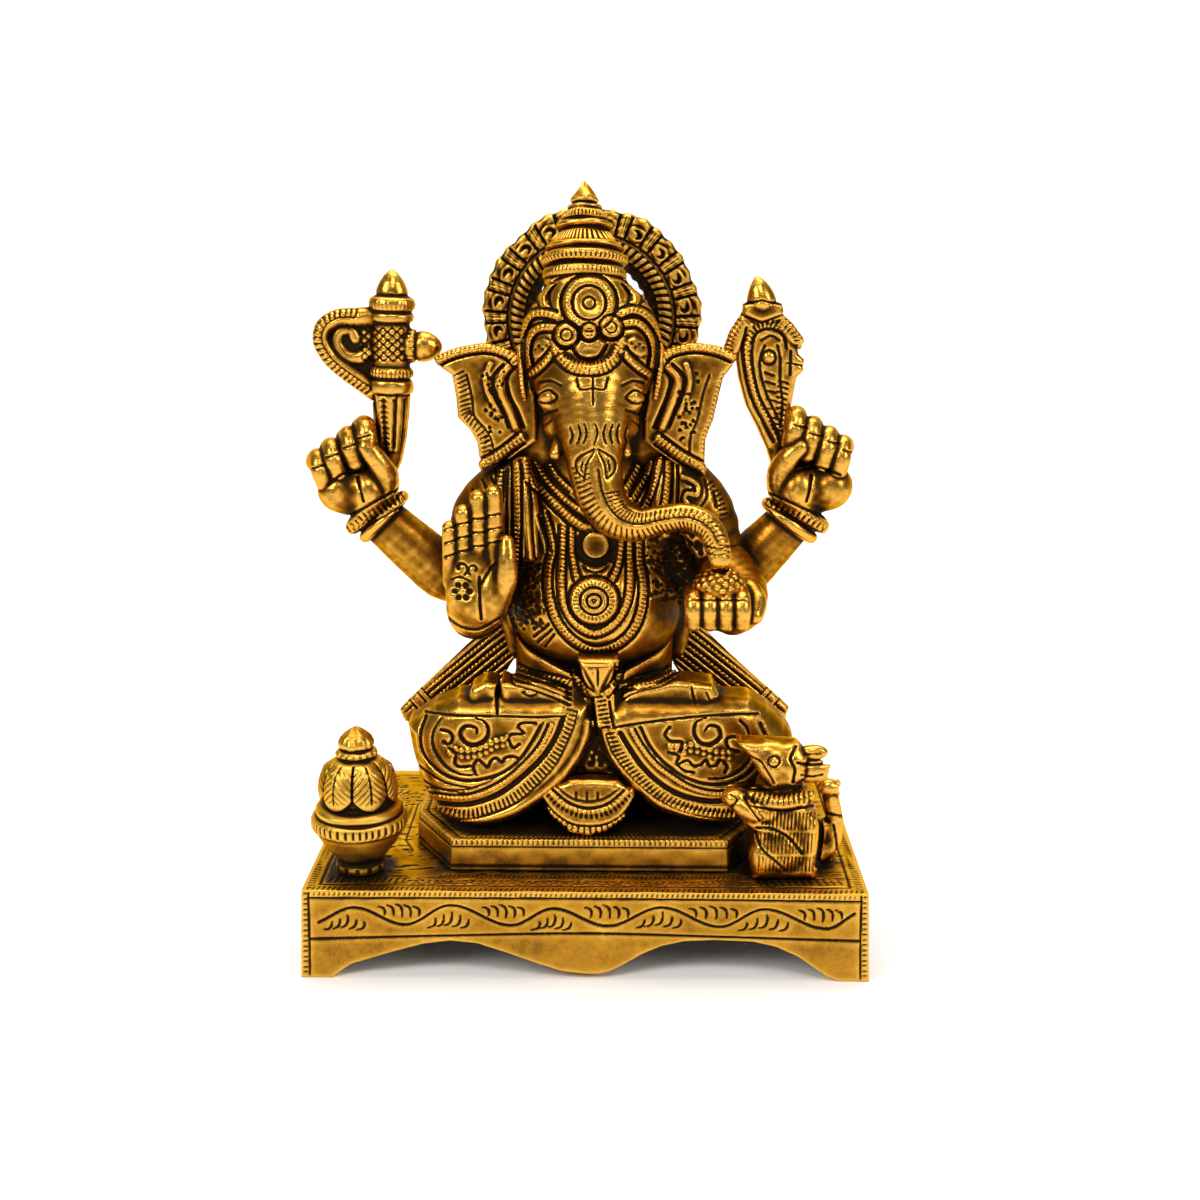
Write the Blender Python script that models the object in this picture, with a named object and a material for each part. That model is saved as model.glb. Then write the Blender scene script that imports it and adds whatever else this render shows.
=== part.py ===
"""Seated elephant-headed household idol in cast brass on a low table base.

The statue is built the way piece-cast brass idols are: a hollow table base, an
octagonal seat plinth, the crossed-leg casting, the torso, the head with its
trunk, crown, ears, halo, two rear arms with their emblems, two front arms, the
scarf ends and front sash, each cast on its own, fitted on spigots and bolted
or brazed together, with a sweet pot and a mouse screwed down beside it.

Units in the tables are millimetres.  x runs to the viewer's right, y to the
back, z up, and z = 0 is the surface the four feet stand on.
"""
import math

import bmesh
import bpy
from mathutils import Matrix, Vector

MM = 0.001

# ---------------------------------------------------------------- dimensions
BASE_HALF_X_TOP, BASE_HALF_X_FOOT = 73.0, 74.0
BASE_HALF_Y_TOP, BASE_HALF_Y_FOOT = 42.0, 43.0
BASE_H = 24.3
BASE_TOP_T = 3.6
BASE_WALL_T = 3.4
PLINTH_H = 8.8
GAP = 0.3                       # gap kept between neighbouring castings
PLINTH_Z0 = BASE_H + GAP
PLINTH_Z1 = PLINTH_Z0 + PLINTH_H
LEGS_Z0 = PLINTH_Z1 + GAP
WAIST_Z = 75.7                  # top of the leg casting, the torso stands on it
BOLT_R, BOLT_HOLE_R = 2.5, 2.8
BOLT_XY = ((-22.0, 8.0), (24.0, 8.0))
STUD_R, STUD_HOLE_R = 2.0, 2.3
POT_XY = (-59.2, -29.0)
MOUSE_XY = (57.0, -28.5)
HALO_C, HALO_R_IN, HALO_R_OUT = (0.7, 164.7), 17.6, 29.6
HALO_Y0, HALO_Y1 = 20.6, 25.0
CROWN_BASE, CROWN_TILT = (-0.6, 2.0, 177.2), math.radians(15.0)
HALO_SCREWS = ((-12.8, 121.0), (14.2, 121.0))
FRAME_SHIFT_X = 1.225           # puts the middle of the statue's box on x = 0

# -------------------------------------------------------------------- colours
BRASS = (0.66, 0.40, 0.09)
BRASS_PALE = (0.70, 0.47, 0.14)
STEEL = (0.45, 0.44, 0.42)


def clear_scene():
    for ob in list(bpy.data.objects):
        bpy.data.objects.remove(ob)


def material(name, colour, rough, metal=1.0):
    mat = bpy.data.materials.get(name)
    if mat is None:
        mat = bpy.data.materials.new(name)
        mat.use_nodes = True
        bsdf = mat.node_tree.nodes["Principled BSDF"]
        bsdf.inputs["Base Color"].default_value = (*colour, 1.0)
        bsdf.inputs["Roughness"].default_value = rough
        bsdf.inputs["Metallic"].default_value = metal
    return mat


# ------------------------------------------------------------ mesh primitives
def object_of(bm, name="piece"):
    bmesh.ops.recalc_face_normals(bm, faces=bm.faces)
    mesh = bpy.data.meshes.new(name)
    bm.to_mesh(mesh)
    bm.free()
    ob = bpy.data.objects.new(name, mesh)
    bpy.context.scene.collection.objects.link(ob)
    return ob


def loft(rings):
    """A closed skin through rings of equal point count, with flat ends."""
    bm = bmesh.new()
    made = [[bm.verts.new(Vector(p) * MM) for p in ring] for ring in rings]
    n = len(rings[0])
    for a, b in zip(made, made[1:]):
        for i in range(n):
            j = (i + 1) % n
            bm.faces.new((a[i], a[j], b[j], b[i]))
    bm.faces.new(list(reversed(made[0])))
    bm.faces.new(made[-1])
    return object_of(bm)


def tube(path, radii, g=0.0, seg=12, flat=(1.0, 1.0), round_ends=True, fine=3):
    """A round bar through the path's points, its radius changing along it."""
    pts, rad = smooth_path(path, radii, fine)
    rad = [r + g for r in rad]
    rings = []
    n = len(pts)
    tangent = [(pts[min(i + 1, n - 1)] - pts[max(i - 1, 0)]).normalized() for i in range(n)]
    side = tangent[0].orthogonal().normalized()
    for i in range(n):
        side = (side - tangent[i] * side.dot(tangent[i])).normalized()
        up = tangent[i].cross(side)
        rings.append([pts[i] + side * (rad[i] * flat[0] * math.cos(a)) + up * (rad[i] * flat[1] * math.sin(a))
                      for a in (2 * math.pi * k / seg for k in range(seg))])
    if round_ends:
        first, last = [], []
        for k, share in ((0.92, 0.40), (0.60, 0.80), (0.22, 0.97)):
            first.insert(0, [pts[0] - tangent[0] * (rad[0] * share) + (p - pts[0]) * k for p in rings[0]])
            last.append([pts[-1] + tangent[-1] * (rad[-1] * share) + (p - pts[-1]) * k for p in rings[-1]])
        rings = first + rings + last
    return loft(rings)


def smooth_path(path, radii, fine):
    """Catmull-Rom points through the path."""
    p = [Vector(q) for q in path]
    if fine < 2 or len(p) < 3:
        return p, list(radii)
    out, rad = [], []
    for i in range(len(p) - 1):
        a, b, c, d = p[max(i - 1, 0)], p[i], p[i + 1], p[min(i + 2, len(p) - 1)]
        for k in range(fine):
            t = k / fine
            out.append(0.5 * ((2 * b) + (c - a) * t + (2 * a - 5 * b + 4 * c - d) * t * t
                              + (3 * b - a - 3 * c + d) * t * t * t))
            s = t * t * (3 - 2 * t)
            rad.append(radii[i] * (1 - s) + radii[i + 1] * s)
    out.append(p[-1])
    rad.append(radii[-1])
    return out, rad


def ball(c, r, g=0.0, seg=16, rings=9):
    """An ellipsoid with its poles on z."""
    bm = bmesh.new()
    bmesh.ops.create_uvsphere(bm, u_segments=seg, v_segments=rings, radius=1.0)
    place = Matrix.Translation(Vector(c) * MM) @ Matrix.Diagonal(Vector([(k + g) * MM for k in r] + [1.0]))
    bmesh.ops.transform(bm, matrix=place, verts=bm.verts)
    return object_of(bm)


def turned(profile, at=(0, 0, 0), g=0.0, seg=24, turn=None, flat_y=1.0):
    """A solid of revolution: profile is (radius, height) from its foot to its top."""
    prof = list(profile)
    lo, hi = prof[0][1], prof[-1][1]
    ring = []
    for r, h in prof:
        hh = h - g if h == lo else (h + g if h == hi else h)
        ring.append([Vector(((max(r, 0.25) + g) * math.cos(a), (max(r, 0.25) + g) * math.sin(a) * flat_y, hh))
                     for a in (2 * math.pi * k / seg for k in range(seg))])
    turn = turn or Matrix.Identity(4)
    at = Vector(at)
    return loft([[at + turn @ p for p in rr] for rr in ring])


def plate(outline, y0, y1, g=0.0, bevel=0.8):
    """A flat casting: an (x, z) outline with its front and back edges eased."""
    cx = sum(p[0] for p in outline) / len(outline)
    cz = sum(p[1] for p in outline) / len(outline)

    def ring(y, grow):
        out = []
        for x, z in outline:
            d = math.hypot(x - cx, z - cz) or 1.0
            k = (d + grow) / d
            out.append((cx + (x - cx) * k, y, cz + (z - cz) * k))
        return out

    return loft([ring(y0 - g, g - bevel), ring(y0 - g + bevel, g), ring(y1 + g - bevel, g), ring(y1 + g, g - bevel)])


def prism(outline, z0, z1, inset_top=0.0):
    """An upright prism on an (x, y) outline, its top drawn in by inset_top."""
    top = [(x - math.copysign(inset_top, x), y - math.copysign(inset_top, y)) for x, y in outline]
    return loft([[(x, y, z0) for x, y in outline], [(x, y, z1) for x, y in top]])


def block(lo, hi):
    return prism([(lo[0], lo[1]), (hi[0], lo[1]), (hi[0], hi[1]), (lo[0], hi[1])], lo[2], hi[2])


def bar_y(c, r, y0, y1, seg=16, g=0.0):
    """A round bar along y."""
    return loft([[(c[0] + (r + g) * math.cos(a), y, c[1] + (r + g) * math.sin(a))
                  for a in (2 * math.pi * k / seg for k in range(seg))] for y in (y0 - g, y1 + g)])


# ------------------------------------------------------------------- booleans
def combine(ob, other, how, solver="EXACT"):
    mod = ob.modifiers.new("b", "BOOLEAN")
    mod.operation, mod.object, mod.solver = how, other, solver
    mod.use_self = True
    graph = bpy.context.evaluated_depsgraph_get()
    mesh = bpy.data.meshes.new_from_object(ob.evaluated_get(graph))
    ob.modifiers.remove(mod)
    old = ob.data
    ob.data = mesh
    bpy.data.meshes.remove(old)
    bpy.data.objects.remove(other)
    return ob


def joined(pieces):
    ob = pieces[0]
    for other in pieces[1:]:
        ob = combine(ob, other, "UNION")
    return ob


def less(ob, *cutters):
    for c in cutters:
        ob = combine(ob, c, "DIFFERENCE")
    return ob


def tidy(ob):
    """Welds coincident corners, then keeps the one large closed shell."""
    bm = bmesh.new()
    bm.from_mesh(ob.data)
    bmesh.ops.remove_doubles(bm, verts=bm.verts, dist=2e-6)
    bmesh.ops.dissolve_degenerate(bm, edges=bm.edges, dist=2e-6)
    todo, shells = set(bm.faces), []
    while todo:
        stack, shell = [todo.pop()], []
        while stack:
            f = stack.pop()
            shell.append(f)
            for e in f.edges:
                for o in e.link_faces:
                    if o in todo:
                        todo.discard(o)
                        stack.append(o)
        shells.append(shell)
    shells.sort(key=lambda sh: sum(f.calc_area() for f in sh))
    for sh in shells[:-1]:
        bmesh.ops.delete(bm, geom=sh, context="FACES")
    loose = [v for v in bm.verts if not v.link_faces]
    bmesh.ops.delete(bm, geom=loose, context="VERTS")
    bmesh.ops.holes_fill(bm, edges=[e for e in bm.edges if len(e.link_faces) == 1], sides=0)
    bmesh.ops.recalc_face_normals(bm, faces=bm.faces)
    bm.to_mesh(ob.data)
    bm.free()


# --------------------------------------------------------------- shape tables
APRON = [(-66, -1), (-65.8, 0.2), (-63.6, 1.6), (-61, 3.6), (-58, 4.4), (-50, 7.2), (-42, 9.5), (-35, 10.4), (-28, 9.7),
         (-20, 7.1), (-12, 4.1), (-6, 2.2), (0, 1.5), (4, 1.5), (7, 2.4), (11, 4.6), (15, 7.0), (20, 9.3), (26, 10.7),
         (34, 11.1), (44, 10.7), (50, 9.3), (56, 6.4), (60, 3.4), (63, 1.0), (65.8, 0.2), (66, -1)]
SIDE_APRON = [(-34, -1), (-33.5, 0.3), (-30, 3.2), (-24, 6.6), (-15, 9.6), (-7, 10.8), (0, 11.0), (7, 10.8), (15, 9.6),
              (24, 6.6), (30, 3.2), (33.5, 0.3), (34, -1)]
PLINTH = [(-35.5, -30), (37.5, -30), (48.8, -11), (48.8, 15), (37.5, 34), (-35.5, 34), (-46.8, 15), (-46.8, -11)]

LEGS = [("ball", (1.5, 9, 52), (36, 21, 24)),
        ("tube", [(-10, 4, 63), (-26, -3, 57.5), (-41, -6, 53.5)], [14, 13.5, 9.5]),
        ("tube", [(13, 4, 63), (29, -3, 57.5), (44, -6, 53.5)], [14, 13.5, 9.5]),
        ("tube", [(-40, -7, 49.5), (-28, -12.5, 46.5), (-13, -14.5, 49), (-3, -15.5, 58)], [9.5, 12, 10, 6]),
        ("tube", [(43, -7, 49.5), (31, -12.5, 46.5), (17, -14.5, 49), (7, -15.5, 58)], [9.5, 12, 10, 6]),
        ("tube", [(1.5, 5, 60), (1.5, 4, 78)], [21, 20]),
        ("tube", [(-26.5, -17, 68.3), (-17, -19, 69), (-6, -19, 70)], [3.6, 4.2, 4.4]),
        ("tube", [(32, -17, 68.3), (22, -19, 69), (11, -19, 70)], [3.6, 4.2, 4.4])]
TORSO = [("ball", (2.6, 1.5, 91), (21.5, 17.5, 17.5)),
         ("ball", (1.6, 6, 112), (24, 14.5, 20)),
         ("ball", (1.6, 12, 104), (26, 11, 27)),
         ("tube", [(-19, 6, 121), (-28, 4.6, 110), (-30.2, 1.6, 101)], [9.5, 9, 6.0]),
         ("tube", [(23, 6, 121), (32.5, 5, 110), (36.5, 3, 101)], [9.5, 9, 5.8])]
TRUNK = ([(1.2, -7, 149), (1.8, -11, 139), (2.6, -14.0, 131), (3.8, -16.2, 124), (7.4, -17.6, 118.4), (13.2, -18.6, 116.4),
          (19.8, -19.2, 117.8), (26.2, -19.6, 118.4), (31.2, -20.2, 115.2), (33.6, -20.8, 110.8), (34.4, -21.4, 107.6)],
         [11.6, 10.0, 8.0, 6.9, 5.5, 4.4, 3.9, 3.8, 3.7, 3.5, 3.2])
HEAD = [("ball", (1.2, 1.5, 158), (16.2, 15.2, 18.2)),
        ("ball", (1.2, -2, 147), (13.8, 12.5, 13)),
        ("tube", *TRUNK),
        ("tube", [(1.2, 5, 138), (1.2, 5, 129)], [10, 10])]
CROWN = [(9.6, 0), (10.2, 1.4), (9.7, 3.0), (10.9, 3.8), (11.0, 5.2), (10.4, 6.3), (9.6, 7.2), (9.0, 9.4), (7.4, 11.6),
         (6.9, 12.6), (7.2, 14.0), (6.2, 14.9), (5.4, 15.6), (5.3, 17.6), (3.9, 18.6), (3.7, 19.4), (3.2, 20.8),
         (1.6, 23.2), (0.3, 24.4)]
EAR_L = [(-13, 157.5), (-19.5, 158), (-25.5, 160), (-33.5, 158.3), (-38.2, 156.2), (-37.4, 154.6), (-33.8, 152.6),
         (-33, 148), (-32.8, 142), (-29.8, 139), (-28.1, 136), (-27.6, 131), (-27.2, 127.8), (-19.5, 131.6), (-13, 136)]
EAR_R = [(15, 157.5), (20.5, 158), (26.5, 160.2), (34, 159), (37.6, 157.4), (37.2, 155.8), (34.7, 152.5), (33.6, 147.5),
         (32.4, 141.5), (30.5, 136.5), (30.4, 131), (30.6, 127.3), (22.5, 130.5), (15, 136)]
SCARF_L = [(-22, 81), (-37, 72.5), (-53.2, 55), (-50.6, 50.8), (-40, 57), (-22, 66)]
SCARF_R = [(25, 81), (37, 73.2), (55.8, 56.6), (53.6, 52.6), (41, 58.5), (25, 66)]
SASH = [(-3.4, 53), (-5.8, 46), (-11.6, 44.0), (-12.2, 41), (-10.4, 37.4), (-6, 34.6), (0.5, 33.75), (7, 34.6), (11.4, 37.4),
        (13.2, 41), (12.6, 44.0), (6.8, 46), (4.6, 53)]
NOOSE = [(44.6, 175.6), (43.3, 173), (42.2, 169.5), (41.4, 166.2), (38.4, 162.2), (36.9, 158), (38.2, 156), (40.3, 155.6),
         (41.2, 150), (43.6, 143), (46.6, 137.4), (49.6, 132.6), (52.6, 131.5), (53.4, 137.5), (54.2, 143), (55.2, 148),
         (55.3, 150.8), (57.2, 152.4), (57.3, 154.8), (55.6, 156), (55.8, 158), (57, 160.2), (54.6, 163.6), (51.6, 166.6),
         (48.6, 170.4), (46.6, 173)]
AXE = [(3.6, 0), (4.2, 6), (4.9, 15), (5.2, 15.6), (6.0, 16.6), (6.1, 19.2), (5.4, 20.6), (5.3, 31.5), (6.0, 33),
       (6.0, 36), (5.2, 39.6), (4.4, 40.2), (2.2, 44.6), (0.3, 46.9)]
POT = [(5.2, 24.6), (5.7, 25.6), (5.5, 27), (4.7, 28), (6.4, 29.2), (9.2, 31.6), (11.2, 34), (12.2, 35.4), (12.4, 37.2),
       (12.1, 39), (11.0, 40.4), (10.6, 42.4), (9.9, 43.4), (9.9, 45.4), (9.5, 48.4), (8.5, 51.4), (6.6, 54.0),
       (4.8, 55.4), (4.9, 56.6), (4.2, 58.8), (3.2, 61.0), (1.6, 62.8), (0.3, 63.4)]


def fist(cx, cz, side):
    """A closed fist seen from the palm: side is -1 on the viewer's left, +1 on the right."""
    s = side
    finger = [(10.4, 6.6), (5.7, 8.8), (0.9, 11.3), (-3.6, 13.8)]
    return ([("ball", (cx, 8.5, cz), (10.0, 6.6, 9.2))]
            + [("tube", [(cx + s * (dx - 1.2), 8.2, cz + dz - 6), (cx + s * dx, 4.6, cz + dz - 1), (cx + s * dx, 7.8, cz + dz + 1.4)],
                [2.5, 2.4, 2.4]) for dx, dz in finger]
            + [("tube", [(cx - s * 6.6, 6.0, cz + 1), (cx - s * 8.2, 4.2, cz + 6), (cx - s * 5.6, 3.6, cz + 11)], [3.4, 2.9, 2.5])])


ARM_L = ([("tube", [(-22, 14, 113), (-31, 12.5, 99), (-38.5, 11.5, 95.5), (-47, 11, 101.5), (-58.2, 10, 113)],
           [7.0, 7.6, 7.6, 7.5, 6.9]),
          ("tube", [(-57.2, 10, 112), (-60, 10, 115.6)], [9.2, 9.2])] + fist(-63.6, 122.5, -1))
ARM_R = ([("tube", [(24, 14, 113), (34, 12.5, 99), (41.5, 11.5, 96), (48.5, 11, 102.5), (56.4, 10, 112)],
           [7.0, 7.6, 7.6, 7.5, 6.9]),
          ("tube", [(56, 10, 111.4), (58.6, 10, 115.4)], [9.2, 9.2])] + fist(60.6, 123.2, 1))
BLESS = [("tube", [(-30.5, 1.5, 94), (-29.8, -6, 90.6), (-28.4, -14, 94)], [8.8, 8.3, 7.0]),
         ("ball", (-28.2, -16.5, 101), (9.2, 5.2, 11)),
         ("tube", [(-34.7, -17, 104), (-35.0, -17.5, 116)], [2.5, 2.1]),
         ("tube", [(-30.4, -17.2, 106), (-30.7, -18, 121.6)], [2.5, 2.1]),
         ("tube", [(-26.2, -17, 106), (-25.9, -18, 121)], [2.5, 2.1]),
         ("tube", [(-23.5, -17.5, 97), (-20.6, -19, 103), (-19.9, -18.5, 112)], [4.2, 3.2, 2.2])]
OFFER = [("tube", [(37.9, 0.2, 97.6), (41.0, -8, 94.6), (39.2, -17, 93)], [8.4, 7.2, 6.0]),
         ("ball", (34.6, -21.5, 93), (8.4, 5.6, 5.6)),
         ("tube", [(28.3, -22, 97), (28.2, -25.6, 95), (28.2, -25.4, 90.4)], [2.3, 2.4, 2.2]),
         ("tube", [(32.4, -22, 97.4), (32.3, -26.2, 95.2), (32.3, -26, 90)], [2.3, 2.4, 2.2]),
         ("tube", [(36.5, -22, 97.4), (36.5, -26.2, 95.2), (36.5, -26, 90)], [2.3, 2.4, 2.2]),
         ("tube", [(40.5, -21.5, 97), (40.6, -25.4, 95), (40.5, -25.2, 90.4)], [2.3, 2.4, 2.2])]
MOUSE = [("ball", (56.5, -28, 34.5), (10.0, 8.6, 11.5)),
         ("tube", [(48.5, -30.5, 27.6), (50.5, -30, 33)], [3.8, 5.0]),
         ("tube", [(63, -27, 27.6), (62, -27, 33)], [3.8, 5.0]),
         ("tube", [(55, -28, 44), (52.5, -29, 52)], [6.0, 5.6]),
         ("tube", [(54.6, -28.6, 54.4), (49, -29.6, 57.2), (41.4, -30.6, 60.2)], [6.6, 5.0, 0.9]),
         ("ball", (59.8, -33.0, 55.6), (3.8, 1.8, 3.2)), ("ball", (59.0, -24.6, 58.2), (3.8, 1.8, 3.0)),
         ("tube", [(51.5, -31, 42.5), (45.5, -32, 43.4), (38.6, -32.6, 45.6)], [5.0, 4.0, 1.6]),
         ("tube", [(66.0, -26, 27.6), (68.4, -25, 33), (66.4, -24.6, 39), (64.6, -25, 43.6), (68.0, -26, 45.6)],
          [2.6, 2.3, 1.9, 1.8, 0.8])]


def made(table, g=0.0):
    out = []
    for row in table:
        if row[0] == "ball":
            big = max(row[2]) > 15
            out.append(ball(row[1], row[2], g, 24 if big else 14, 14 if big else 9))
        else:
            big = max(row[2]) > 6.5
            out.append(tube(row[1], row[2], g, seg=16 if big else 10, fine=3 if len(row[1]) > 2 else 1))
    return joined(out)


def tilt():
    return Matrix.Rotation(-CROWN_TILT, 4, "X")


def crown_body(g=0.0, spigot=True):
    parts = [turned(CROWN, CROWN_BASE, g, 28, tilt())]
    if spigot:
        parts.append(turned([(4.0, -6.0), (4.0, 1.0)], CROWN_BASE, g, 16, tilt()))
    return joined(parts)


def halo_body(g=0.0):
    n = 56
    cx, cz = HALO_C
    ring = []
    for k in range(n):
        a = 2 * math.pi * k / n
        c, s = math.cos(a), math.sin(a)
        prof = [(HALO_R_IN - g, HALO_Y0 + 1 - g), (HALO_R_IN + 1 - g, HALO_Y0 - g), (HALO_R_OUT - 1 + g, HALO_Y0 - g),
                (HALO_R_OUT + g, HALO_Y0 + 1 - g), (HALO_R_OUT + g, HALO_Y1 - 1 + g), (HALO_R_OUT - 1 + g, HALO_Y1 + g),
                (HALO_R_IN + 1 - g, HALO_Y1 + g), (HALO_R_IN - g, HALO_Y1 - 1 + g)]
        ring.append([Vector((cx + r * c, y, cz + r * s)) * MM for r, y in prof])
    bm = bmesh.new()
    vs = [[bm.verts.new(p) for p in rr] for rr in ring]
    for i in range(n):
        a, b = vs[i], vs[(i + 1) % n]
        for j in range(8):
            bm.faces.new((a[j], a[(j + 1) % 8], b[(j + 1) % 8], b[j]))
    ob = object_of(bm)
    stems = [plate([(x - 3.4, 114.5), (x + 3.4, 114.5), (x + 3.4, 142.5), (x - 3.4, 142.5)], HALO_Y0 + 0.6, HALO_Y1 - 0.4, g, 0.5)
             for x, _ in HALO_SCREWS]
    return joined([ob] + stems)


def axe_body(g=0.0):
    parts = [turned(AXE, (-54.2, 9.0, 131.4), g, 20, None, 0.86),
             turned([(4.4, 0), (4.6, 2.4), (4.3, 4.4), (4.6, 6.0), (4.0, 8.0), (1.6, 11.4), (0.3, 12.6)],
                    (-52.6, 9.0, 159.6), g, 16, Matrix.Rotation(math.radians(94), 4, "Y"), 0.86),
             tube([(-58, 9, 164.6), (-63.2, 9, 166.2), (-69.2, 9, 163.6), (-70.8, 9, 158.4), (-67.6, 9, 153.4),
                   (-62.6, 9, 149.0), (-58.4, 9, 145.0)], [2.0, 2.1, 2.1, 2.1, 2.0, 1.9, 1.8], g, 10),
             bar_y((-63.6, 159.6), 4.9, 7.6, 10.6, 20, g)]
    return joined(parts)


def noose_body(g=0.0):
    return plate(NOOSE, 6.4, 12.0, g, 0.9)


# --------------------------------------------------------------------- nodes
def finish(ob, name, mat, smooth=0.6):
    tidy(ob)
    ob.name = name
    ob.data.name = name
    ob.data.materials.clear()
    ob.data.materials.append(mat)
    ob.data.shade_smooth()
    ob.data.set_sharp_from_angle(angle=smooth)
    ob.parent = FRAME
    return ob


def build_base():
    outer = prism([(-BASE_HALF_X_FOOT, -BASE_HALF_Y_FOOT), (BASE_HALF_X_FOOT, -BASE_HALF_Y_FOOT),
                   (BASE_HALF_X_FOOT, BASE_HALF_Y_FOOT), (-BASE_HALF_X_FOOT, BASE_HALF_Y_FOOT)], 0, BASE_H,
                  BASE_HALF_X_FOOT - BASE_HALF_X_TOP)
    ix, iy = BASE_HALF_X_TOP - BASE_WALL_T, BASE_HALF_Y_TOP - BASE_WALL_T
    less(outer, block((-ix, -iy, -5), (ix, iy, BASE_H - BASE_TOP_T)))
    less(outer, loft([[(x, y, z) for x, z in APRON] for y in (-60, 60)]))
    less(outer, loft([[(x, y, z) for y, z in SIDE_APRON] for x in (-90, 90)]))
    for x, y in BOLT_XY:
        less(outer, turned([(BOLT_HOLE_R, 10), (BOLT_HOLE_R, 40)], (x, y, 0), 0, 16))
    for x, y in (POT_XY, MOUSE_XY):
        less(outer, turned([(STUD_HOLE_R, 10), (STUD_HOLE_R, 40)], (x, y, 0), 0, 12))
    return outer


def build_plinth():
    ob = loft([[(x, y, PLINTH_Z0) for x, y in PLINTH],
               [(x - math.copysign(0.3, x), y - math.copysign(0.3, y), PLINTH_Z1 - 1.8) for x, y in PLINTH],
               [(x - math.copysign(1.0, x), y - math.copysign(1.0, y), PLINTH_Z1) for x, y in PLINTH]])
    for x, y in BOLT_XY:
        less(ob, turned([(BOLT_HOLE_R, 10), (BOLT_HOLE_R, 40)], (x, y, 0), 0, 16))
    return ob


def screw(x, y, z_head, z_tip, r, head_r, head_h, sides):
    """An upright fixing screw, head down, with a driver slot or hexagon."""
    ob = turned([(head_r, z_head), (head_r, z_head + head_h)], (x, y, 0), 0, sides)
    joined([ob, turned([(r, z_head + head_h - 0.6), (r, z_tip - 1), (r * 0.6, z_tip)], (x, y, 0), 0, 12)])
    if sides > 6:
        less(ob, block((x - head_r - 1, y - 0.5, z_head - 1), (x + head_r + 1, y + 0.5, z_head + 1.0)))
    return ob


clear_scene()
FRAME = bpy.data.objects.new("statue_frame", None)
bpy.context.scene.collection.objects.link(FRAME)
FRAME.location = (FRAME_SHIFT_X * MM, 0, 0)

brass = material("antique_brass", BRASS, 0.32)
pale = material("polished_brass", BRASS_PALE, 0.28)
steel = material("zinc_steel", STEEL, 0.4)
FLOOR_CUT = ((-90, -60, -20), (90, 60, LEGS_Z0))

finish(build_base(), "base_table", pale)
finish(build_plinth(), "seat_plinth", pale)

legs = made(LEGS)
less(legs, block(*FLOOR_CUT), block((-60, -60, WAIST_Z), (60, 60, 120)))
for x, y in BOLT_XY:
    less(legs, turned([(BOLT_HOLE_R, 20), (BOLT_HOLE_R, 48)], (x, y, 0), 0, 16))
less(legs, plate(SASH, -27.6, -22.5, GAP, 0.6), plate(SCARF_L, 9, 12.4, GAP, 0.5), plate(SCARF_R, 9, 12.4, GAP, 0.5))
finish(legs, "legs_dhoti", brass)
finish(plate(SASH, -27.6, -22.5, 0, 0.8), "front_sash", brass)
finish(plate(SCARF_L, 9, 12.4, 0, 0.7), "scarf_end_left", brass)
finish(plate(SCARF_R, 9, 12.4, 0, 0.7), "scarf_end_right", brass)

torso = made(TORSO)
less(torso, block((-60, -60, 40), (60, 60, WAIST_Z + GAP)))
less(torso, made(HEAD, GAP))
less(torso, made(ARM_L[:1], GAP), made(ARM_R[:1], GAP), made(BLESS[:1], GAP), made(OFFER[:1], GAP))
less(torso, halo_body(GAP), plate(SCARF_L, 9, 12.4, GAP, 0.5), plate(SCARF_R, 9, 12.4, GAP, 0.5))
for x, z in HALO_SCREWS:
    less(torso, bar_y((x, z), 1.8, 10, 30, 12))
finish(torso, "torso", brass)

head = made(HEAD)
less(head, crown_body(GAP))
less(head, plate(EAR_L, -1.2, 2.6, GAP, 0.6), plate(EAR_R, -1.2, 2.6, GAP, 0.6))
finish(head, "head_trunk", brass)
finish(crown_body(), "crown", brass)
for name, outline in (("ear_left", EAR_L), ("ear_right", EAR_R)):
    ear = plate(outline, -1.2, 2.6, 0, 0.8)
    less(ear, made(HEAD[:1], -2.0), made(HEAD[1:2], -2.0))
    finish(ear, name, brass)

halo = halo_body()
for x, z in HALO_SCREWS:
    less(halo, bar_y((x, z), 1.8, 10, 40, 12))
finish(halo, "halo", pale)

for name, table, emblem, front in (("rear_arm_left", ARM_L, axe_body, BLESS), ("rear_arm_right", ARM_R, noose_body, OFFER)):
    arm = made(table)
    less(arm, emblem(GAP), made(front[:1], GAP))
    finish(arm, name, brass)
finish(axe_body(), "axe_emblem", brass)
finish(noose_body(), "noose_emblem", brass)

finish(made(BLESS), "blessing_arm", brass)
offer = made(OFFER)
less(offer, ball((34.8, -21.6, 100.6), (5.0, 4.8, 4.6), GAP))
finish(offer, "offering_arm", brass)
sweet = ball((34.8, -21.6, 100.6), (5.0, 4.8, 4.6), 0, 16, 10)
less(sweet, made(HEAD[2:3], GAP))
finish(sweet, "hand_sweet", brass)

pot = turned(POT, (POT_XY[0], POT_XY[1], 0), 0, 28)
less(pot, turned([(STUD_HOLE_R, 10), (STUD_HOLE_R, 34)], (POT_XY[0], POT_XY[1], 0), 0, 12))
finish(pot, "sweet_pot", pale)
mouse = made(MOUSE)
less(mouse, block((20, -60, 0), (90, 0, BASE_H + GAP)))
less(mouse, turned([(STUD_HOLE_R, 10), (STUD_HOLE_R, 34)], (MOUSE_XY[0], MOUSE_XY[1], 0), 0, 12))
finish(mouse, "mouse", pale)

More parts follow.
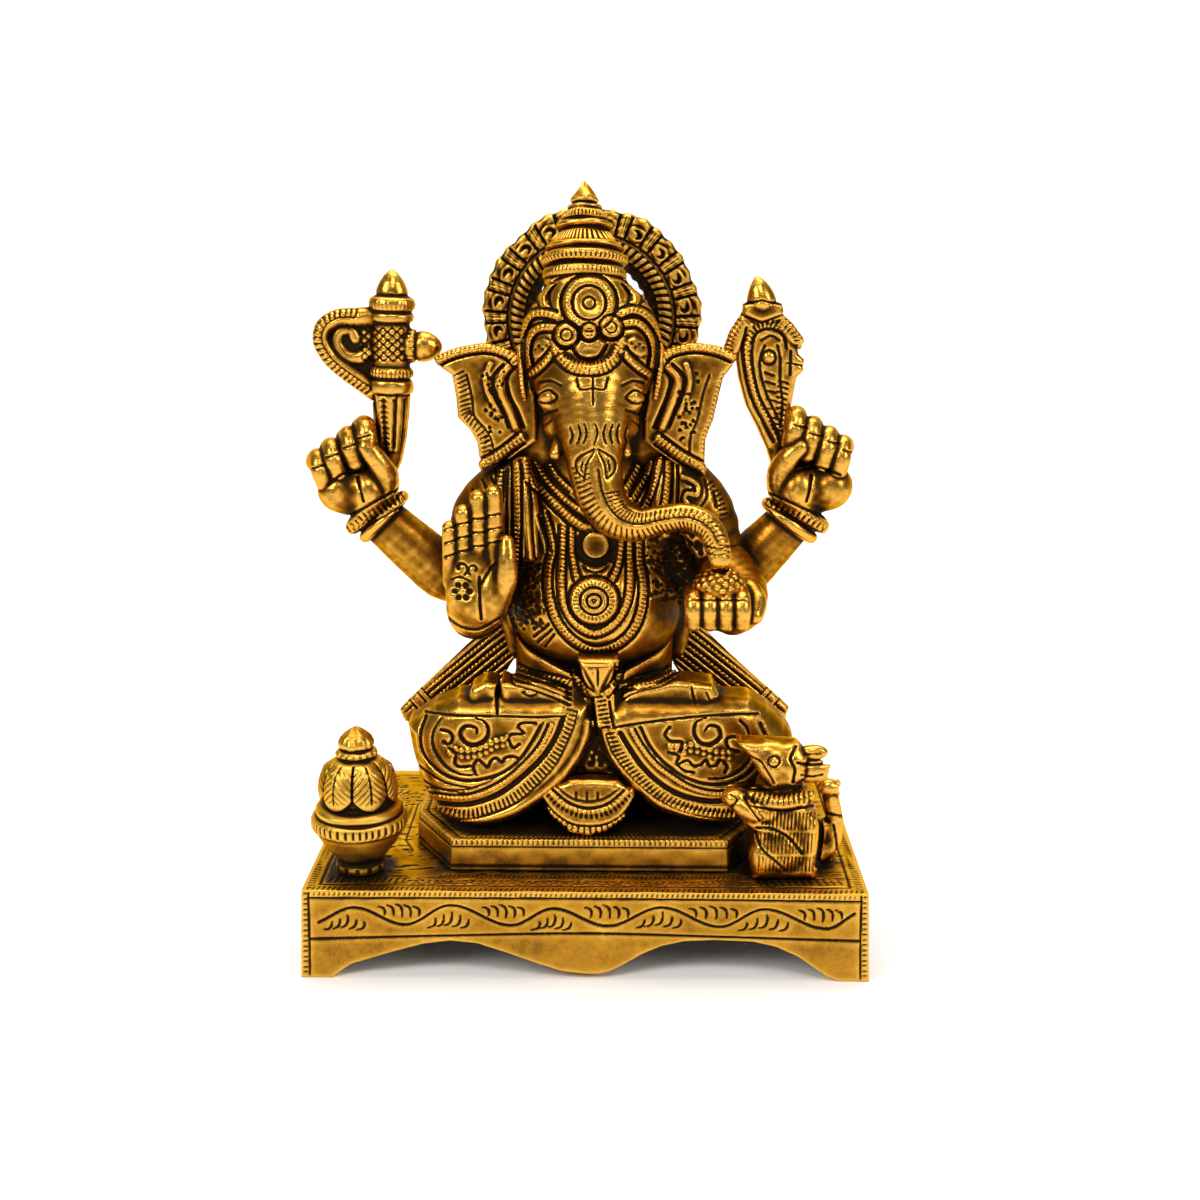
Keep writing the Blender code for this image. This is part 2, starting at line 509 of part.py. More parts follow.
UNDER = BASE_H - BASE_TOP_T
for side, (x, y) in zip(("left", "right"), BOLT_XY):
    washer = turned([(6.0, UNDER - 1.3), (6.0, UNDER - GAP)], (x, y, 0), 0, 20)
    less(washer, turned([(BOLT_HOLE_R, 10), (BOLT_HOLE_R, 40)], (x, y, 0), 0, 16))
    finish(washer, "seat_washer_" + side, steel)
    finish(screw(x, y, UNDER - 1.6 - 3.8, 46.0, BOLT_R, 4.6, 3.8, 6), "seat_bolt_" + side, steel)
finish(screw(POT_XY[0], POT_XY[1], UNDER - GAP - 2.2, 32.5, STUD_R, 4.0, 2.2, 16), "pot_screw", steel)
finish(screw(MOUSE_XY[0], MOUSE_XY[1], UNDER - GAP - 2.2, 32.5, STUD_R, 4.0, 2.2, 16), "mouse_screw", steel)
for side, (x, z) in zip(("left", "right"), HALO_SCREWS):
    ob = bar_y((x, z), 3.0, HALO_Y1 - 0.4 + GAP, HALO_Y1 + 1.6, 14)
    joined([ob, bar_y((x, z), 1.5, 13.5, HALO_Y1 + 0.6, 10)])
    less(ob, block((x - 4, HALO_Y1 + 0.9, z - 0.4), (x + 4, HALO_Y1 + 3, z + 0.4)))
    finish(ob, "halo_screw_" + side, steel)
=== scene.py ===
"""Visual model of a seated elephant-headed brass idol, sculpted in code.

Most castings are carved as signed distance fields on one shared lattice,
with chased lines added as relief, and then meshed; the crown, the pot, the
halo, the plinth and the base are sheets pushed out along their normals.
Tables are in millimetres; x is to the viewer's right, y to the back and z up.
"""
import math

import bpy
import numpy as np
import openvdb as vdb
from mathutils import Matrix, Vector


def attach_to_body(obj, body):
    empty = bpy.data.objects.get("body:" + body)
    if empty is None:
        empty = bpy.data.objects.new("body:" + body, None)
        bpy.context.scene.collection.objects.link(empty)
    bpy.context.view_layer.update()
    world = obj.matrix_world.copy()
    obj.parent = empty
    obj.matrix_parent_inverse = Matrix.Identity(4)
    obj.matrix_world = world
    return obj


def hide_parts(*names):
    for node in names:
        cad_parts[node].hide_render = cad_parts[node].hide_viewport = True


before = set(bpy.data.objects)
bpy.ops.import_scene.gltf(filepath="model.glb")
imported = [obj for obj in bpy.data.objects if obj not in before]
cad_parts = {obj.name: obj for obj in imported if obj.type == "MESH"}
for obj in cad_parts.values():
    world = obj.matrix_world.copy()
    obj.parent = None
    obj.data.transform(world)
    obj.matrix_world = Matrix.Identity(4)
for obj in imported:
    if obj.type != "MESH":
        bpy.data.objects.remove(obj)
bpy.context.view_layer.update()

H = 0.34                          # lattice pitch, mm
SHIFT = np.array([1.225, 0.0, 0.0])   # statue centre line to the frame's origin
EYE = np.array([9.6, -395.0, 197.1])  # the point that chased line work is laid out from
F32 = np.float32


def at(x, z, y0, y):
    """The point at depth y on the sight line through (x, z) on the plane y0."""
    t = (y - EYE[1]) / (y0 - EYE[1])
    return (EYE[0] + (x - EYE[0]) * t, y, EYE[2] + (z - EYE[2]) * t)


def smin(a, b, k):
    if k <= 0:
        return np.minimum(a, b)
    h = np.maximum(k - np.abs(a - b), 0) / k
    return np.minimum(a, b) - h * h * (k * 0.25)


def curve(pts, sub=5, closed=False):
    """Catmull-Rom points through pts, any dimension."""
    p = np.asarray(pts, float)
    if len(p) < 3 and not closed:
        n = max(sub, 1)
        return np.array([p[0] + (p[1] - p[0]) * i / n for i in range(n + 1)])
    out = []
    n = len(p)
    last = n if closed else n - 1
    for i in range(last):
        if closed:
            a, b, c, d = p[i - 1], p[i], p[(i + 1) % n], p[(i + 2) % n]
        else:
            a, b, c, d = p[max(i - 1, 0)], p[i], p[i + 1], p[min(i + 2, n - 1)]
        for k in range(sub):
            t = k / sub
            out.append(0.5 * ((2 * b) + (c - a) * t + (2 * a - 5 * b + 4 * c - d) * t * t
                              + (3 * b - a - 3 * c + d) * t ** 3))
    out.append(p[0] if closed else p[-1])
    return np.array(out)


def resample(pts, step):
    p = np.asarray(pts, float)
    s = np.concatenate([[0], np.cumsum(np.linalg.norm(np.diff(p, axis=0), axis=1))])
    n = max(int(round(s[-1] / step)), 1)
    t = np.linspace(0, s[-1], n + 1)
    q = np.stack([np.interp(t, s, p[:, i]) for i in range(p.shape[1])], 1)
    d = np.gradient(q, axis=0)
    d /= np.maximum(np.linalg.norm(d, axis=1, keepdims=True), 1e-9)
    return q, d


def poly2(px, pz, poly):
    """Signed distance to a closed outline, negative inside."""
    d = np.full(np.broadcast(px, pz).shape, 1e9, F32)
    inside = np.zeros(d.shape, bool)
    n = len(poly)
    for i in range(n):
        (ax, az), (bx, bz) = poly[i - 1], poly[i]
        ex, ez = bx - ax, bz - az
        wx, wz = px - ax, pz - az
        t = np.clip((wx * ex + wz * ez) / max(ex * ex + ez * ez, 1e-9), 0, 1)
        dx, dz = wx - ex * t, wz - ez * t
        d = np.minimum(d, dx * dx + dz * dz)
        c1, c2, c3 = pz >= az, pz < bz, ex * wz > ez * wx
        inside ^= (c1 & c2 & c3) | (~c1 & ~c2 & ~c3)
    return np.where(inside, -1, 1).astype(F32) * np.sqrt(d).astype(F32)


class Map:
    """Chased line work and raised ornament, drawn in (x, z) on the plane y0."""

    def __init__(self, y0, x0, x1, z0, z1, res=0.17):
        self.y0, self.x0, self.z0, self.res = y0, x0, z0, res
        self.nx, self.nz = int((x1 - x0) / res) + 1, int((z1 - z0) / res) + 1
        self.g = np.zeros((self.nx, self.nz), F32)
        self.r = np.zeros((self.nx, self.nz), F32)

    def _win(self, lo, hi):
        a0 = max(int((lo[0] - self.x0) / self.res), 0)
        a1 = min(int((hi[0] - self.x0) / self.res) + 2, self.nx)
        b0 = max(int((lo[1] - self.z0) / self.res), 0)
        b1 = min(int((hi[1] - self.z0) / self.res) + 2, self.nz)
        if a1 <= a0 or b1 <= b0:
            return None
        x = (self.x0 + np.arange(a0, a1) * self.res).astype(F32)[:, None]
        z = (self.z0 + np.arange(b0, b1) * self.res).astype(F32)[None, :]
        return slice(a0, a1), slice(b0, b1), x, z

    def _put(self, sx, sz, m, a):
        tgt = self.g if a > 0 else self.r
        np.maximum(tgt[sx, sz], m * abs(a), out=tgt[sx, sz])

    def seg(self, p, q, w0, w1, a, soft=1.5):
        """One stroke from p to q, half-width w0 to w1; a > 0 cuts, a < 0 raises."""
        w = max(w0, w1) + 0.1
        win = self._win((min(p[0], q[0]) - w, min(p[1], q[1]) - w), (max(p[0], q[0]) + w, max(p[1], q[1]) + w))
        if win is None:
            return
        sx, sz, x, z = win
        ex, ez = q[0] - p[0], q[1] - p[1]
        t = np.clip(((x - p[0]) * ex + (z - p[1]) * ez) / max(ex * ex + ez * ez, 1e-9), 0, 1)
        d = np.hypot(x - p[0] - ex * t, z - p[1] - ez * t) / (w0 + (w1 - w0) * t)
        self._put(sx, sz, np.clip(soft * (1 - d), 0, 1), a)

    def line(self, pts, w=0.5, a=0.5, sub=5, closed=False, soft=1.5, taper=False):
        q = curve(pts, sub, closed) if sub else np.asarray(pts, float)
        n = len(q) - 1
        for i in range(n):
            if taper:
                f0, f1 = math.sin(math.pi * (0.08 + 0.84 * i / n)), math.sin(math.pi * (0.08 + 0.84 * (i + 1) / n))
            else:
                f0 = f1 = 1.0
            self.seg(q[i], q[i + 1], w * f0, w * f1, a, soft)

    def dome(self, c, r, a, ex=1.0, rot=0.0):
        """A domed boss (a < 0) or a dished pit (a > 0)."""
        m = max(r, r * ex)
        win = self._win((c[0] - m, c[1] - m), (c[0] + m, c[1] + m))
        if win is None:
            return
        sx, sz, x, z = win
        u, v = x - c[0], z - c[1]
        cs, sn = math.cos(rot), math.sin(rot)
        d = np.hypot((u * cs + v * sn) / (r * ex), (-u * sn + v * cs) / r)
        self._put(sx, sz, np.sqrt(np.clip(1 - d * d, 0, 1)), a)

    def ring(self, c, r, w, a, soft=1.5):
        win = self._win((c[0] - r - w, c[1] - r - w), (c[0] + r + w, c[1] + r + w))
        if win is None:
            return
        sx, sz, x, z = win
        d = np.abs(np.hypot(x - c[0], z - c[1]) - r) / w
        self._put(sx, sz, np.clip(soft * (1 - d), 0, 1), a)

    def disc(self, c, r, a, edge=0.35):
        win = self._win((c[0] - r - 1, c[1] - r - 1), (c[0] + r + 1, c[1] + r + 1))
        if win is None:
            return
        sx, sz, x, z = win
        d = np.hypot(x - c[0], z - c[1])
        self._put(sx, sz, np.clip((r - d) / edge + 0.5, 0, 1), a)

    def area(self, poly, a, edge=0.4, sub=0):
        p = curve(poly, sub, True)[:-1] if sub else np.asarray(poly, float)
        win = self._win(p.min(0) - 1, p.max(0) + 1)
        if win is None:
            return
        sx, sz, x, z = win
        self._put(sx, sz, np.clip(0.5 - poly2(x, z, p) / edge, 0, 1), a)

    def ticks(self, pts, step=1.2, lo=-1.2, hi=1.2, w=0.32, a=0.45, lean=0.0, sub=6, closed=False, ends=True):
        """Short strokes across a path."""
        q, d = resample(curve(pts, sub, closed) if sub else pts, step)
        if not ends:
            q, d = q[1:-1], d[1:-1]
        for (px, pz), (tx, tz) in zip(q, d):
            nx, nz = -tz, tx
            self.seg((px + nx * lo - tx * lean, pz + nz * lo - tz * lean),
                     (px + nx * hi + tx * lean, pz + nz * hi + tz * lean), w, w, a)

    def rope(self, pts, width=2.2, step=1.25, rise=0.6, cut=0.55, lean=0.5, edge=0.5, sub=6, closed=False, w=0.32):
        """A raised cord: a half-round band with slanted ticks and a groove along each side."""
        q = curve(pts, sub, closed) if sub else np.asarray(pts, float)
        for i in range(len(q) - 1):
            self.seg(q[i], q[i + 1], width * 0.62, width * 0.62, -rise, 1.6)
        if edge:
            qq, d = resample(q, 0.8)
            n = np.stack([-d[:, 1], d[:, 0]], 1)
            for s in (-1, 1):
                self.line(qq + n * (s * width * 0.62), 0.42, edge, sub=0)
        self.ticks(q, step, -width * 0.5, width * 0.5, w, cut, lean, sub=0)

    def beads(self, pts, step=1.6, r=0.75, rise=0.7, sub=6, closed=False):
        q, _ = resample(curve(pts, sub, closed) if sub else pts, step)
        for c in q:
            self.dome(c, r, -rise)

    def spiral(self, c, r0, r1, a0, a1, w=0.45, a=0.5, taper=False):
        n = max(int(abs(a1 - a0) / 18), 4)
        t = np.linspace(0, 1, n + 1)
        ang = np.radians(a0 + (a1 - a0) * t)
        rr = r0 + (r1 - r0) * t
        self.line(np.stack([c[0] + rr * np.cos(ang), c[1] + rr * np.sin(ang)], 1), w, a, sub=0, taper=taper)

    def sample(self, x, y, z):
        """Signed height (raised minus cut) where the sight line through a point meets y0."""
        t = (self.y0 - EYE[1]) / (y - EYE[1])
        u = (EYE[0] + (x - EYE[0]) * t - self.x0) / self.res
        v = (EYE[2] + (z - EYE[2]) * t - self.z0) / self.res
        u, v = np.broadcast_arrays(u, v)
        ok = (u > 0) & (u < self.nx - 2) & (v > 0) & (v < self.nz - 2)
        u = np.clip(u, 0, self.nx - 2.001)
        v = np.clip(v, 0, self.nz - 2.001)
        i, j = u.astype(np.int32), v.astype(np.int32)
        fu, fv = (u - i).astype(F32), (v - j).astype(F32)
        m = self.r - self.g
        out = ((m[i, j] * (1 - fu) + m[i + 1, j] * fu) * (1 - fv)
               + (m[i, j + 1] * (1 - fu) + m[i + 1, j + 1] * fu) * fv)
        return np.where(ok, out, 0).astype(F32)


class Vol:
    """A signed distance field for one casting."""

    def __init__(self, lo, hi):
        self.i0 = np.floor(np.array(lo) / H).astype(int) - 3
        self.n = np.ceil(np.array(hi) / H).astype(int) + 4 - self.i0
        self.d = np.full(self.n, 6.0, F32)

    def win(self, lo, hi):
        a = np.clip(np.floor(np.asarray(lo) / H).astype(int) - self.i0, 0, self.n)
        b = np.clip(np.ceil(np.asarray(hi) / H).astype(int) + 1 - self.i0, 0, self.n)
        if (b <= a).any():
            return None
        ax = [((np.arange(a[k], b[k]) + self.i0[k]) * H).astype(F32) for k in range(3)]
        return (tuple(slice(a[k], b[k]) for k in range(3)),
                ax[0][:, None, None], ax[1][None, :, None], ax[2][None, None, :])

    def put(self, fn, lo, hi, k=0.0, op="add"):
        pad = 1.6 + k
        w = self.win(np.asarray(lo, float) - pad, np.asarray(hi, float) + pad)
        if w is None:
            return self
        s, x, y, z = w
        f = fn(x, y, z)
        if op == "add":
            self.d[s] = smin(self.d[s], f, k)
        elif op == "cut":
            self.d[s] = -smin(-self.d[s], f, k)
        else:
            self.d[s] = -smin(-self.d[s], -f, k)
        return self

    def ell(self, c, r, k=0.0, op="add", R=None):
        c, r = np.asarray(c, float), np.asarray(r, float)

        def fn(x, y, z):
            p = [x - c[0], y - c[1], z - c[2]]
            if R is not None:
                p = [R[i][0] * p[0] + R[i][1] * p[1] + R[i][2] * p[2] for i in range(3)]
            k0 = np.sqrt((p[0] / r[0]) ** 2 + (p[1] / r[1]) ** 2 + (p[2] / r[2]) ** 2)
            k1 = np.sqrt((p[0] / r[0] ** 2) ** 2 + (p[1] / r[1] ** 2) ** 2 + (p[2] / r[2] ** 2) ** 2)
            return (k0 * (k0 - 1) / np.maximum(k1, 1e-4)).astype(F32)

        m = r if R is None else np.full(3, r.max())
        return self.put(fn, c - m, c + m, k, op)

    def tube(self, pts, rad, k=0.0, op="add", sub=4, squash=None):
        """Round bar through pts; squash=(sx, sy, sz) thickens or thins it along an axis."""
        p = np.asarray(pts, float)
        r = np.full(len(p), rad, float) if np.isscalar(rad) else np.asarray(rad, float)
        q = curve(np.column_stack([p, r]), sub) if len(p) > 2 else np.column_stack([p, r])
        sc = np.ones(3) if squash is None else np.asarray(squash, float)

        def fn(x, y, z):
            x, y, z = x / sc[0], y / sc[1], z / sc[2]
            out = None
            for a, b in zip(q, q[1:]):
                a3, b3 = a[:3] / sc, b[:3] / sc
                e = b3 - a3
                ee = max(float(e @ e), 1e-9)
                wx, wy, wz = x - a3[0], y - a3[1], z - a3[2]
                t = np.clip((wx * e[0] + wy * e[1] + wz * e[2]) / ee, 0, 1)
                dd = np.sqrt((wx - e[0] * t) ** 2 + (wy - e[1] * t) ** 2 + (wz - e[2] * t) ** 2) - (a[3] + (b[3] - a[3]) * t)
                out = dd if out is None else np.minimum(out, dd)
            return (out * min(sc)).astype(F32)

        m = (r.max() + 0.2) * sc
        return self.put(fn, p.min(0) - m - 1, p.max(0) + m + 1, k, op)

    def caps(self, segs, k=0.0, op="add"):
        """Many small bars, each (p, q, rp, rq)."""
        for p, q, a, b in segs:
            self.tube([p, q], [a, b], k, op)
        return self

    def plate(self, outline, y0, y1, rnd=0.8, k=0.0, op="add", bend=None, sub=0):
        """An (x, z) outline between depths y0 and y1; bend(x, z) moves it in y."""
        o = curve(outline, sub, True)[:-1] if sub else np.asarray(outline, float)
        yc, hy = (y0 + y1) / 2, (y1 - y0) / 2

        def fn(x, y, z):
            d2 = poly2(x[:, :, 0], z[0], o)[:, None, :] + rnd
            off = bend(x, z) if bend else 0.0
            dy = np.abs(y - yc - off) - hy + rnd
            return (np.minimum(np.maximum(d2, dy), 0) + np.hypot(np.maximum(d2, 0), np.maximum(dy, 0)) - rnd).astype(F32)

        ext = 0.0
        if bend:
            xs, zs = np.meshgrid(np.linspace(o[:, 0].min(), o[:, 0].max(), 9), np.linspace(o[:, 1].min(), o[:, 1].max(), 9))
            bb = bend(xs.astype(F32), zs.astype(F32))
            return self.put(fn, (o[:, 0].min(), y0 + float(np.min(bb)), o[:, 1].min()),
                            (o[:, 0].max(), y1 + float(np.max(bb)), o[:, 1].max()), k, op)
        return self.put(fn, (o[:, 0].min(), y0 - ext, o[:, 1].min()), (o[:, 0].max(), y1 + ext, o[:, 1].max()), k, op)

    def lathe(self, profile, base, R=None, k=0.0, op="add", wob=None, flat=1.0):
        """A turned solid: profile (radius, height) bottom to top; wob(angle, h) adds to the radius."""
        prof = [(-6.0, profile[0][1])] + list(profile) + [(-6.0, profile[-1][1])]
        base = np.asarray(base, float)
        rmax = max(p[0] for p in profile) + 1
        hmax = max(abs(p[1]) for p in profile) + 1

        def fn(x, y, z):
            p = [x - base[0], y - base[1], z - base[2]]
            if R is not None:
                p = [R[i][0] * p[0] + R[i][1] * p[1] + R[i][2] * p[2] for i in range(3)]
            p = np.broadcast_arrays(*p)
            yy = p[1] / flat
            rr = np.hypot(p[0], yy)
            out = poly2(rr, p[2], prof)
            if wob is not None:
                out = out - wob(np.arctan2(yy, p[0]), p[2], rr)
            return out.astype(F32)

        m = math.hypot(rmax, hmax) if R is not None else 0
        if R is None:
            lo = base + np.array([-rmax, -rmax * flat, min(p[1] for p in profile)])
            hi = base + np.array([rmax, rmax * flat, max(p[1] for p in profile)])
        else:
            lo, hi = base - m, base + m
        return self.put(fn, lo, hi, k, op)

    def relief(self, m, y0, y1, gain=1.0, x0=-99, x1=99, z0=-9, z1=230):
        """Moves the surface by a Map's height between two depths."""
        band = 2.2
        lo = (max(m.x0 - 12, x0), y0, max(m.z0 - 12, z0))
        hi = (min(m.x0 + m.nx * m.res + 12, x1), y1, min(m.z0 + m.nz * m.res + 12, z1))
        w = self.win(lo, hi)
        if w is None:
            return self
        s, x, y, z = w
        d = self.d[s]
        near = np.abs(d) < band
        idx = np.nonzero(near)
        if len(idx[0]) == 0:
            return self
        hgt = m.sample(x[idx[0], 0, 0], y[0, idx[1], 0], z[0, 0, idx[2]])
        d[idx] -= hgt * gain
        self.d[s] = d
        return self

    def grain(self, amp=0.05, scale=3.0, seed=1):
        """Slow uneven swelling, as hand finishing leaves."""
        g = self.axes()
        x, y, z = g
        f = 2 * math.pi / scale
        w = (np.sin(x * f + seed) * np.sin(y * f * 1.13 + 2 * seed) * np.sin(z * f * 0.91 + 3 * seed)
             + 0.6 * np.sin(x * f * 1.9 + 5 * seed) * np.sin(z * f * 2.1 + seed) * np.sin(y * f * 1.7))
        self.d += (amp * w).astype(F32)
        return self

    def axes(self):
        ax = [((np.arange(self.n[k]) + self.i0[k]) * H).astype(F32) for k in range(3)]
        return ax[0][:, None, None], ax[1][None, :, None], ax[2][None, None, :]


def box_blur(a, r, times=2):
    """Separable running mean over 2r+1 cells."""
    for _ in range(times):
        for ax in range(a.ndim):
            pad = [(0, 0)] * a.ndim
            pad[ax] = (r + 1, r)
            c = np.cumsum(np.pad(a, pad, mode="edge"), axis=ax, dtype=np.float64 if a.size < 3e6 else F32)
            hi = [slice(None)] * a.ndim
            lo = [slice(None)] * a.ndim
            hi[ax] = slice(2 * r + 1, None)
            lo[ax] = slice(None, -(2 * r + 1))
            a = ((c[tuple(hi)] - c[tuple(lo)]) / (2 * r + 1)).astype(F32)
    return a


def trilerp(a, p):
    """Values of grid a at fractional indices p (n, 3)."""
    p = np.clip(p, 0, np.array(a.shape) - 1.001)
    i = p.astype(np.int32)
    f = (p - i).astype(F32)
    out = np.zeros(len(p), F32)
    for dx in (0, 1):
        for dy in (0, 1):
            for dz in (0, 1):
                w = (f[:, 0] if dx else 1 - f[:, 0]) * (f[:, 1] if dy else 1 - f[:, 1]) * (f[:, 2] if dz else 1 - f[:, 2])
                out += w * a[i[:, 0] + dx, i[:, 1] + dy, i[:, 2] + dz]
    return out


# The whole statue's occupancy, for the patina and the painted shade in hollows and between parts.
OH = 0.9
OLO = np.array([-82.0, -50.0, -6.0])
ON = np.ceil((np.array([82.0, 50.0, 208.0]) - OLO) / OH).astype(int)
OCC = np.zeros(ON, F32)
PIECES = []


def mark(vol):
    """Adds a casting to the occupancy grid."""
    lo = np.maximum(np.ceil((vol.i0 * H - OLO) / OH).astype(int), 0)
    hi = np.minimum(np.floor(((vol.i0 + vol.n - 1) * H - OLO) / OH).astype(int), ON - 1)
    sub = vol.d
    for k in range(3):
        t = (np.arange(lo[k], hi[k] + 1) * OH + OLO[k]) / H - vol.i0[k]
        i = np.clip(np.floor(t).astype(int), 0, vol.n[k] - 2)
        f = (t - i).astype(F32).reshape([-1 if a == k else 1 for a in range(3)])
        sub = sub.take(i, axis=k) * (1 - f) + sub.take(i + 1, axis=k) * f
    s = tuple(slice(lo[k], hi[k] + 1) for k in range(3))
    OCC[s] = np.maximum(OCC[s], np.clip(0.5 - sub / OH, 0, 1))


def mark_box(lo, hi):
    a = np.clip(np.round((np.asarray(lo) - OLO) / OH).astype(int), 0, ON)
    b = np.clip(np.round((np.asarray(hi) - OLO) / OH).astype(int), 0, ON)
    OCC[a[0]:b[0], a[1]:b[1], a[2]:b[2]] = 1.0


def mesh_object(name, verts, faces):
    me = bpy.data.meshes.new(name)
    nv, nf = len(verts), len(faces)
    me.vertices.add(nv)
    me.vertices.foreach_set("co", (np.asarray(verts, np.float64) * 0.001).astype(F32).ravel())
    k = faces.shape[1]
    me.loops.add(nf * k)
    me.loops.foreach_set("vertex_index", faces.astype(np.int32).ravel())
    me.polygons.add(nf)
    me.polygons.foreach_set("loop_start", (np.arange(nf) * k).astype(np.int32))
    me.update(calc_edges=True)
    me.polygons.foreach_set("use_smooth", np.ones(nf, bool))
    ob = bpy.data.objects.new(name, me)
    bpy.context.scene.collection.objects.link(ob)
    return ob


def attach(me, name, vals):
    at_ = me.attributes.new(name, "FLOAT", "POINT")
    at_.data.foreach_set("value", np.asarray(vals, F32))


def carve(vol, name, nodes):
    """Meshes a casting, keeps its fine cavity measure, and rides it on the frame."""
    mark(vol)
    g = vdb.FloatGrid(3.0)
    g.copyFromArray(np.clip(vol.d / H, -3, 3))
    p, q = g.convertToQuads(0.0)
    p, q = biggest(np.asarray(p, float), np.asarray(q).copy())
    pos = (p + vol.i0) * H
    dc = np.clip(vol.d, -1.1, 1.1)
    fine = trilerp(box_blur(dc, 1, 2), p)          # + on ridges, - in cuts
    wide = trilerp(box_blur(dc, 3, 2), p)
    ob = mesh_object(name, pos + SHIFT, q)
    PIECES.append((ob, pos, fine, wide))
    ride_on(ob, nodes)
    return ob


def biggest(p, q):
    """Drops loose islands left by fine cuts."""
    lab = np.arange(len(p))
    for _ in range(600):
        m = lab[q].min(1)
        new = lab.copy()
        for k in range(4):
            np.minimum.at(new, q[:, k], m)
        new = new[new]
        if (new == lab).all():
            break
        lab = new
    cnt = np.bincount(lab, minlength=len(p))
    keep = cnt[lab] >= max(0.02 * len(p), 60)
    if keep.all():
        return p, q
    ren = np.cumsum(keep) - 1
    return p[keep], ren[q[keep[q].all(1)]]


def ride_on(ob, nodes):
    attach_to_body(ob, "root")
    if nodes:
        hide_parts(*nodes)


def grid_faces(nu, nv, wrap_u, wrap_v):
    iu = np.arange(nu if wrap_u else nu - 1)
    iv = np.arange(nv if wrap_v else nv - 1)
    a, b = np.meshgrid(iu, iv, indexing="ij")
    a2, b2 = (a + 1) % nu, (b + 1) % nv
    return np.stack([a * nv + b, a2 * nv + b, a2 * nv + b2, a * nv + b2], -1).reshape(-1, 4)


def grid_normals(P, wrap_u, wrap_v):
    def diff(A, ax, wrap):
        if wrap:
            return np.roll(A, -1, ax) - np.roll(A, 1, ax)
        return np.gradient(A, axis=ax)
    n = np.cross(diff(P, 0, wrap_u), diff(P, 1, wrap_v))
    return n / np.maximum(np.linalg.norm(n, axis=2, keepdims=True), 1e-9)


def blur2(a, r, wrap_u, wrap_v, times=2):
    for _ in range(times):
        for ax, wrap in ((0, wrap_u), (1, wrap_v)):
            if r[ax] < 1:
                continue
            pad = [(0, 0), (0, 0)]
            pad[ax] = (r[ax] + 1, r[ax])
            c = np.cumsum(np.pad(a, pad, mode="wrap" if wrap else "edge"), axis=ax)
            hi, lo = [slice(None)] * 2, [slice(None)] * 2
            hi[ax], lo[ax] = slice(2 * r[ax] + 1, None), slice(None, -(2 * r[ax] + 1))
            a = (c[tuple(hi)] - c[tuple(lo)]) / (2 * r[ax] + 1)
    return a


def skin(name, P, hgt, nodes, wrap_u=True, wrap_v=False, pitch=(0.36, 0.36), extra=0.0, flip=False,
         caps=True, also=None):
    """A closed sheet of points (nu, nv, 3) pushed out along its normals by hgt (nu, nv)."""
    n = grid_normals(P, wrap_u, wrap_v)
    if flip:
        n = -n
    Q = P + n * hgt[..., None]
    nu, nv = P.shape[:2]
    faces = grid_faces(nu, nv, wrap_u, wrap_v)
    if flip:
        faces = faces[:, ::-1]
    r1 = (max(int(round(0.7 / pitch[0])), 1), max(int(round(0.7 / pitch[1])), 1))
    r2 = (max(int(round(1.8 / pitch[0])), 1), max(int(round(1.8 / pitch[1])), 1))
    fine = (hgt - blur2(hgt, r1, wrap_u, wrap_v)) * 0.55 + extra
    wide = (hgt - blur2(hgt, r2, wrap_u, wrap_v)) * 0.6 + extra
    verts = Q.reshape(-1, 3)
    fine, wide = fine.ravel(), wide.ravel()
    if caps and wrap_u and not wrap_v:
        c0, c1 = Q[:, 0].mean(0), Q[:, -1].mean(0)
        base = len(verts)
        verts = np.vstack([verts, c0, c1])
        fine, wide = np.append(fine, [0, 0]), np.append(wide, [0, 0])
        u = np.arange(nu)
        u2 = (u + 1) % nu
        f0 = np.stack([np.full(nu, base), u2 * nv, u * nv, np.full(nu, base)], 1)
        f1 = np.stack([np.full(nu, base + 1), u * nv + nv - 1, u2 * nv + nv - 1, np.full(nu, base + 1)], 1)
        tri = np.vstack([f0, f1])
        if flip:
            tri = tri[:, ::-1]
        ob = mixed_object(name, verts + SHIFT, faces, tri[:, :3] if not flip else tri[:, 1:])
    else:
        ob = mixed_object(name, verts + SHIFT, faces, None)
    if also is not None:
        extra_v, extra_f = also
        add_shell(ob, extra_v + SHIFT, extra_f)
        verts = np.vstack([verts, extra_v])
        fine = np.append(fine, np.zeros(len(extra_v)))
        wide = np.append(wide, np.zeros(len(extra_v)))
    PIECES.append((ob, verts, fine.astype(F32), wide.astype(F32)))
    if nodes is not None:
        ride_on(ob, nodes)
    return ob


def mixed_object(name, verts, quads, tris):
    me = bpy.data.meshes.new(name)
    me.vertices.add(len(verts))
    me.vertices.foreach_set("co", (np.asarray(verts, np.float64) * 0.001).astype(F32).ravel())
    nq, nt = len(quads), 0 if tris is None else len(tris)
    idx = quads.ravel() if not nt else np.concatenate([quads.ravel(), tris.ravel()])
    starts = np.arange(nq) * 4 if not nt else np.concatenate([np.arange(nq) * 4, nq * 4 + np.arange(nt) * 3])
    me.loops.add(len(idx))
    me.loops.foreach_set("vertex_index", idx.astype(np.int32))
    me.polygons.add(nq + nt)
    me.polygons.foreach_set("loop_start", starts.astype(np.int32))
    me.update(calc_edges=True)
    me.polygons.foreach_set("use_smooth", np.ones(nq + nt, bool))
    ob = bpy.data.objects.new(name, me)
    bpy.context.scene.collection.objects.link(ob)
    return ob


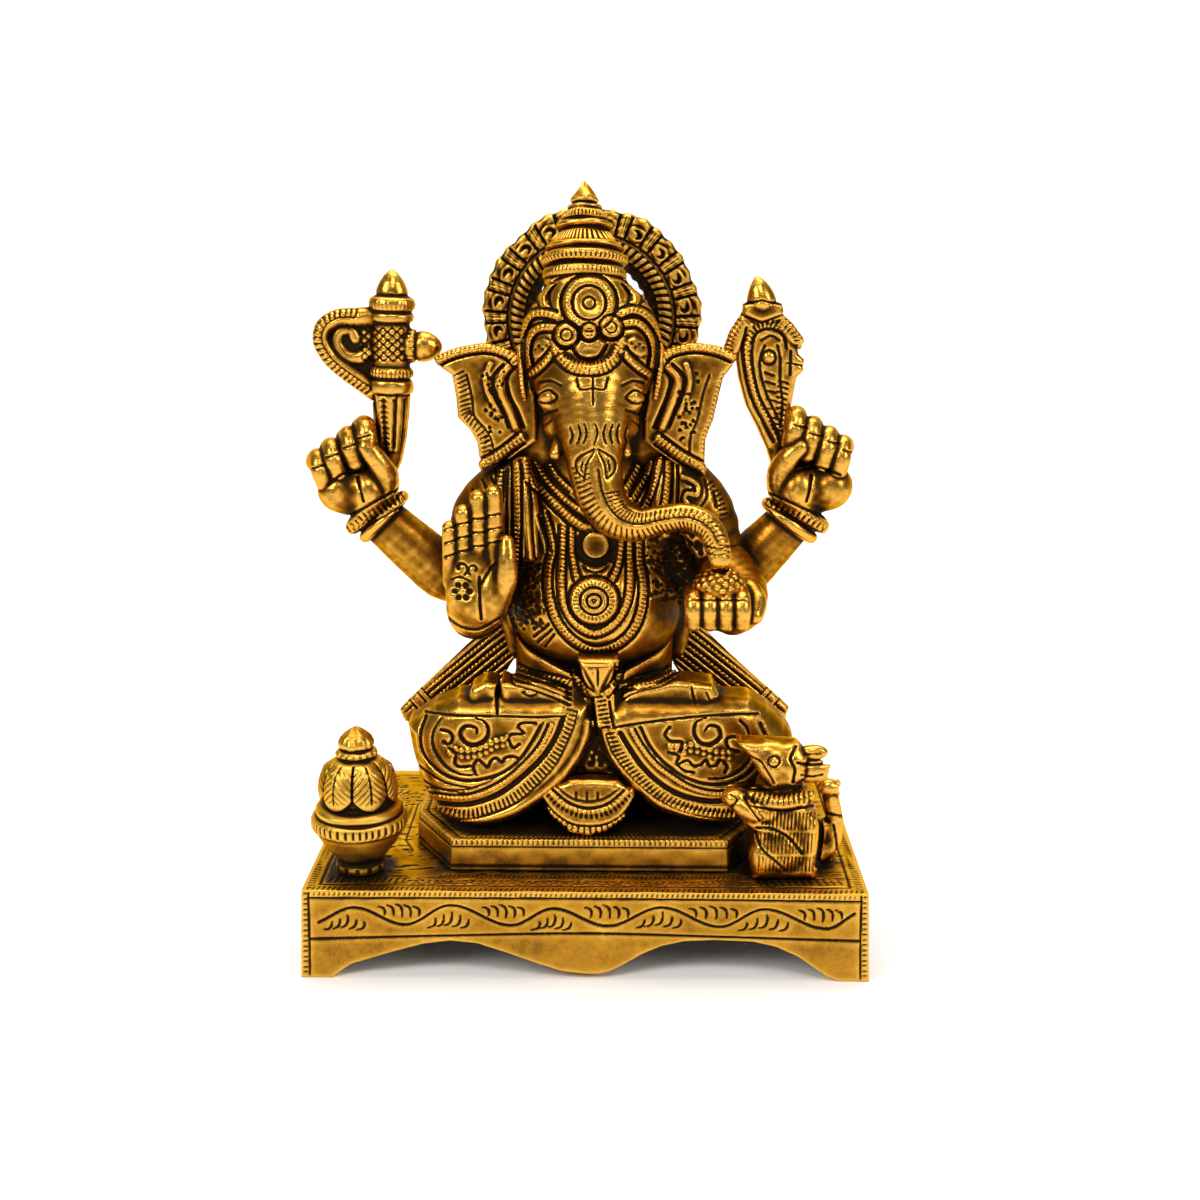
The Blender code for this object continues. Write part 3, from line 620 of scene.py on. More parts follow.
def add_shell(ob, verts, quads):
    """Joins a second closed shell into an object made by mixed_object."""
    other = mixed_object(ob.name + "_shell", verts, quads, None)
    me = ob.data
    nv, nl, npoly = len(me.vertices), len(me.loops), len(me.polygons)
    co = np.zeros(nv * 3, F32)
    me.vertices.foreach_get("co", co)
    vi = np.zeros(nl, np.int32)
    me.loops.foreach_get("vertex_index", vi)
    ls = np.zeros(npoly, np.int32)
    me.polygons.foreach_get("loop_start", ls)
    om = other.data
    co2 = np.zeros(len(om.vertices) * 3, F32)
    om.vertices.foreach_get("co", co2)
    vi2 = np.zeros(len(om.loops), np.int32)
    om.loops.foreach_get("vertex_index", vi2)
    ls2 = np.zeros(len(om.polygons), np.int32)
    om.polygons.foreach_get("loop_start", ls2)
    new = bpy.data.meshes.new(ob.name)
    new.vertices.add(nv + len(om.vertices))
    new.vertices.foreach_set("co", np.concatenate([co, co2]))
    new.loops.add(nl + len(om.loops))
    new.loops.foreach_set("vertex_index", np.concatenate([vi, vi2 + nv]))
    new.polygons.add(npoly + len(om.polygons))
    new.polygons.foreach_set("loop_start", np.concatenate([ls, ls2 + nl]))
    new.update(calc_edges=True)
    new.polygons.foreach_set("use_smooth", np.ones(len(new.polygons), bool))
    ob.data = new
    bpy.data.meshes.remove(me)
    bpy.data.objects.remove(other)


# ------------------------------------------------------------ legs and seat
def leg_map():
    m = Map(-24, -56, 62, 30, 84)
    left = dict(
        hem=[(-42.5, 39.9), (-36.1, 38.3), (-30.8, 38.3), (-24.0, 40.4), (-18.6, 43.3), (-13.2, 48.4), (-9.1, 53.4), (-6.4, 59.0), (-4.4, 64.0), (-3.7, 67.5)],
        gr=[(-43.2, 42.0), (-34.1, 40.8), (-28.0, 41.8), (-21.9, 44.7), (-15.8, 49.8), (-11.1, 54.8), (-7.7, 60.4), (-5.9, 65.4)],
        bead=[(-42.5, 43.4), (-33.3, 42.7), (-27.3, 44.2), (-21.2, 47.6), (-15.8, 52.6), (-11.7, 57.6), (-9.0, 63.2)],
        arc1=[(-41.7, 65.8), (-43.2, 61.6), (-43.3, 57.4), (-41.7, 53.5), (-37.8, 49.6), (-33.2, 47.9), (-28.5, 47.9), (-22.5, 49.7), (-17.8, 53.3), (-14.4, 58.3), (-11.8, 63.2)],
        arc2=[(-37.8, 65.3), (-40.0, 61.3), (-40.0, 56.7), (-37.1, 51.8), (-33.0, 49.4), (-28.5, 49.3)],
        top=[(-41.7, 66.9), (-34.1, 66.0), (-23.5, 65.8), (-13.0, 65.6), (-5.1, 65.9)],
        edge=[(-46.0, 47.5), (-42.8, 41.7), (-40.2, 38.9), (-34.2, 36.9), (-28.8, 36.0), (-22.7, 37.4), (-17.3, 39.8), (-11.2, 44.0), (-5.6, 49.2), (-1.7, 54.8), (0.5, 60.0), (1.2, 64.0)],
        csp=[(-29.1, 65.2), (-26.9, 64.5), (-25.6, 62.4), (-26.2, 59.6), (-29.0, 57.8), (-31.8, 58.5), (-33.0, 61.0), (-31.5, 63.0), (-28.8, 62.5), (-28.6, 60.8)],
        sc1=[(-37.9, 61.9), (-35.9, 61.3), (-35.0, 59.6), (-36.2, 57.8), (-37.4, 58.6)],
        sc2=[(-13.0, 63.9), (-16.3, 64.0), (-17.7, 62.8), (-16.3, 61.1), (-19.5, 60.7), (-20.2, 59.0), (-19.0, 57.0), (-17.5, 58.0)],
        br=[(-36.0, 57.1), (-33.7, 56.3), (-31.0, 56.1), (-28.3, 56.7), (-26.0, 57.5), (-24.0, 58.9), (-22.0, 59.3), (-20.3, 60.0)],
        cl=[(-29.3, 49.9), (-29.8, 51.8), (-28.4, 53.5), (-27.0, 52.4), (-25.9, 51.5), (-25.2, 53.1), (-23.7, 54.1), (-22.1, 52.9), (-21.4, 54.0), (-19.4, 54.6), (-17.8, 54.0)],
        vl=[(-36.3, 57.1), (-34.4, 55.4), (-34.6, 52.5), (-33.0, 51.5), (-30.5, 51.8)], panel_c=(-27.5, 57.5))
    right = dict(
        hem=[(6.7, 61.2), (8.2, 57.0), (10.8, 52.8), (14.5, 48.6), (18.9, 44.7), (24.3, 41.5), (29.6, 39.7), (35.0, 38.8), (40.5, 38.8), (46, 41)],
        gr=[(9.1, 61.2), (11.5, 57.0), (14.8, 52.1), (18.8, 47.9), (23.5, 44.7), (28.9, 42.8), (34.9, 42.2), (42, 43.4)],
        bead=[(12.1, 62.0), (14.4, 57.8), (18.1, 52.8), (22.8, 49.0), (28.2, 45.8), (34.9, 44.3), (42, 45.4)],
        arc1=[(14.4, 63.0), (16.8, 57.8), (20.8, 52.9), (26.2, 49.0), (32.2, 47.1), (38.1, 47.6), (42.7, 50.0), (46, 54.4), (47.2, 59.5), (45.6, 64.2)],
        arc2=[(32.2, 48.6), (37.8, 49.2), (42, 52.3), (43.8, 56.8), (42.6, 62.0)],
        top=[(7.5, 62.8), (14.7, 64.1), (22.6, 65.2), (32.5, 66.3), (45, 66.9)],
        edge=[(3.8, 63.0), (4.8, 59.8), (6.8, 54.2), (12.3, 47.7), (18.9, 41.6), (26.3, 38.9), (33.0, 37.7), (39.4, 37.6), (45, 39.2), (49.6, 42.3)],
        csp=[(31.8, 65.7), (29.0, 64.4), (28.5, 61.4), (30.1, 58.7), (32.9, 58.3), (35.3, 60.1), (34.8, 62.9), (32.5, 63.5), (31.2, 61.9)],
        sc1=[(22.0, 62.9), (20.8, 61.0), (22.2, 59.2), (25.2, 58.9), (24.9, 56.4), (23.2, 55.5)],
        sc2=[(40.4, 64.9), (42.3, 62.8), (42.5, 60.0), (38.5, 60.4), (37.0, 59.3), (37.9, 57.0), (40.3, 56.3)],
        br=[(22.4, 57.8), (25.4, 57.5), (28.0, 58.2), (30.7, 57.5), (33.3, 56.5), (35.3, 56.1), (38.0, 56.1)],
        cl=[(24.4, 52.6), (26.8, 53.7), (28.4, 52.2), (30.4, 52.6), (31.7, 53.8), (32.7, 52.2), (34.4, 52.4), (35.7, 53.9), (37.3, 52.2), (36.8, 50.3)],
        vl=[(22.0, 56), (24.5, 55), (24.0, 52.8), (26, 50.8), (28.5, 50.4)], panel_c=(31.5, 57.5))
    for s in (left, right):
        m.line(s["gr"], 0.95, 0.95, soft=1.7)
        m.ticks(s["hem"], 1.25, -1.35, 1.2, 0.30, 0.42, 0.18)
        m.line(s["edge"], 1.9, -0.85, soft=1.3)
        q, d = resample(curve(s["hem"], 6), 0.8)
        n = np.stack([-d[:, 1], d[:, 0]], 1)
        m.line(q + n * (-1.55), 0.34, 0.4, sub=0)
        m.beads(s["bead"], 1.15, 0.62, 0.5)
        q, d = resample(curve(s["bead"], 6), 0.8)
        n = np.stack([-d[:, 1], d[:, 0]], 1)
        m.line(q + n * 0.95, 0.42, 0.5, sub=0)
        m.line(q + n * 2.3, 0.36, 0.35, sub=0)
        m.line(s["arc1"], 0.62, 0.75)
        m.line(s["arc2"], 0.55, 0.6, taper=True)
        m.line(s["top"], 0.5, 0.6)
        m.line(s["csp"], 0.78, 0.8, taper=True)
        for k in ("sc1", "sc2", "vl", "cl"):
            m.line(s[k], 0.55, 0.65)
        m.beads(s["br"], 1.7, 0.85, 0.45)
        m.beads([(x, z - 1.7) for x, z in s["br"]], 1.7, 0.7, 0.35)
    # flowing folds under the left knee
    m.line([(-45.5, 53.5), (-42, 50.2), (-37, 47.0), (-30, 45.6)], 0.45, 0.4, taper=True)
    m.line([(-44.8, 49.5), (-41, 46.3), (-36, 44.6), (-31, 44.2)], 0.42, 0.4, taper=True)
    m.line([(47, 47), (43, 46.4), (38, 45.2)], 0.42, 0.4, taper=True)
    # between the lobes: sash with ticks and the shadowed triangle
    m.line([(1.9, 71), (2.4, 66), (3.0, 61)], 0.5, 0.9)
    m.line([(6.2, 70), (6.8, 66), (7.4, 62.6)], 0.45, 0.8)
    m.ticks([(3.8, 71.3), (4.5, 67.5), (5.3, 62.9)], 1.2, -1.3, 1.3, 0.3, 0.5)
    m.line([(-3.8, 49.0), (2, 49.6), (8.2, 48.4)], 0.4, 0.6)
    for i in range(26):
        a, b = math.sin(i * 12.9898) * 43758.5453 % 1.0, math.sin(i * 78.233) * 12543.123 % 1.0
        z = 49.5 + 9.5 * a
        x = 2.6 + (b - 0.5) * (61 - z) * 0.8
        m.dome((x, z), 0.8, 0.6)
    # feet
    m.line([(-22.9, 73.5), (-23.1, 70.5), (-23.2, 66.4)], 0.55, 0.9)
    m.line([(-16.5, 72.5), (-14.2, 73.2), (-12.6, 72.2), (-14.6, 71.4), (-16.5, 72.5)], 0.36, 0.4)
    m.line([(-9, 73.0), (-8.2, 71.4)], 0.3, 0.3)
    m.line([(27.6, 74.0), (28.0, 71.8), (28.6, 69.7)], 0.38, 0.5)
    m.line([(31.5, 72.6), (32.5, 70.2)], 0.32, 0.3)
    # waist: folds and belt
    for off in (-1.4, 0.0, 1.5, 3.0):
        m.line([(-19.3, 80.1 - off), (-18.6, 77.6 - off), (-13.3, 75.9 - off), (-8.0, 73.8 - off), (-4.0, 72.0 - off)], 0.45, 0.55)
    for off in (-1.4, 0.0, 1.5, 3.0):
        m.line([(23.6, 79.5 - off), (18.7, 77.0 - off), (13.4, 75.6 - off), (9.4, 73.5 - off)], 0.45, 0.55)
    m.rope([(8.6, 74.2), (13.4, 74.6), (17.4, 75.6), (21.4, 77.9), (23.3, 79.8)], 2.0, 1.2, 0.5, 0.45)
    m.rope([(-18.5, 79.5), (-13.5, 77.0), (-8.5, 76.0), (-4.4, 75.0)], 2.0, 1.2, 0.45, 0.4)
    m.rope([(-2.9, 80.4), (-2.2, 76.6), (-0.6, 73.5), (1.3, 71.9)], 1.9, 1.15, 0.5, 0.5, 0.1)
    m.rope([(8.9, 80.5), (8.4, 76.6), (6.7, 73.5), (5.1, 71.9)], 1.9, 1.15, 0.5, 0.5, 0.1)
    m.area([(-0.9, 80.0), (7.2, 80.0), (3.2, 72.4)], -0.9, 0.8)
    m.line([(3.2, 78.6), (3.2, 74.6)], 0.35, 0.5)
    m.line([(0.6, 79.2), (5.9, 79.2)], 0.35, 0.4)
    return m


def build_legs():
    v = Vol((-56, -31, 32), (62, 33, 82))
    v.ell((1.5, 9, 48.5), (40, 18.5, 17.5))
    v.ell((-28, -2, 50), (16, 15, 14.5), 2.5)
    v.ell((32, -2, 50), (17, 15, 14.5), 2.5)
    lobe_l = [(-24.0, 70.4), (-34.0, 69.6), (-40.5, 66.4), (-48.2, 60.2), (-47.0, 53.9), (-45.2, 47.5), (-42.8, 41.7), (-40.2, 38.6),
              (-34.2, 36.2), (-28.8, 35.3), (-22.7, 36.4), (-17.3, 38.6), (-11.2, 42.8), (-5.2, 48.2), (-1.1, 53.9), (1.2, 59.8),
              (1.9, 64.0), (0.9, 68.6), (-6, 70.4)]
    lobe_r = [(10, 70.4), (5.5, 68.6), (3.4, 64.0), (4.0, 60.5), (6.2, 53.5), (11.9, 46.6), (18.9, 40.2), (26.3, 37.6), (33.0, 36.5),
              (39.4, 36.6), (44.9, 38.4), (50.6, 43.3), (54.4, 50.5), (55.6, 57.0), (53.0, 61.1), (48.4, 65.7), (43.2, 69.2), (33, 70.4)]

    def bend_l(x, z):
        return (z - 40) * 0.13 + np.maximum(-(x + 18), 0) ** 2 * 0.0085 + np.maximum(x + 8, 0) * 0.10

    def bend_r(x, z):
        return (z - 40) * 0.13 + np.maximum(x - 24, 0) ** 2 * 0.0085 + np.maximum(13 - x, 0) * 0.10

    lobe_l = [at(x, z, -24, -22)[::2] for x, z in lobe_l]
    lobe_r = [at(x, z, -24, -22)[::2] for x, z in lobe_r]
    v.plate(lobe_l, -26.5, -9, 5.5, 2.4, bend=bend_l)
    v.plate(lobe_r, -26.5, -9, 5.5, 0.6, bend=bend_r)
    v.tube([(1.5, 6, 60), (1.8, 3.6, 80)], [22, 21.6], 4)
    # belt line dips to the front, with the belly rising out of it
    v.put(lambda x, y, z: np.broadcast_to(72.6 + np.abs(x - 2.4) * 0.37 - z, np.broadcast(x, y, z).shape).astype(F32), (-40, -40, 70), (50, 40, 90), op="cut")
    v.tube([(-14, -2, 60.5), (-27, -7, 57.5), (-36, -10, 54.5)], [10.0, 8.8, 8.0], 3)
    v.tube([(17, -2, 60.5), (31, -7, 57.5), (40, -10, 54.5)], [10.0, 8.8, 8.0], 3)
    # lap ledge and feet laid on it
    v.plate([(-22.6, 73.6), (-12, 73.4), (-5.4, 71.4), (-4.4, 68.2), (-6.4, 66.4), (-14, 65.6), (-22.4, 66.2)], -20.4, -8, 2.0, 0.25)
    v.plate([(-30.4, 71.6), (-26.8, 73.6), (-23.4, 73.0), (-23.0, 66.4), (-29.0, 65.8), (-31.4, 68.2)], -19.6, -8, 2.2, 0.25)
    v.plate([(8.4, 66.4), (9.6, 70.6), (14, 72.8), (24, 74.2), (33.4, 73.2), (35.2, 69.8), (32.4, 67.2), (20, 66.0)], -20.2, -8, 2.0, 0.25)
    # sash falling between the lobes, and the triangle behind it
    v.plate([(-1, 74), (7.5, 74), (9, 60), (12, 47), (-9, 47), (0, 60)], -19, -6, 1.0, 0.6)
    v.plate([(-2.2, 80.6), (8.6, 80.6), (7.4, 75), (5.6, 70), (1.4, 70), (-1.2, 75)], -21.2, -10, 1.2, 0.6)
    v.plate([(1.2, 73), (7.4, 73), (8.2, 62), (2.4, 62)], -21.5, -10, 0.8, 0.3)
    v.grain(0.05, 9, 2)
    v.relief(leg_map(), -34, -2)
    # flat where the casting sits on its plinth
    v.put(lambda x, y, z: np.broadcast_to(PL1 + 0.3 - z, np.broadcast(x, y, z).shape).astype(F32), (-60, -40, 30), (66, 40, 36), op="clip")
    carve(v, "dhoti_legs_cast", ["legs_dhoti"])


def build_sash():
    v = Vol((-14, -31, 32), (15, -19, 54))
    fan = [(-12.4, 44.3), (-11.6, 46.2), (-8.0, 46.6), (-4.2, 48.2), (2.2, 48.6), (8.4, 48.0), (10.6, 46.4), (12.9, 46.0), (13.2, 43.4),
           (10.2, 37.6), (5.2, 34.5), (0.6, 33.5), (-4.2, 34.3), (-9.6, 38.6)]
    v.plate(fan, -28.4, -22.8, 1.6, 0, bend=lambda x, z: (z - 34) * 0.20 + (x - 0.6) ** 2 * 0.008)
    m = Map(-27, -16, 17, 30, 52)
    f1 = [(-11.9, 44.4), (-8.2, 39.9), (-4.0, 36.9), (0.6, 36.1), (5.8, 36.9), (10.2, 39.9), (12.9, 43.8)]
    m.ticks(f1, 1.5, -1.9, 0.2, 0.34, 0.5)
    m.line(f1, 0.4, 0.5)
    f2 = [(-9.4, 45.2), (-5.4, 41.4), (0.6, 39.4), (6.6, 41.0), (11.1, 45.2)]
    m.line([(x, z + 0.6) for x, z in f2], 0.85, -0.55)
    m.ticks(f2, 1.3, -0.9, 0.9, 0.32, 0.45)
    m.line([(-8.6, 46.6), (-4.4, 42.9), (0.6, 41.3), (5.8, 42.6), (10.0, 46.4)], 0.42, 0.55)
    m.line([(-7.5, 47.3), (-3.9, 44.3), (0.6, 43.2), (5.0, 44.1), (9.0, 47.0)], 0.32, 0.35)
    for x in (-2.5, 0.4, 3.2):
        m.line([(x, 45.8), (x, 43.6)], 0.3, 0.35, sub=0)
    v.grain(0.04, 6, 5)
    v.relief(m, -34, -18)
    carve(v, "front_sash_cast", ["front_sash"])


def build_scarves():
    for side, out, node in ((-1, [(-11, 92), (-23.5, 92), (-33.5, 82.2), (-42.5, 73.6), (-48.6, 67.6), (-48.2, 65.6), (-46.2, 63.0), (-44.5, 62.6), (-38, 66.5), (-24, 73)], "scarf_end_left"),
                            (1, [(15, 92), (28, 92), (37.6, 82.6), (46.8, 74.2), (53.0, 68.6), (52.4, 65.6), (50.0, 63.2), (48.4, 63.6), (42, 67.5), (27, 74)], "scarf_end_right")):
        o = [at(x, z, -24, 7)[::2] for x, z in out]
        v = Vol((min(p[0] for p in o) - 2, 2, min(p[1] for p in o) - 2), (max(p[0] for p in o) + 2, 14, max(p[1] for p in o) + 2))
        v.plate(o, 6, 10.6, 1.2)
        m = Map(-24, -58, 62, 58, 95)
        a = np.array([(-15.5, 90.6), (-45.3, 65.3)]) if side < 0 else np.array([(19.5, 90.8), (49.8, 66.0)])
        t = (a[1] - a[0]) / np.linalg.norm(a[1] - a[0])
        n = np.array([-t[1], t[0]]) * side
        ln = np.linalg.norm(a[1] - a[0])
        for off in (-5.4, -3.9, -2.4, -0.8, 0.8, 2.4, 3.9, 5.4):
            m.line([a[0] + n * off, a[0] + t * (ln - 7.5) + n * off], 0.42, 0.6, sub=0)
        for off in (-3.4, -0.1, 3.3):
            m.ticks([a[0] + n * off, a[0] + t * (ln - 8) + n * off], 1.25, -0.6, 0.6, 0.26, 0.35, 0.2, sub=0)
        for s in (7.2, 5.6, 2.6):
            m.line([a[0] + t * (ln - s) - n * 6, a[0] + t * (ln - s) + n * 6], 0.42, 0.65, sub=0)
        m.line([a[0] + t * (ln - 5.6) + n * 0, a[0] + t * (ln + 3)], 0.4, 0.55, sub=0)
        m.line([a[0] + t * (ln - 2.6) + n * 2.4, a[0] + t * (ln + 3) + n * 2.4], 0.35, 0.45, sub=0)
        m.line([a[0] + t * (ln - 2.6) - n * 2.4, a[0] + t * (ln + 3) - n * 2.4], 0.35, 0.45, sub=0)
        v.grain(0.05, 6, 3)
        v.relief(m, 0, 8.4)
        carve(v, node + "_cast", [node])


# ------------------------------------------------------------ torso and arms
def torso_map():
    m = Map(-12, -42, 46, 66, 140)
    r1 = [(-15.6, 131.5), (-14.6, 126.9), (-11.1, 123.2), (-7.8, 119.7), (-3.9, 116.1), (1.5, 112.6)]
    r2 = [(-12.9, 131.6), (-10.6, 126.5), (-7.4, 122.9), (-3.7, 119.9), (0.5, 117.0)]
    r3 = [(-10.3, 131.8), (-7.8, 127.4), (-4.0, 123.8)]
    m.rope(r1, 2.5, 1.15, 0.75, 0.5, 0.25, 0.7)
    m.rope(r2, 1.9, 1.1, 0.55, 0.5, 0.25, 0.6)
    m.rope(r3, 1.7, 1.1, 0.5, 0.45, 0.25, 0.55)
    m.rope([(-17.9, 130.5), (-18.0, 121.8), (-18.1, 114.2), (-18.4, 103.5)], 2.0, 1.15, 0.65, 0.5, 0.1, 0.75)
    m.line([(-20.3, 129), (-20.6, 118), (-20.8, 106)], 0.5, 0.6)
    for f in ([(-15.9, 126.5), (-15.5, 118.9), (-15.3, 112.3), (-14.7, 105.5)], [(-13.6, 122.3), (-12.4, 116.1), (-11.4, 111.3), (-10.3, 107.0)]):
        m.line(f, 0.85, -0.6)
        m.line([(x + 1.2, z) for x, z in f], 0.5, 0.65)
    u1 = [(-11.3, 117.5), (-9.7, 112.3), (-9.0, 107.5), (-10.2, 101.7), (-9.9, 94.9), (-7.6, 88.0), (-3.4, 82.9), (2.3, 80.2), (8.1, 81.9),
          (12.3, 85.9), (14.6, 92.1), (15.0, 98.9), (13.8, 105.2), (13.7, 113)]
    u2 = [(-6.0, 114.2), (-6.3, 106.1), (-6.7, 98.8), (-5.9, 92.6), (-2.9, 87.6), (2.0, 84.9), (6.7, 87.0), (10.0, 91.6), (11.4, 96.9),
          (11.5, 103.7), (11.3, 112)]
    m.rope(u1, 2.2, 1.15, 0.7, 0.5, 0.1, 0.75)
    m.rope(u2, 2.0, 1.1, 0.6, 0.5, 0.1, 0.7)
    m.rope([(-3.9, 113.3), (-3.8, 107.5), (-2.9, 101.7), (-2.4, 99.6)], 1.8, 1.1, 0.55, 0.5, 0.1, 0.6)
    m.rope([(9.4, 112), (8.6, 104.7), (7.0, 100.3), (6.4, 99.2)], 1.8, 1.1, 0.55, 0.5, 0.1, 0.6)
    # hanging pendant and round medallion
    m.disc((2.4, 108.6), 5.6, 0.9, 1.0)
    m.disc((2.4, 109.0), 3.6, -1.3, 0.5)
    m.ring((2.4, 109.0), 3.3, 0.5, 0.8)
    m.spiral((2.4, 109.0), 0.5, 2.2, 20, 470, 0.42, 0.85)
    m.line([(-2.6, 106.4), (-1.2, 103.6), (2.4, 101.6), (6.0, 103.6), (7.2, 106.4)], 0.5, 0.7)
    m.line([(-1.6, 104.2), (-0.5, 101.3), (2.4, 99.2), (4.9, 101.3), (6.3, 103.9)], 0.75, -0.6)
    m.disc((2.0, 93.9), 6.4, -0.9, 0.5)
    m.ring((2.0, 93.9), 6.9, 0.55, 0.9)
    m.ring((2.0, 93.9), 3.75, 0.42, 0.75)
    m.ring((2.0, 93.9), 6.2, 0.28, 0.4)
    for k in range(30):
        a = 2 * math.pi * k / 30
        m.seg((2.0 + 4.3 * math.cos(a), 93.9 + 4.3 * math.sin(a)), (2.0 + 5.6 * math.cos(a), 93.9 + 5.6 * math.sin(a)), 0.24, 0.24, 0.4)
    m.ring((2.0, 93.9), 1.95, 0.45, 0.75)
    m.dome((2.0, 93.9), 1.2, -0.7)
    m.ring((2.0, 93.9), 0.5, 0.3, 0.5)
    m.line([(-5.0, 92.5), (-3.2, 88.9), (2.0, 86.6), (7.0, 88.7), (9.0, 92.0)], 0.36, 0.5)
    m.line([(-4.0, 89.6), (-1.4, 86.9), (2.0, 85.9)], 0.3, 0.3)
    for p, q in (((-10.0, 87.6), (-13.9, 83.9)), ((-9.2, 86.1), (-12.9, 82.4)), ((-8.6, 84.6), (-11.0, 81.2))):
        m.seg(p, q, 0.5, 0.35, 0.6)
    # strands on the other side of the chest
    m.rope([(13.9, 134.0), (13.2, 129.4), (10.7, 124.5)], 2.0, 1.15, 0.55, 0.5, 0.3, 0.7)
    m.rope([(16.5, 133.1), (15.4, 127.5), (12.2, 121.5)], 1.8, 1.15, 0.5, 0.5, 0.3, 0.7)
    m.rope([(19.0, 132.2), (17.8, 126.6), (15.4, 119.3)], 1.8, 1.15, 0.5, 0.5, 0.3, 0.7)
    m.rope([(21.2, 131.8), (21.1, 126.1), (20.3, 118.9)], 1.8, 1.15, 0.5, 0.5, 0.1, 0.7)
    m.line([(23.6, 130.5), (23.7, 122.8), (23.4, 118.7)], 0.5, 0.7)
    m.rope([(-22.2, 128.5), (-22.6, 121)], 1.8, 1.2, 0.4, 0.4, 0.1, 0.5)
    # shoulder scroll
    m.line([(24.9, 127.2), (27.2, 126.6), (29.1, 124.7), (28.6, 122.5), (26.4, 122.9), (25.3, 121.7), (26.2, 120.3)], 0.85, -0.65)
    m.line([(26.0, 125.6), (27.6, 124.9), (27.4, 123.7), (25.4, 123.6), (24.6, 121.4)], 0.42, 0.6)
    m.line([(30.6, 126.5), (31.4, 122.4), (29.8, 119.4)], 0.42, 0.5)
    m.line([(33.0, 123.6), (33.8, 119.4)], 0.5, 0.55)
    m.ticks([(31.8, 125.5), (34.6, 121.0), (35.8, 117.5)], 1.3, -0.9, 0.9, 0.3, 0.4)
    # pattern over the other shoulder
    m.line([(-24.5, 127.0), (-22.9, 122.5), (-23.2, 116.5)], 0.42, 0.5)
    m.line([(-26.9, 126.2), (-25.4, 122.5), (-25.9, 118.0)], 0.42, 0.5)
    m.line([(-29.6, 123.8), (-28.6, 120.0)], 0.4, 0.45)
    # coarse unpolished ground beside the arms
    for i in range(420):
        a = math.sin(i * 12.9898 + 1.3) * 43758.5453 % 1.0
        b = math.sin(i * 78.233 + 2.1) * 12543.123 % 1.0
        c = math.sin(i * 39.425 + 0.7) * 24634.633 % 1.0
        if i % 2:
            x, z = 15.8 + 16 * a, 93.5 + 21 * b
        else:
            x, z = -22.5 + 11.5 * a, 86 + 18 * b
        m.dome((x, z), 0.4 + 0.45 * c, 0.42)
    return m


def build_torso():
    v = Vol((-42, -22, 67), (48, 27, 136))
    v.ell((2.4, 1.6, 88.5), (22.8, 18.4, 19.5))
    v.ell((1.6, 6, 112), (23.5, 14.0, 19), 5)
    v.ell((1.6, 12, 104), (25.5, 11, 27), 4)
    v.tube([(-18, 6, 122), (-27.6, 5, 113), (-30, 3, 100)], [9.5, 9.4, 7.0], 3)
    v.tube([(22, 6, 123), (30.5, 5, 114), (36.0, 3, 101)], [9.5, 9.4, 6.4], 3)
    v.tube([(1.5, 6, 120), (1.5, 5, 135)], [13, 10], 4)
    v.tube([(-20.5, 8, 104), (-20.0, 8.5, 90), (-18.5, 9, 76)], [6.2, 6.0, 5.0], 3)
    v.tube([(25.0, 8, 110), (25.5, 8.5, 92), (23.5, 9, 76)], [5.6, 5.6, 4.8], 3)
    # shawl standing a little proud over the breast
    v.tube([(-17, -5, 128), (-15.6, -9, 117), (-15, -9.5, 106)], [3.2, 2.8, 2.2], 2.5)
    v.tube([(19, -5, 128), (19.5, -8, 119), (20.5, -8, 112)], [3.0, 2.6, 2.0], 2.5)
    v.grain(0.06, 11, 1)
    v.relief(torso_map(), -30, 3.0)
    v.put(lambda x, y, z: np.broadcast_to(69.5 - z, np.broadcast(x, y, z).shape).astype(F32), (-50, -30, 60), (50, 40, 72), op="clip")
    carve(v, "torso_cast", ["torso"])


def wrist_rings(v, c, d):
    """Two stout bracelets round a forearm that runs along d in (x, z)."""
    n = math.hypot(*d)
    dx, dz = d[0] / n, d[1] / n
    R = [[dz, 0, -dx], [0, 1, 0], [dx, 0, dz]]
    v.lathe([(6.5, -4.2), (8.4, -4.0), (9.2, -3.3), (9.3, -2.0), (8.7, -1.2), (7.6, -0.9), (7.6, -0.5), (9.0, -0.1), (9.9, 0.8), (10.0, 2.3), (9.3, 3.4), (8.0, 3.9), (6.5, 4.1)],
            c, R, 0.25, "add",
            lambda a, h, r: -0.34 * np.clip((np.cos(a * 34) - 0.2) * 1.6, 0, 1) * ((h > 0.4) & (h < 2.9)), 0.84)


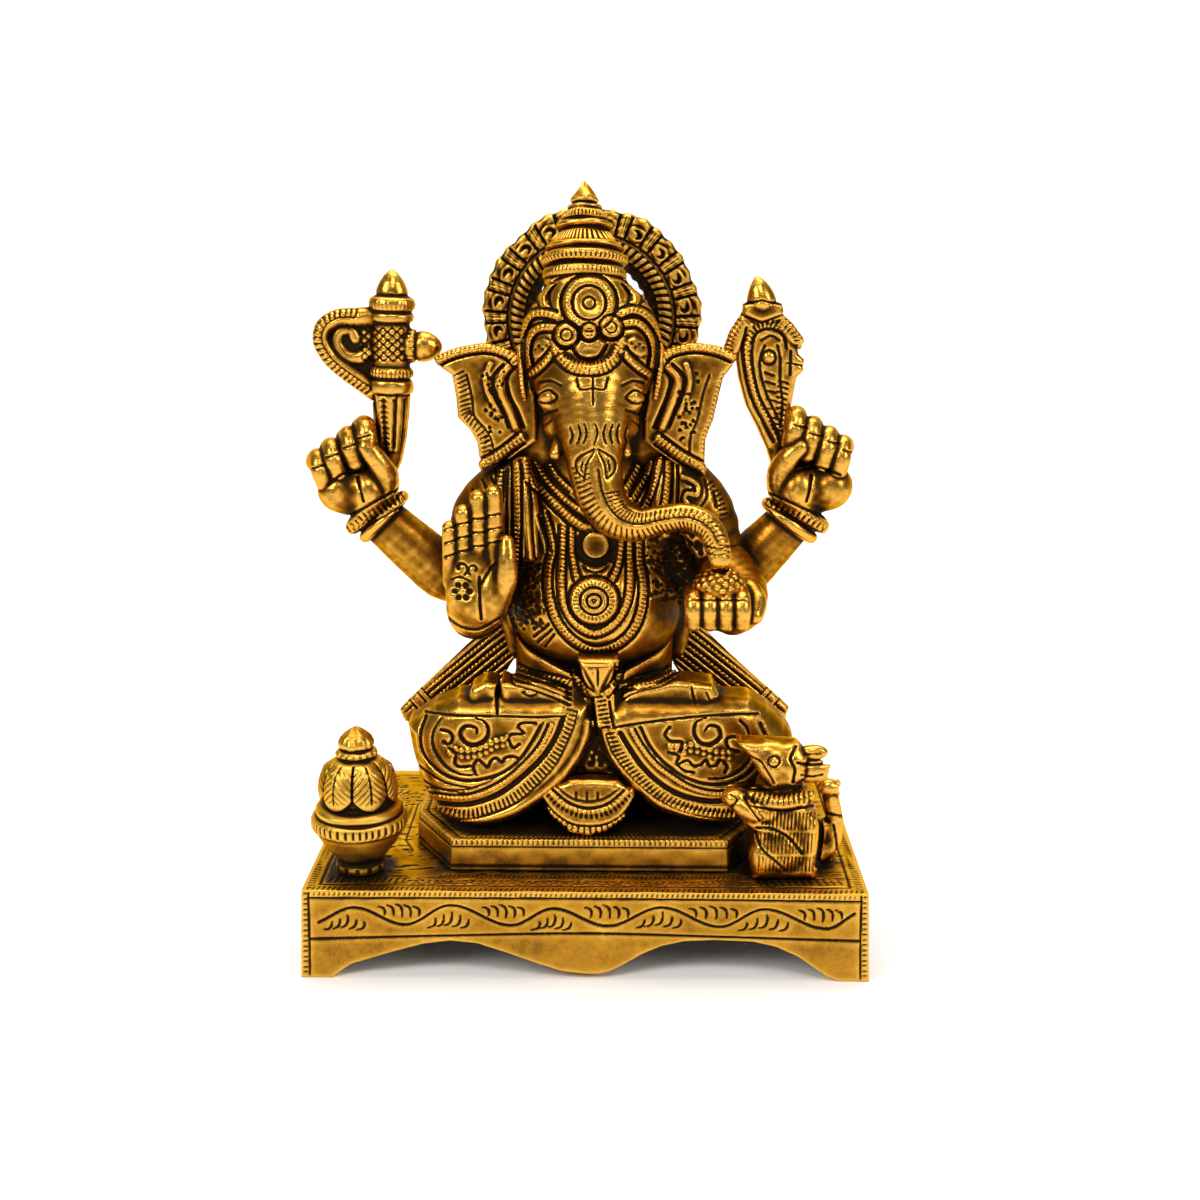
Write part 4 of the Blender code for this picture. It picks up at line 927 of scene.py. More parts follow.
def build_rear_left():
    v = Vol((-80, -2, 84), (-16, 22, 145))
    v.tube([(-20, 14, 112), (-30, 12.5, 99), (-38.5, 11.5, 95.0), (-47.0, 11, 101.6), (-56.8, 10, 111.0)], [7.0, 7.8, 7.6, 7.3, 6.4], 0)
    # bracelet rings
    wrist_rings(v, (-58.2, 10, 113.6), (-0.72, 0.69))
    # palm
    v.ell((-63.0, 8.8, 120.4), (9.6, 6.4, 8.2), 1.5)
    v.ell((-67.6, 5.6, 120.0), (5.8, 5.6, 5.8), 2.2)
    v.ell((-59.4, 4.8, 120.0), (5.4, 5.6, 6.2), 2.2)
    # four curled fingers, seen from the palm
    for (bx, bz), (kx, kz), (tx, tz), r in (((-71.5, 121.5), (-74.6, 127.6), (-72.2, 129.6), 2.3),
                                             ((-68.4, 124.0), (-70.6, 130.8), (-68.4, 132.4), 2.45),
                                             ((-64.4, 126.0), (-66.0, 133.6), (-63.6, 135.6), 2.5),
                                             ((-60.6, 127.0), (-61.8, 136.4), (-59.4, 138.4), 2.5)):
        v.tube([(bx, 9.5, bz), (kx, 10.5, kz)], [r + 0.5, r + 0.3], 0.35)
        v.tube([(kx, 9.6, kz - 0.4), (tx - 0.5, 5.2, tz - 0.6), (tx + 0.4, 2.6, tz - 3.6), (tx + 1.3, 3.0, tz - 7.2)], [r + 0.3, r + 0.3, r + 0.3, r], 0.18)
    v.tube([(-55.6, 6.0, 119.5), (-54.4, 3.6, 124.5), (-56.6, 1.8, 129.4), (-59.0, 1.6, 132.6)], [4.0, 3.4, 2.9, 2.4], 0.35)
    m = Map(6, -80, -30, 84, 145)
    m.ticks([(-65.9, 109.6), (-49.4, 119.6)], 1.5, -1.5, 0.6, 0.34, 0.4, 0, sub=0)
    m.line([(-67.4, 111.6), (-49.8, 121.4)], 0.45, 0.5, sub=0)
    m.line([(-64.0, 108.0), (-49.0, 116.6)], 0.45, 0.5, sub=0)
    m.line([(-62.6, 123.6), (-62.0, 120.6), (-61.2, 116.9)], 0.5, 0.7)
    m.line([(-70.6, 121.4), (-66.6, 124.4), (-61.5, 125.4)], 0.42, 0.5)
    for x, z in ((-73.0, 126.6), (-69.2, 129.6), (-64.4, 132.2), (-60.2, 134.8)):
        m.line([(x - 1.6, z - 0.6), (x + 1.7, z + 0.4)], 0.36, 0.45, sub=0)
    v.grain(0.06, 8, 4)
    v.relief(m, -4, 9)
    v.put(lambda x, y, z: np.broadcast_to(x + 22.5, np.broadcast(x, y, z).shape).astype(F32), (-24, -5, 80), (-10, 25, 150), op="clip")
    carve(v, "rear_arm_left_cast", ["rear_arm_left"])


def build_rear_right():
    v = Vol((16, -2, 84), (80, 22, 146))
    v.tube([(22, 14, 112), (33, 12.5, 99), (41.0, 11.5, 95.6), (48.0, 11, 102.5), (55.0, 10, 110.4)], [7.0, 7.8, 7.6, 7.3, 6.4], 0)
    wrist_rings(v, (56.8, 10, 113.2), (0.60, 0.80))
    v.ell((61.0, 8.8, 121.2), (10.6, 6.4, 7.6), 1.5)
    v.ell((65.6, 5.6, 121.4), (5.8, 5.6, 5.8), 2.2)
    v.ell((56.4, 4.8, 120.8), (5.6, 5.6, 6.4), 2.2)
    for (bx, bz), (kx, kz), (tx, tz), r in (((67.2, 124.5), (69.6, 132.0), (68.0, 133.6), 2.3),
                                             ((63.6, 126.0), (65.6, 134.2), (64.0, 136.0), 2.45),
                                             ((59.8, 127.0), (61.2, 136.4), (59.6, 138.6), 2.5),
                                             ((55.8, 127.0), (56.4, 139.0), (55.2, 141.2), 2.6)):
        v.tube([(bx, 9.5, bz), (kx, 10.5, kz)], [r + 0.5, r + 0.3], 0.35)
        v.tube([(kx, 9.6, kz - 0.4), (tx + 0.4, 5.2, tz - 0.6), (tx - 0.2, 2.6, tz - 3.8), (tx - 0.9, 3.0, tz - 7.6)], [r + 0.3, r + 0.3, r + 0.3, r], 0.18)
    v.tube([(52.6, 6.0, 120.5), (51.6, 3.6, 125.6), (53.6, 1.8, 130.0), (56.4, 1.4, 132.8)], [4.0, 3.4, 2.9, 2.4], 0.35)
    m = Map(6, 30, 80, 84, 146)
    m.ticks([(49.0, 118.0), (64.0, 109.6)], 1.5, -1.5, 0.6, 0.34, 0.4, 0, sub=0)
    m.line([(49.2, 119.6), (66.2, 112.0)], 0.45, 0.5, sub=0)
    m.line([(48.4, 116.2), (63.0, 108.8)], 0.45, 0.5, sub=0)
    m.line([(60.4, 124.6), (60.2, 121), (59.3, 117.4)], 0.5, 0.7)
    m.line([(56.5, 125.8), (62.0, 126.6), (68.2, 124.6)], 0.42, 0.5)
    for x, z in ((70.4, 131.0), (66.2, 133.4), (61.4, 135.6), (57.2, 137.8)):
        m.line([(x - 1.7, z + 0.3), (x + 1.6, z - 0.5)], 0.36, 0.45, sub=0)
    v.grain(0.06, 8, 6)
    v.relief(m, -4, 9)
    v.put(lambda x, y, z: np.broadcast_to(25.5 - x, np.broadcast(x, y, z).shape).astype(F32), (10, -5, 80), (27, 25, 150), op="clip")
    carve(v, "rear_arm_right_cast", ["rear_arm_right"])


def build_blessing():
    v = Vol((-42, -26, 78), (-12, 12, 128))
    v.tube([(-30.3, 1.5, 95), (-30.4, -5, 90.0), (-29.4, -12, 90.0), (-28.4, -15, 94)], [8.0, 7.6, 6.6, 6.6], 0)
    v.ell((-28.9, -15.6, 100.5), (7.6, 4.4, 10.5), 2.5)
    v.ell((-33.0, -16.4, 97), (3.6, 3.6, 7.5), 1.5)
    v.ell((-24.6, -17.6, 96.4), (3.8, 4.2, 7.6), 1.5)
    for x0, x1, zt, r in ((-35.0, -35.2, 116.6, 2.2), (-31.6, -31.6, 120.6, 2.35), (-27.8, -27.6, 124.4, 2.45), (-24.0, -23.6, 125.6, 2.45)):
        v.tube([(x0, -15.6, 100), (x1, -16.4, zt - 2.2)], [r + 0.25, r - 0.15], 0.5, squash=(1, 1.15, 1))
    v.tube([(-23.4, -17, 94.5), (-20.6, -19.4, 101.5), (-20.2, -19.6, 107.0), (-20.4, -18.6, 111.4)], [3.4, 2.9, 2.4, 1.9], 1.0)
    m = Map(-18, -44, -12, 76, 128)
    for z, a in ((117.0, 0.3), (113.4, 0.3), (109.8, 0.0)):
        m.line([(-36.4, z - 2.6), (-33.2, z - 1.6)], 0.34, 0.45, sub=0)
        m.line([(-32.8, z - 1.2), (-29.5, z - 0.6)], 0.34, 0.45, sub=0)
        m.line([(-29.2, z + 0.2), (-25.5, z + 0.4)], 0.34, 0.45, sub=0)
        m.line([(-25.3, z + 1.0), (-21.8, z + 1.6)], 0.34, 0.4, sub=0)
    m.line([(-27.6, 101.8), (-27.7, 97), (-27.4, 90.6)], 0.5, 0.7)
    m.line([(-27.4, 99.8), (-25.0, 103.6), (-23.2, 105.6)], 0.45, 0.55)
    # a small flower and curls punched in the palm
    for k in range(6):
        a = 2 * math.pi * k / 6
        m.dome((-32.2 + 1.9 * math.cos(a), 98.0 + 1.9 * math.sin(a)), 0.95, 0.55)
    m.dome((-32.2, 98.0), 0.8, -0.4)
    m.spiral((-32.4, 104.2), 0.6, 2.0, 200, -60, 0.42, 0.55)
    m.spiral((-29.0, 103.8), 0.5, 1.7, -30, 230, 0.42, 0.5)
    m.line([(-34.8, 101.2), (-32.4, 101.8), (-30.0, 100.6)], 0.36, 0.4)
    for z in (90.0, 87.6):
        m.line([(-36.6, z + 1.4), (-32.6, z - 1.6), (-28.0, z - 2.2), (-22.2, z + 1.0)], 0.45, 0.5)
    v.grain(0.05, 7, 7)
    v.relief(m, -28, -10)
    carve(v, "blessing_arm_cast", ["blessing_arm"])


def build_offering():
    v = Vol((22, -32, 80), (52, 12, 112))
    v.tube([(37.2, 0.8, 99), (41.2, -7, 95.4), (40.6, -14, 93.0), (38.4, -18, 92.4)], [8.0, 7.0, 6.2, 5.8], 0)
    v.ell((34.4, -20.0, 94.0), (9.0, 5.4, 5.6), 1.5)
    for x, r in ((27.6, 2.35), (31.7, 2.4), (35.8, 2.45), (39.9, 2.4)):
        v.tube([(x, -20.0, 98.4), (x, -24.4, 97.8), (x + 0.1, -26.0, 95.2), (x + 0.2, -25.0, 91.6)], [r, r, r * 1.02, r * 0.9], 0.12)
    v.tube([(42.6, -16, 98), (44.2, -20, 96), (43.4, -23.6, 93.2)], [3.0, 2.7, 2.3], 0.4)
    m = Map(-26, 20, 52, 80, 112)
    for z in (98.0,):
        m.line([(27, z), (41, z)], 0.3, 0.3, sub=0)
    v.grain(0.05, 7, 9)
    v.relief(m, -30, -20)
    carve(v, "offering_arm_cast", ["offering_arm"])
    v = Vol((26, -31, 94), (43, -11, 109))
    v.ell((34.4, -20.6, 100.4), (6.6, 6.0, 4.6))
    for i in range(60):
        a = 2 * math.pi * (i * 0.381966)
        h = (i + 0.5) / 60
        v.ell((34.4 + 6.4 * math.cos(a) * math.sqrt(1 - h * h), -20.6 + 5.8 * math.sin(a) * math.sqrt(1 - h * h), 100.2 + 4.6 * h), (0.75, 0.75, 0.7), 0.3)
    v.tube([(34.4, -21.4, 108.0), (34.3, -21.2, 105.9)], [3.0, 2.7], 0.2, op="cut")
    carve(v, "hand_sweet_cast", ["hand_sweet"])


# ------------------------------------------------------------ head, ears, crown, halo
TRUNK = [(1.2, -7, 149, 11.2), (1.6, -10.5, 141, 9.4), (2.0, -13.2, 134.5, 7.6), (2.6, -15.0, 128.6, 6.9), (4.0, -16.4, 122.8, 6.3),
         (7.6, -17.6, 117.8, 5.4), (13.0, -18.6, 116.0, 4.4), (19.4, -19.2, 117.4, 3.7), (25.6, -19.6, 118.2, 3.55), (30.6, -20.2, 116.2, 3.55),
         (33.4, -20.8, 112.0, 3.4), (34.4, -21.3, 107.8, 3.0)]


def head_map():
    m = Map(-10, -22, 42, 100, 184)
    # trident mark and brow strokes
    m.line([(1.7, 152.4), (1.8, 145.6)], 0.42, 0.6, sub=0)
    m.line([(-2.4, 152.3), (-1.9, 149.9), (-0.4, 149.4), (1.7, 149.8), (3.8, 149.4), (5.0, 149.9), (5.6, 152.6)], 0.4, 0.6)
    for px in (-2.2, -0.6, 2.2, 5.2, 6.9, 8.6):
        s = 0.7 if px < 3 else -0.7
        m.line([(px, 140.9), (px + s, 138.2), (px - 0.1, 135.4)], 0.42, 0.6, taper=True)
    for px in (-4.2, 10.6):
        s = 0.7 if px < 3 else -0.7
        m.line([(px, 140.0), (px + s, 137.7), (px, 135.6)], 0.36, 0.45, taper=True)
    # eyes
    for cx, sgn in ((-10.0, 1), (12.8, -1)):
        m.line([(cx + 2.6 * sgn, 147.6), (cx + 0.6 * sgn, 149.3), (cx - 1.6 * sgn, 148.5), (cx - 2.8 * sgn, 147.2)], 0.4, 0.55)
        m.line([(cx + 2.6 * sgn, 147.2), (cx + 0.5 * sgn, 145.9), (cx - 1.9 * sgn, 146.2)], 0.36, 0.5)
        m.dome((cx, 147.6), 1.0, -0.35)
        m.line([(cx + 3.6 * sgn, 150.4), (cx + 1.0 * sgn, 151.6), (cx - 2.0 * sgn, 151.2)], 0.4, 0.45)
        m.line([(cx + 2.6 * sgn, 144.2), (cx - 1.0 * sgn, 143.0)], 0.36, 0.35)
        m.line([(cx + 1.0 * sgn, 141.5), (cx - 1.0 * sgn, 139.9)], 0.3, 0.3)
    # medallion on the brow
    c = (0.8, 171.3)
    m.disc(c, 6.5, -1.3, 0.7)
    m.ring(c, 7.1, 0.5, 0.8)
    m.ring(c, 4.3, 0.45, 0.9)
    for k in range(40):
        a = 2 * math.pi * k / 40
        m.seg((c[0] + 4.9 * math.cos(a), c[1] + 4.9 * math.sin(a)), (c[0] + 6.3 * math.cos(a), c[1] + 6.3 * math.sin(a)), 0.22, 0.22, 0.38)
    m.dome(c, 3.7, -0.5)
    m.ring(c, 1.5, 0.3, 0.6)
    m.dome(c, 1.05, -0.7)
    for c, r in (((-5.0, 163.3), 2.9), ((0.8, 164.0), 1.9), ((6.4, 165.2), 2.7)):
        m.disc(c, r, -1.4, 0.7)
        m.ring(c, r + 0.45, 0.5, 0.9)
        m.ring(c, r * 0.52, 0.34, 0.6)
        m.dome(c, r * 0.32, -0.5)
    m.area([(-3.6, 161.0), (-1.2, 162.3), (0.8, 161.6), (3.0, 162.4), (5.0, 161.2), (3.2, 158.3), (0.8, 157.4), (-1.8, 158.2)], -1.3, 0.8)
    m.line([(-3.9, 160.6), (-1.9, 157.9), (0.8, 156.9), (3.4, 157.9), (5.3, 160.6)], 0.42, 0.9)
    m.dome((0.8, 160.0), 0.8, -0.4)
    cr = [(-8.2, 160.2), (-6.4, 157.4), (-3.6, 155.6), (0.8, 154.7), (5.0, 155.8), (7.6, 158.0), (9.2, 161.2)]
    m.line(cr, 1.9, -1.25, soft=1.4)
    m.ticks(cr, 1.15, -1.7, 1.5, 0.26, 0.5, 0.25)
    m.line([(-8.8, 158.2), (-6.4, 155.3), (-3.4, 153.4), (0.9, 152.9), (5.4, 153.6), (8.4, 156.2), (10.0, 159.2)], 0.4, 0.6)
    # ropes of the headband, leaving from the medallion
    ropes = ([(-7.6, 168.0), (-10.9, 168.7), (-13.7, 168.2), (-15.6, 165.8), (-16.6, 162.0), (-17.0, 157.8), (-16.7, 152.0), (-16.0, 147)],
             [(-7.4, 165.0), (-11.0, 165.2), (-13.6, 163.9), (-14.9, 161.2), (-15.2, 158.2), (-14.6, 155.3)],
             [(-7.9, 159.7), (-9.8, 157.3), (-11.9, 155.1), (-14.2, 153.4)],
             [(8.2, 168.2), (11.4, 169.5), (14.8, 168.6), (17.1, 166.2), (18.6, 162.9), (19.2, 159.5), (18.8, 153.3), (17.8, 147.5)],
             [(9.0, 166.0), (12.7, 166.4), (15.4, 164.6), (16.9, 162.0), (17.4, 159.1), (17.0, 155.5)],
             [(9.0, 159.7), (11.0, 157.3), (13.4, 155.2), (16.0, 153.4)])
    for r_ in ropes:
        m.rope(r_, 2.1, 1.1, 0.95, 0.45, 0.25, 0.75)
    m.area([(-13.3, 161.4), (-10.8, 162.5), (-8.0, 161.2), (-9.3, 159.3), (-11.5, 157.4), (-13.8, 157.3)], -0.5, 0.6)
    m.area([(9.3, 161.7), (12.3, 163.0), (15.0, 161.4), (16.0, 158.6), (14.0, 157.9), (11.4, 159.1)], -0.5, 0.6)
    for x0, z0 in ((-11.0, 160.0), (12.6, 160.6)):
        for k in range(5):
            m.dome((x0 - 2 + k, z0 + (k % 2) * 0.9 - 0.4), 0.42, 0.4)
    # leaves round the medallion and the cap behind it
    for s, cx in ((-1, -7.6), (1, 9.2)):
        m.line([(cx - 0.2 * s, 176.0), (cx + 1.6 * s, 173.6), (cx + 1.2 * s, 170.4), (cx - 0.4 * s, 168.6)], 0.45, 0.6)
        m.line([(cx + 1.6 * s, 175.4), (cx + 3.4 * s, 173.0), (cx + 3.0 * s, 170.2)], 0.9, -0.7)
        m.line([(cx + 2.6 * s, 175.4), (cx + 4.8 * s, 173.0), (cx + 4.2 * s, 170.0)], 0.42, 0.6)
        m.dome((cx + 4.6 * s, 173.6), 1.7, -0.7, 1.4, 0.6 * s)
        m.line([(cx + 6.6 * s, 172.4), (cx + 4.6 * s, 171.2)], 0.4, 0.5)
    m.line([(-9.6, 175.4), (-5, 178.2), (0.8, 179.2), (6.6, 178.4), (11.0, 175.8)], 0.45, 0.5)
    # trunk: ridge line, two leaves, and ticks down both edges
    tr = np.array([(p[0], p[2], p[3]) for p in TRUNK[2:]])
    tr = np.array([(at(x, z, y, -10)[0], at(x, z, y, -10)[2], r) for (x, z, r), y in zip(tr, [p[1] - 2 for p in TRUNK[2:]])])
    q, d = resample(curve(tr, 6), 1.25)
    n = np.stack([-d[:, 1], d[:, 0]], 1)
    n /= np.linalg.norm(n, axis=1, keepdims=True)
    rr = q[:, 2:3]
    ridge = q[:, :2] + n * rr * 0.12
    m.line(ridge[4:-4], 0.36, 0.4, sub=0)
    for i in range(3, len(q) - 1):
        a0, a1 = q[i, :2] + n[i] * rr[i] * 0.2, q[i, :2] + n[i] * rr[i] * 0.78
        b0, b1 = q[i, :2] - n[i] * rr[i] * 0.25, q[i, :2] - n[i] * rr[i] * 0.80
        t = d[i, :2] * 0.35
        if i > 9:
            m.seg(a0 - t, a1 + t, 0.25, 0.25, 0.36)
        m.seg(b0 - t, b1 + t, 0.25, 0.25, 0.36)
    for s in (-1, 1):
        cx = 2.4 + 3.3 * s
        m.line([(2.6 + 0.5 * s, 134.0), (cx + 1.3 * s, 131.6), (cx + 1.6 * s, 128.4), (cx - 0.4 * s, 126.4)], 0.4, 0.5)
        m.line([(2.6 + 0.6 * s, 133.2), (cx - 0.9 * s, 130.0), (cx - 0.4 * s, 126.4)], 0.34, 0.45)
        m.line([(cx - 0.2 * s, 131.4), (cx + 0.4 * s, 129.0), (cx - 0.1 * s, 127.6)], 0.4, 0.45, taper=True)
    for z in (106.8, 108.6):
        m.line([(31.2, z), (34.6, z - 0.8), (37.6, z)], 0.3, 0.35)
    return m


def build_head():
    v = Vol((-22, -27, 100), (42, 18, 182))
    v.ell((1.0, 1.5, 162), (17.6, 14.5, 15.5))
    v.ell((1.2, -0.5, 154), (16.4, 13.2, 12), 3)
    v.ell((1.2, -3.5, 148), (13.4, 12.2, 12.5), 3)
    v.tube([p[:3] for p in TRUNK], [p[3] for p in TRUNK], 2.0, sub=5)
    v.tube([(1.2, 5, 140), (1.2, 5, 129)], [11, 10.5], 3)
    v.tube([(-9.0, 7.0, 147), (-12.0, 7.5, 132)], [6.5, 8.0], 3)
    v.tube([(11.4, 7.0, 147), (15.0, 7.5, 132)], [6.5, 8.0], 3)
    for s, x in ((-1, -9.2), (1, 11.6)):
        v.ell((x, -9.5, 147.5), (3.4, 3.2, 3.6), 2.0)            # brow and eye swell
        v.ell((x - 1.9 * s, -6.8, 140.0), (3.8, 4.4, 4.4), 2.5)  # cheek
    v.tube([(-5.8, -9.5, 137.0), (-7.8, -12.5, 133.2)], [2.5, 1.6], 0.6)
    v.tube([(8.2, -9.5, 137.6), (10.2, -12.8, 133.6)], [2.4, 1.5], 0.6)
    # side locks under the headband
    v.tube([(-15.4, -1, 158), (-16.0, 0, 150), (-14.8, 2, 143)], [2.2, 2.4, 2.2], 1.0)
    v.tube([(17.6, -1, 158), (18.2, 0, 150), (17.0, 2, 143)], [2.2, 2.4, 2.2], 1.0)
    v.lathe([(10.6, 170), (11.0, 173), (10.6, 176.4), (8, 178.2)], (-0.4, 1.0, 0), None, 2.0)
    v.tube([(34.4, -21.4, 107.2), (34.4, -21.6, 104.4)], [1.7, 1.5], 0.4, op="cut")
    v.grain(0.05, 9, 11)
    v.relief(head_map(), -30, 1.5)
    carve(v, "head_trunk_cast", ["head_trunk"])


def build_ears():
    left = [(-12.5, 158.0), (-19.5, 159.0), (-25.5, 160.9), (-33.5, 159.4), (-38.6, 157.4), (-38.0, 155.2), (-34.6, 153.2), (-33.6, 148),
            (-33.2, 142), (-30.0, 138.8), (-28.3, 135.6), (-27.8, 131), (-27.4, 127.6), (-19.5, 131.6), (-12.5, 136)]
    right = [(14.5, 158.0), (20.5, 159.0), (26.5, 161.0), (34, 160.0), (38.2, 158.0), (37.6, 155.8), (35.2, 152.5), (34.1, 147.5),
             (32.8, 141.5), (30.9, 136.5), (30.8, 131), (31.0, 127.0), (22.5, 130.5), (14.5, 136)]
    for s, out, node in ((-1, left, "ear_left"), (1, right, "ear_right")):
        cx = -26.0 if s < 0 else 27.0
        o = [at(x, z, -8, 0)[::2] for x, z in out]
        v = Vol((min(p[0] for p in o) - 2, -6, 124), (max(p[0] for p in o) + 2, 8, 164))
        v.plate(o, -2.2, 2.6, 1.1, bend=lambda x, z: 0.006 * (x - cx) ** 2)
        m = Map(-8, -42, 42, 124, 164)
        rim = [(-38.0, 156.9), (-33, 158.9), (-26, 160.0), (-20.4, 158.6), (-17.2, 155.6)] if s < 0 else [(37.6, 157.7), (33.0, 159.5), (27, 160.2), (21.2, 158.8), (18.4, 155.8)]
        m.rope(rim, 2.6, 1.2, 0.9, 0.45, 0.2, 0.9)
        edge = [(-34.0, 153), (-32.7, 147), (-32.2, 142.3), (-29.2, 138.6), (-27.7, 135), (-27.2, 129.5)] if s < 0 else \
            [(34.8, 153.0), (33.2, 148), (32.0, 142), (30.2, 137), (30.0, 131.5), (30.2, 128)]
        m.ticks(edge, 1.15, 0.0, 2.6, 0.26, 0.42, 0.3) if s > 0 else m.ticks(edge, 1.15, 0.0, 2.6, 0.26, 0.42, -0.3)
        ins = [(p[0] - s * 3.2, p[1]) for p in edge]
        m.line(ins, 0.34, 0.4)
        band = [(-27.2, 129.6), (-22.3, 132.4), (-17.0, 136.4)] if s < 0 else [(30.2, 129.0), (24.5, 132.0), (18.6, 136.2)]
        m.rope(band, 2.6, 1.2, 0.8, 0.45, 0.15, 0.8)
        inner = [(-19.4, 155.5), (-22.2, 152.2), (-21.6, 147.5), (-19.6, 143.5), (-18.2, 139.5)] if s < 0 else [(20.2, 155.6), (23.4, 152.2), (22.6, 147.5), (21.0, 143.5), (19.4, 139.5)]
        m.line(inner, 1.3, -1.0)
        m.line([(x - s * -1.9, z) for x, z in inner], 0.55, 0.8)
        m.line([(x - s * 1.9, z) for x, z in inner], 0.5, 0.7)
        m.line([(-24.6, 155.6), (-26.0, 152.0), (-25.0, 147.6), (-22.8, 143.0)] if s < 0 else [(25.6, 155.6), (26.6, 152.0), (25.8, 147.6), (23.8, 143.0)], 0.9, -0.55)
        for i in range(34):
            a = math.sin(i * 12.9898 + s) * 43758.5453 % 1.0
            b = math.sin(i * 78.233 + 2 * s) * 12543.123 % 1.0
            z = 135.5 + 18.5 * a
            w = 3.8 + (z - 135) * 0.14
            x = (26.0 if s > 0 else -24.2) + (b - 0.5) * w
            m.dome((x, z), 0.52, 0.6)
        v.grain(0.04, 6, 8 + s)
        v.relief(m, -12, 0.4)
        v.ell((1.2, -1, 150), (15.2, 12, 22), 0.3, op="cut")
        carve(v, node + "_cast", [node])


def tilted(base, tilt):
    """Points of a piece turned about x by tilt, leaning back."""
    c, s = math.cos(tilt), math.sin(tilt)

    def fn(P):
        x, y, z = P[..., 0], P[..., 1], P[..., 2]
        return np.stack([base[0] + x, base[1] + y * c + z * s, base[2] - y * s + z * c], -1)
    return fn


def smooth_profile(prof, step=0.3):
    q, _ = resample(np.asarray(prof, float), step)
    return q


def turned_piece(name, prof, place, disp, nodes, step=0.3, nu=288, extra=None, flat=1.0):
    """A turned casting with chased detail: disp(angle, height, radius) in mm."""
    q = smooth_profile(prof, step)
    r, h = q[:, 0], q[:, 1]
    a = np.linspace(0, 2 * math.pi, nu, endpoint=False)
    A, R_ = np.meshgrid(a, r, indexing="ij")
    _, Hh = np.meshgrid(a, h, indexing="ij")
    P = np.stack([R_ * np.cos(A), R_ * np.sin(A) * flat, Hh], -1)
    g = disp(A, Hh, R_)
    soft = np.zeros_like(g)
    # concave turned grooves collect patina: profile curvature
    dr, dh = np.gradient(r), np.gradient(h)
    ang = np.unwrap(np.arctan2(dh, dr))
    curv = np.gradient(ang)
    k = np.ones(5) / 5
    curv = np.convolve(np.pad(curv, 2, mode="edge"), k, mode="valid")
    soft += np.clip(curv[None, :] * 0.5, -0.20, 0.09)
    P = place(P)
    return skin(name, P, g, nodes, True, False, (2 * math.pi * float(np.mean(r)) / nu, step), soft if extra is None else soft + extra(A, Hh, R_))


def band(h, lo, hi, edge=0.25):
    return np.clip((h - lo) / edge + 0.5, 0, 1) * np.clip((hi - h) / edge + 0.5, 0, 1)


def teeth(a, n, sharp=2.0):
    """n grooves round a turn: 1 in a groove, 0 between."""
    c = 0.5 + 0.5 * np.cos(a * n)
    return np.clip((c - 0.45) * sharp, 0, 1)


def build_crown():
    prof = [(9.6, -5.0), (9.8, -0.6), (9.9, 0.2), (10.6, 0.7), (11.0, 1.6), (10.8, 2.9), (10.0, 3.5), (9.3, 3.8), (9.4, 4.2), (10.7, 4.7), (11.4, 5.6), (11.3, 6.8),
            (10.4, 7.5), (9.2, 7.9), (8.9, 8.2), (9.4, 8.6), (10.2, 9.1), (10.1, 9.7), (9.0, 10.6), (7.9, 12.2), (7.0, 13.4), (6.2, 13.9), (6.0, 14.2), (6.5, 14.6),
            (7.4, 15.1), (7.4, 15.9), (6.5, 16.4), (5.6, 16.8), (5.4, 17.1), (6.0, 17.5), (6.2, 18.3), (5.7, 19.2), (4.8, 19.8), (4.2, 20.1), (4.5, 20.5),
            (4.5, 21.0), (3.6, 21.4), (3.0, 21.7), (3.3, 22.1), (3.7, 22.7), (3.4, 23.5), (2.8, 24.5), (1.9, 25.8), (1.0, 27.0), (0.3, 27.9), (0.05, 28.1)]
    prof = [(r, h * 0.93) for r, h in prof]

    def disp(a, h, r):
        h = h / 0.93
        g = -0.5 * teeth(a, 54) * band(h, 4.9, 6.2)
        g -= 0.5 * teeth(a + 0.1 * np.sin(a * 3), 46) * band(h, 10.4, 13.4)
        g -= 0.5 * teeth(a, 38) * band(h, 17.6, 19.2)
        g -= 0.22 * teeth(a, 60) * band(h, 1.0, 2.6)
        g += 0.10 * np.sin(a * 3 + h) + 0.08 * np.sin(a * 5 - h * 0.7)
        return g

    place = tilted((-0.7, 2.6, 175.6), math.radians(14))
    turned_piece("crown_cast", prof, place, disp, ["crown"], step=0.26, nu=300)


def ring_loop(prof, n):
    """Resamples a closed (r, y) loop to n points."""
    p = np.asarray(prof + prof[:1], float)
    s = np.concatenate([[0], np.cumsum(np.linalg.norm(np.diff(p, axis=0), axis=1))])
    t = np.linspace(0, s[-1], n, endpoint=False)
    return np.stack([np.interp(t, s, p[:, 0]), np.interp(t, s, p[:, 1])], 1), s[-1] / n


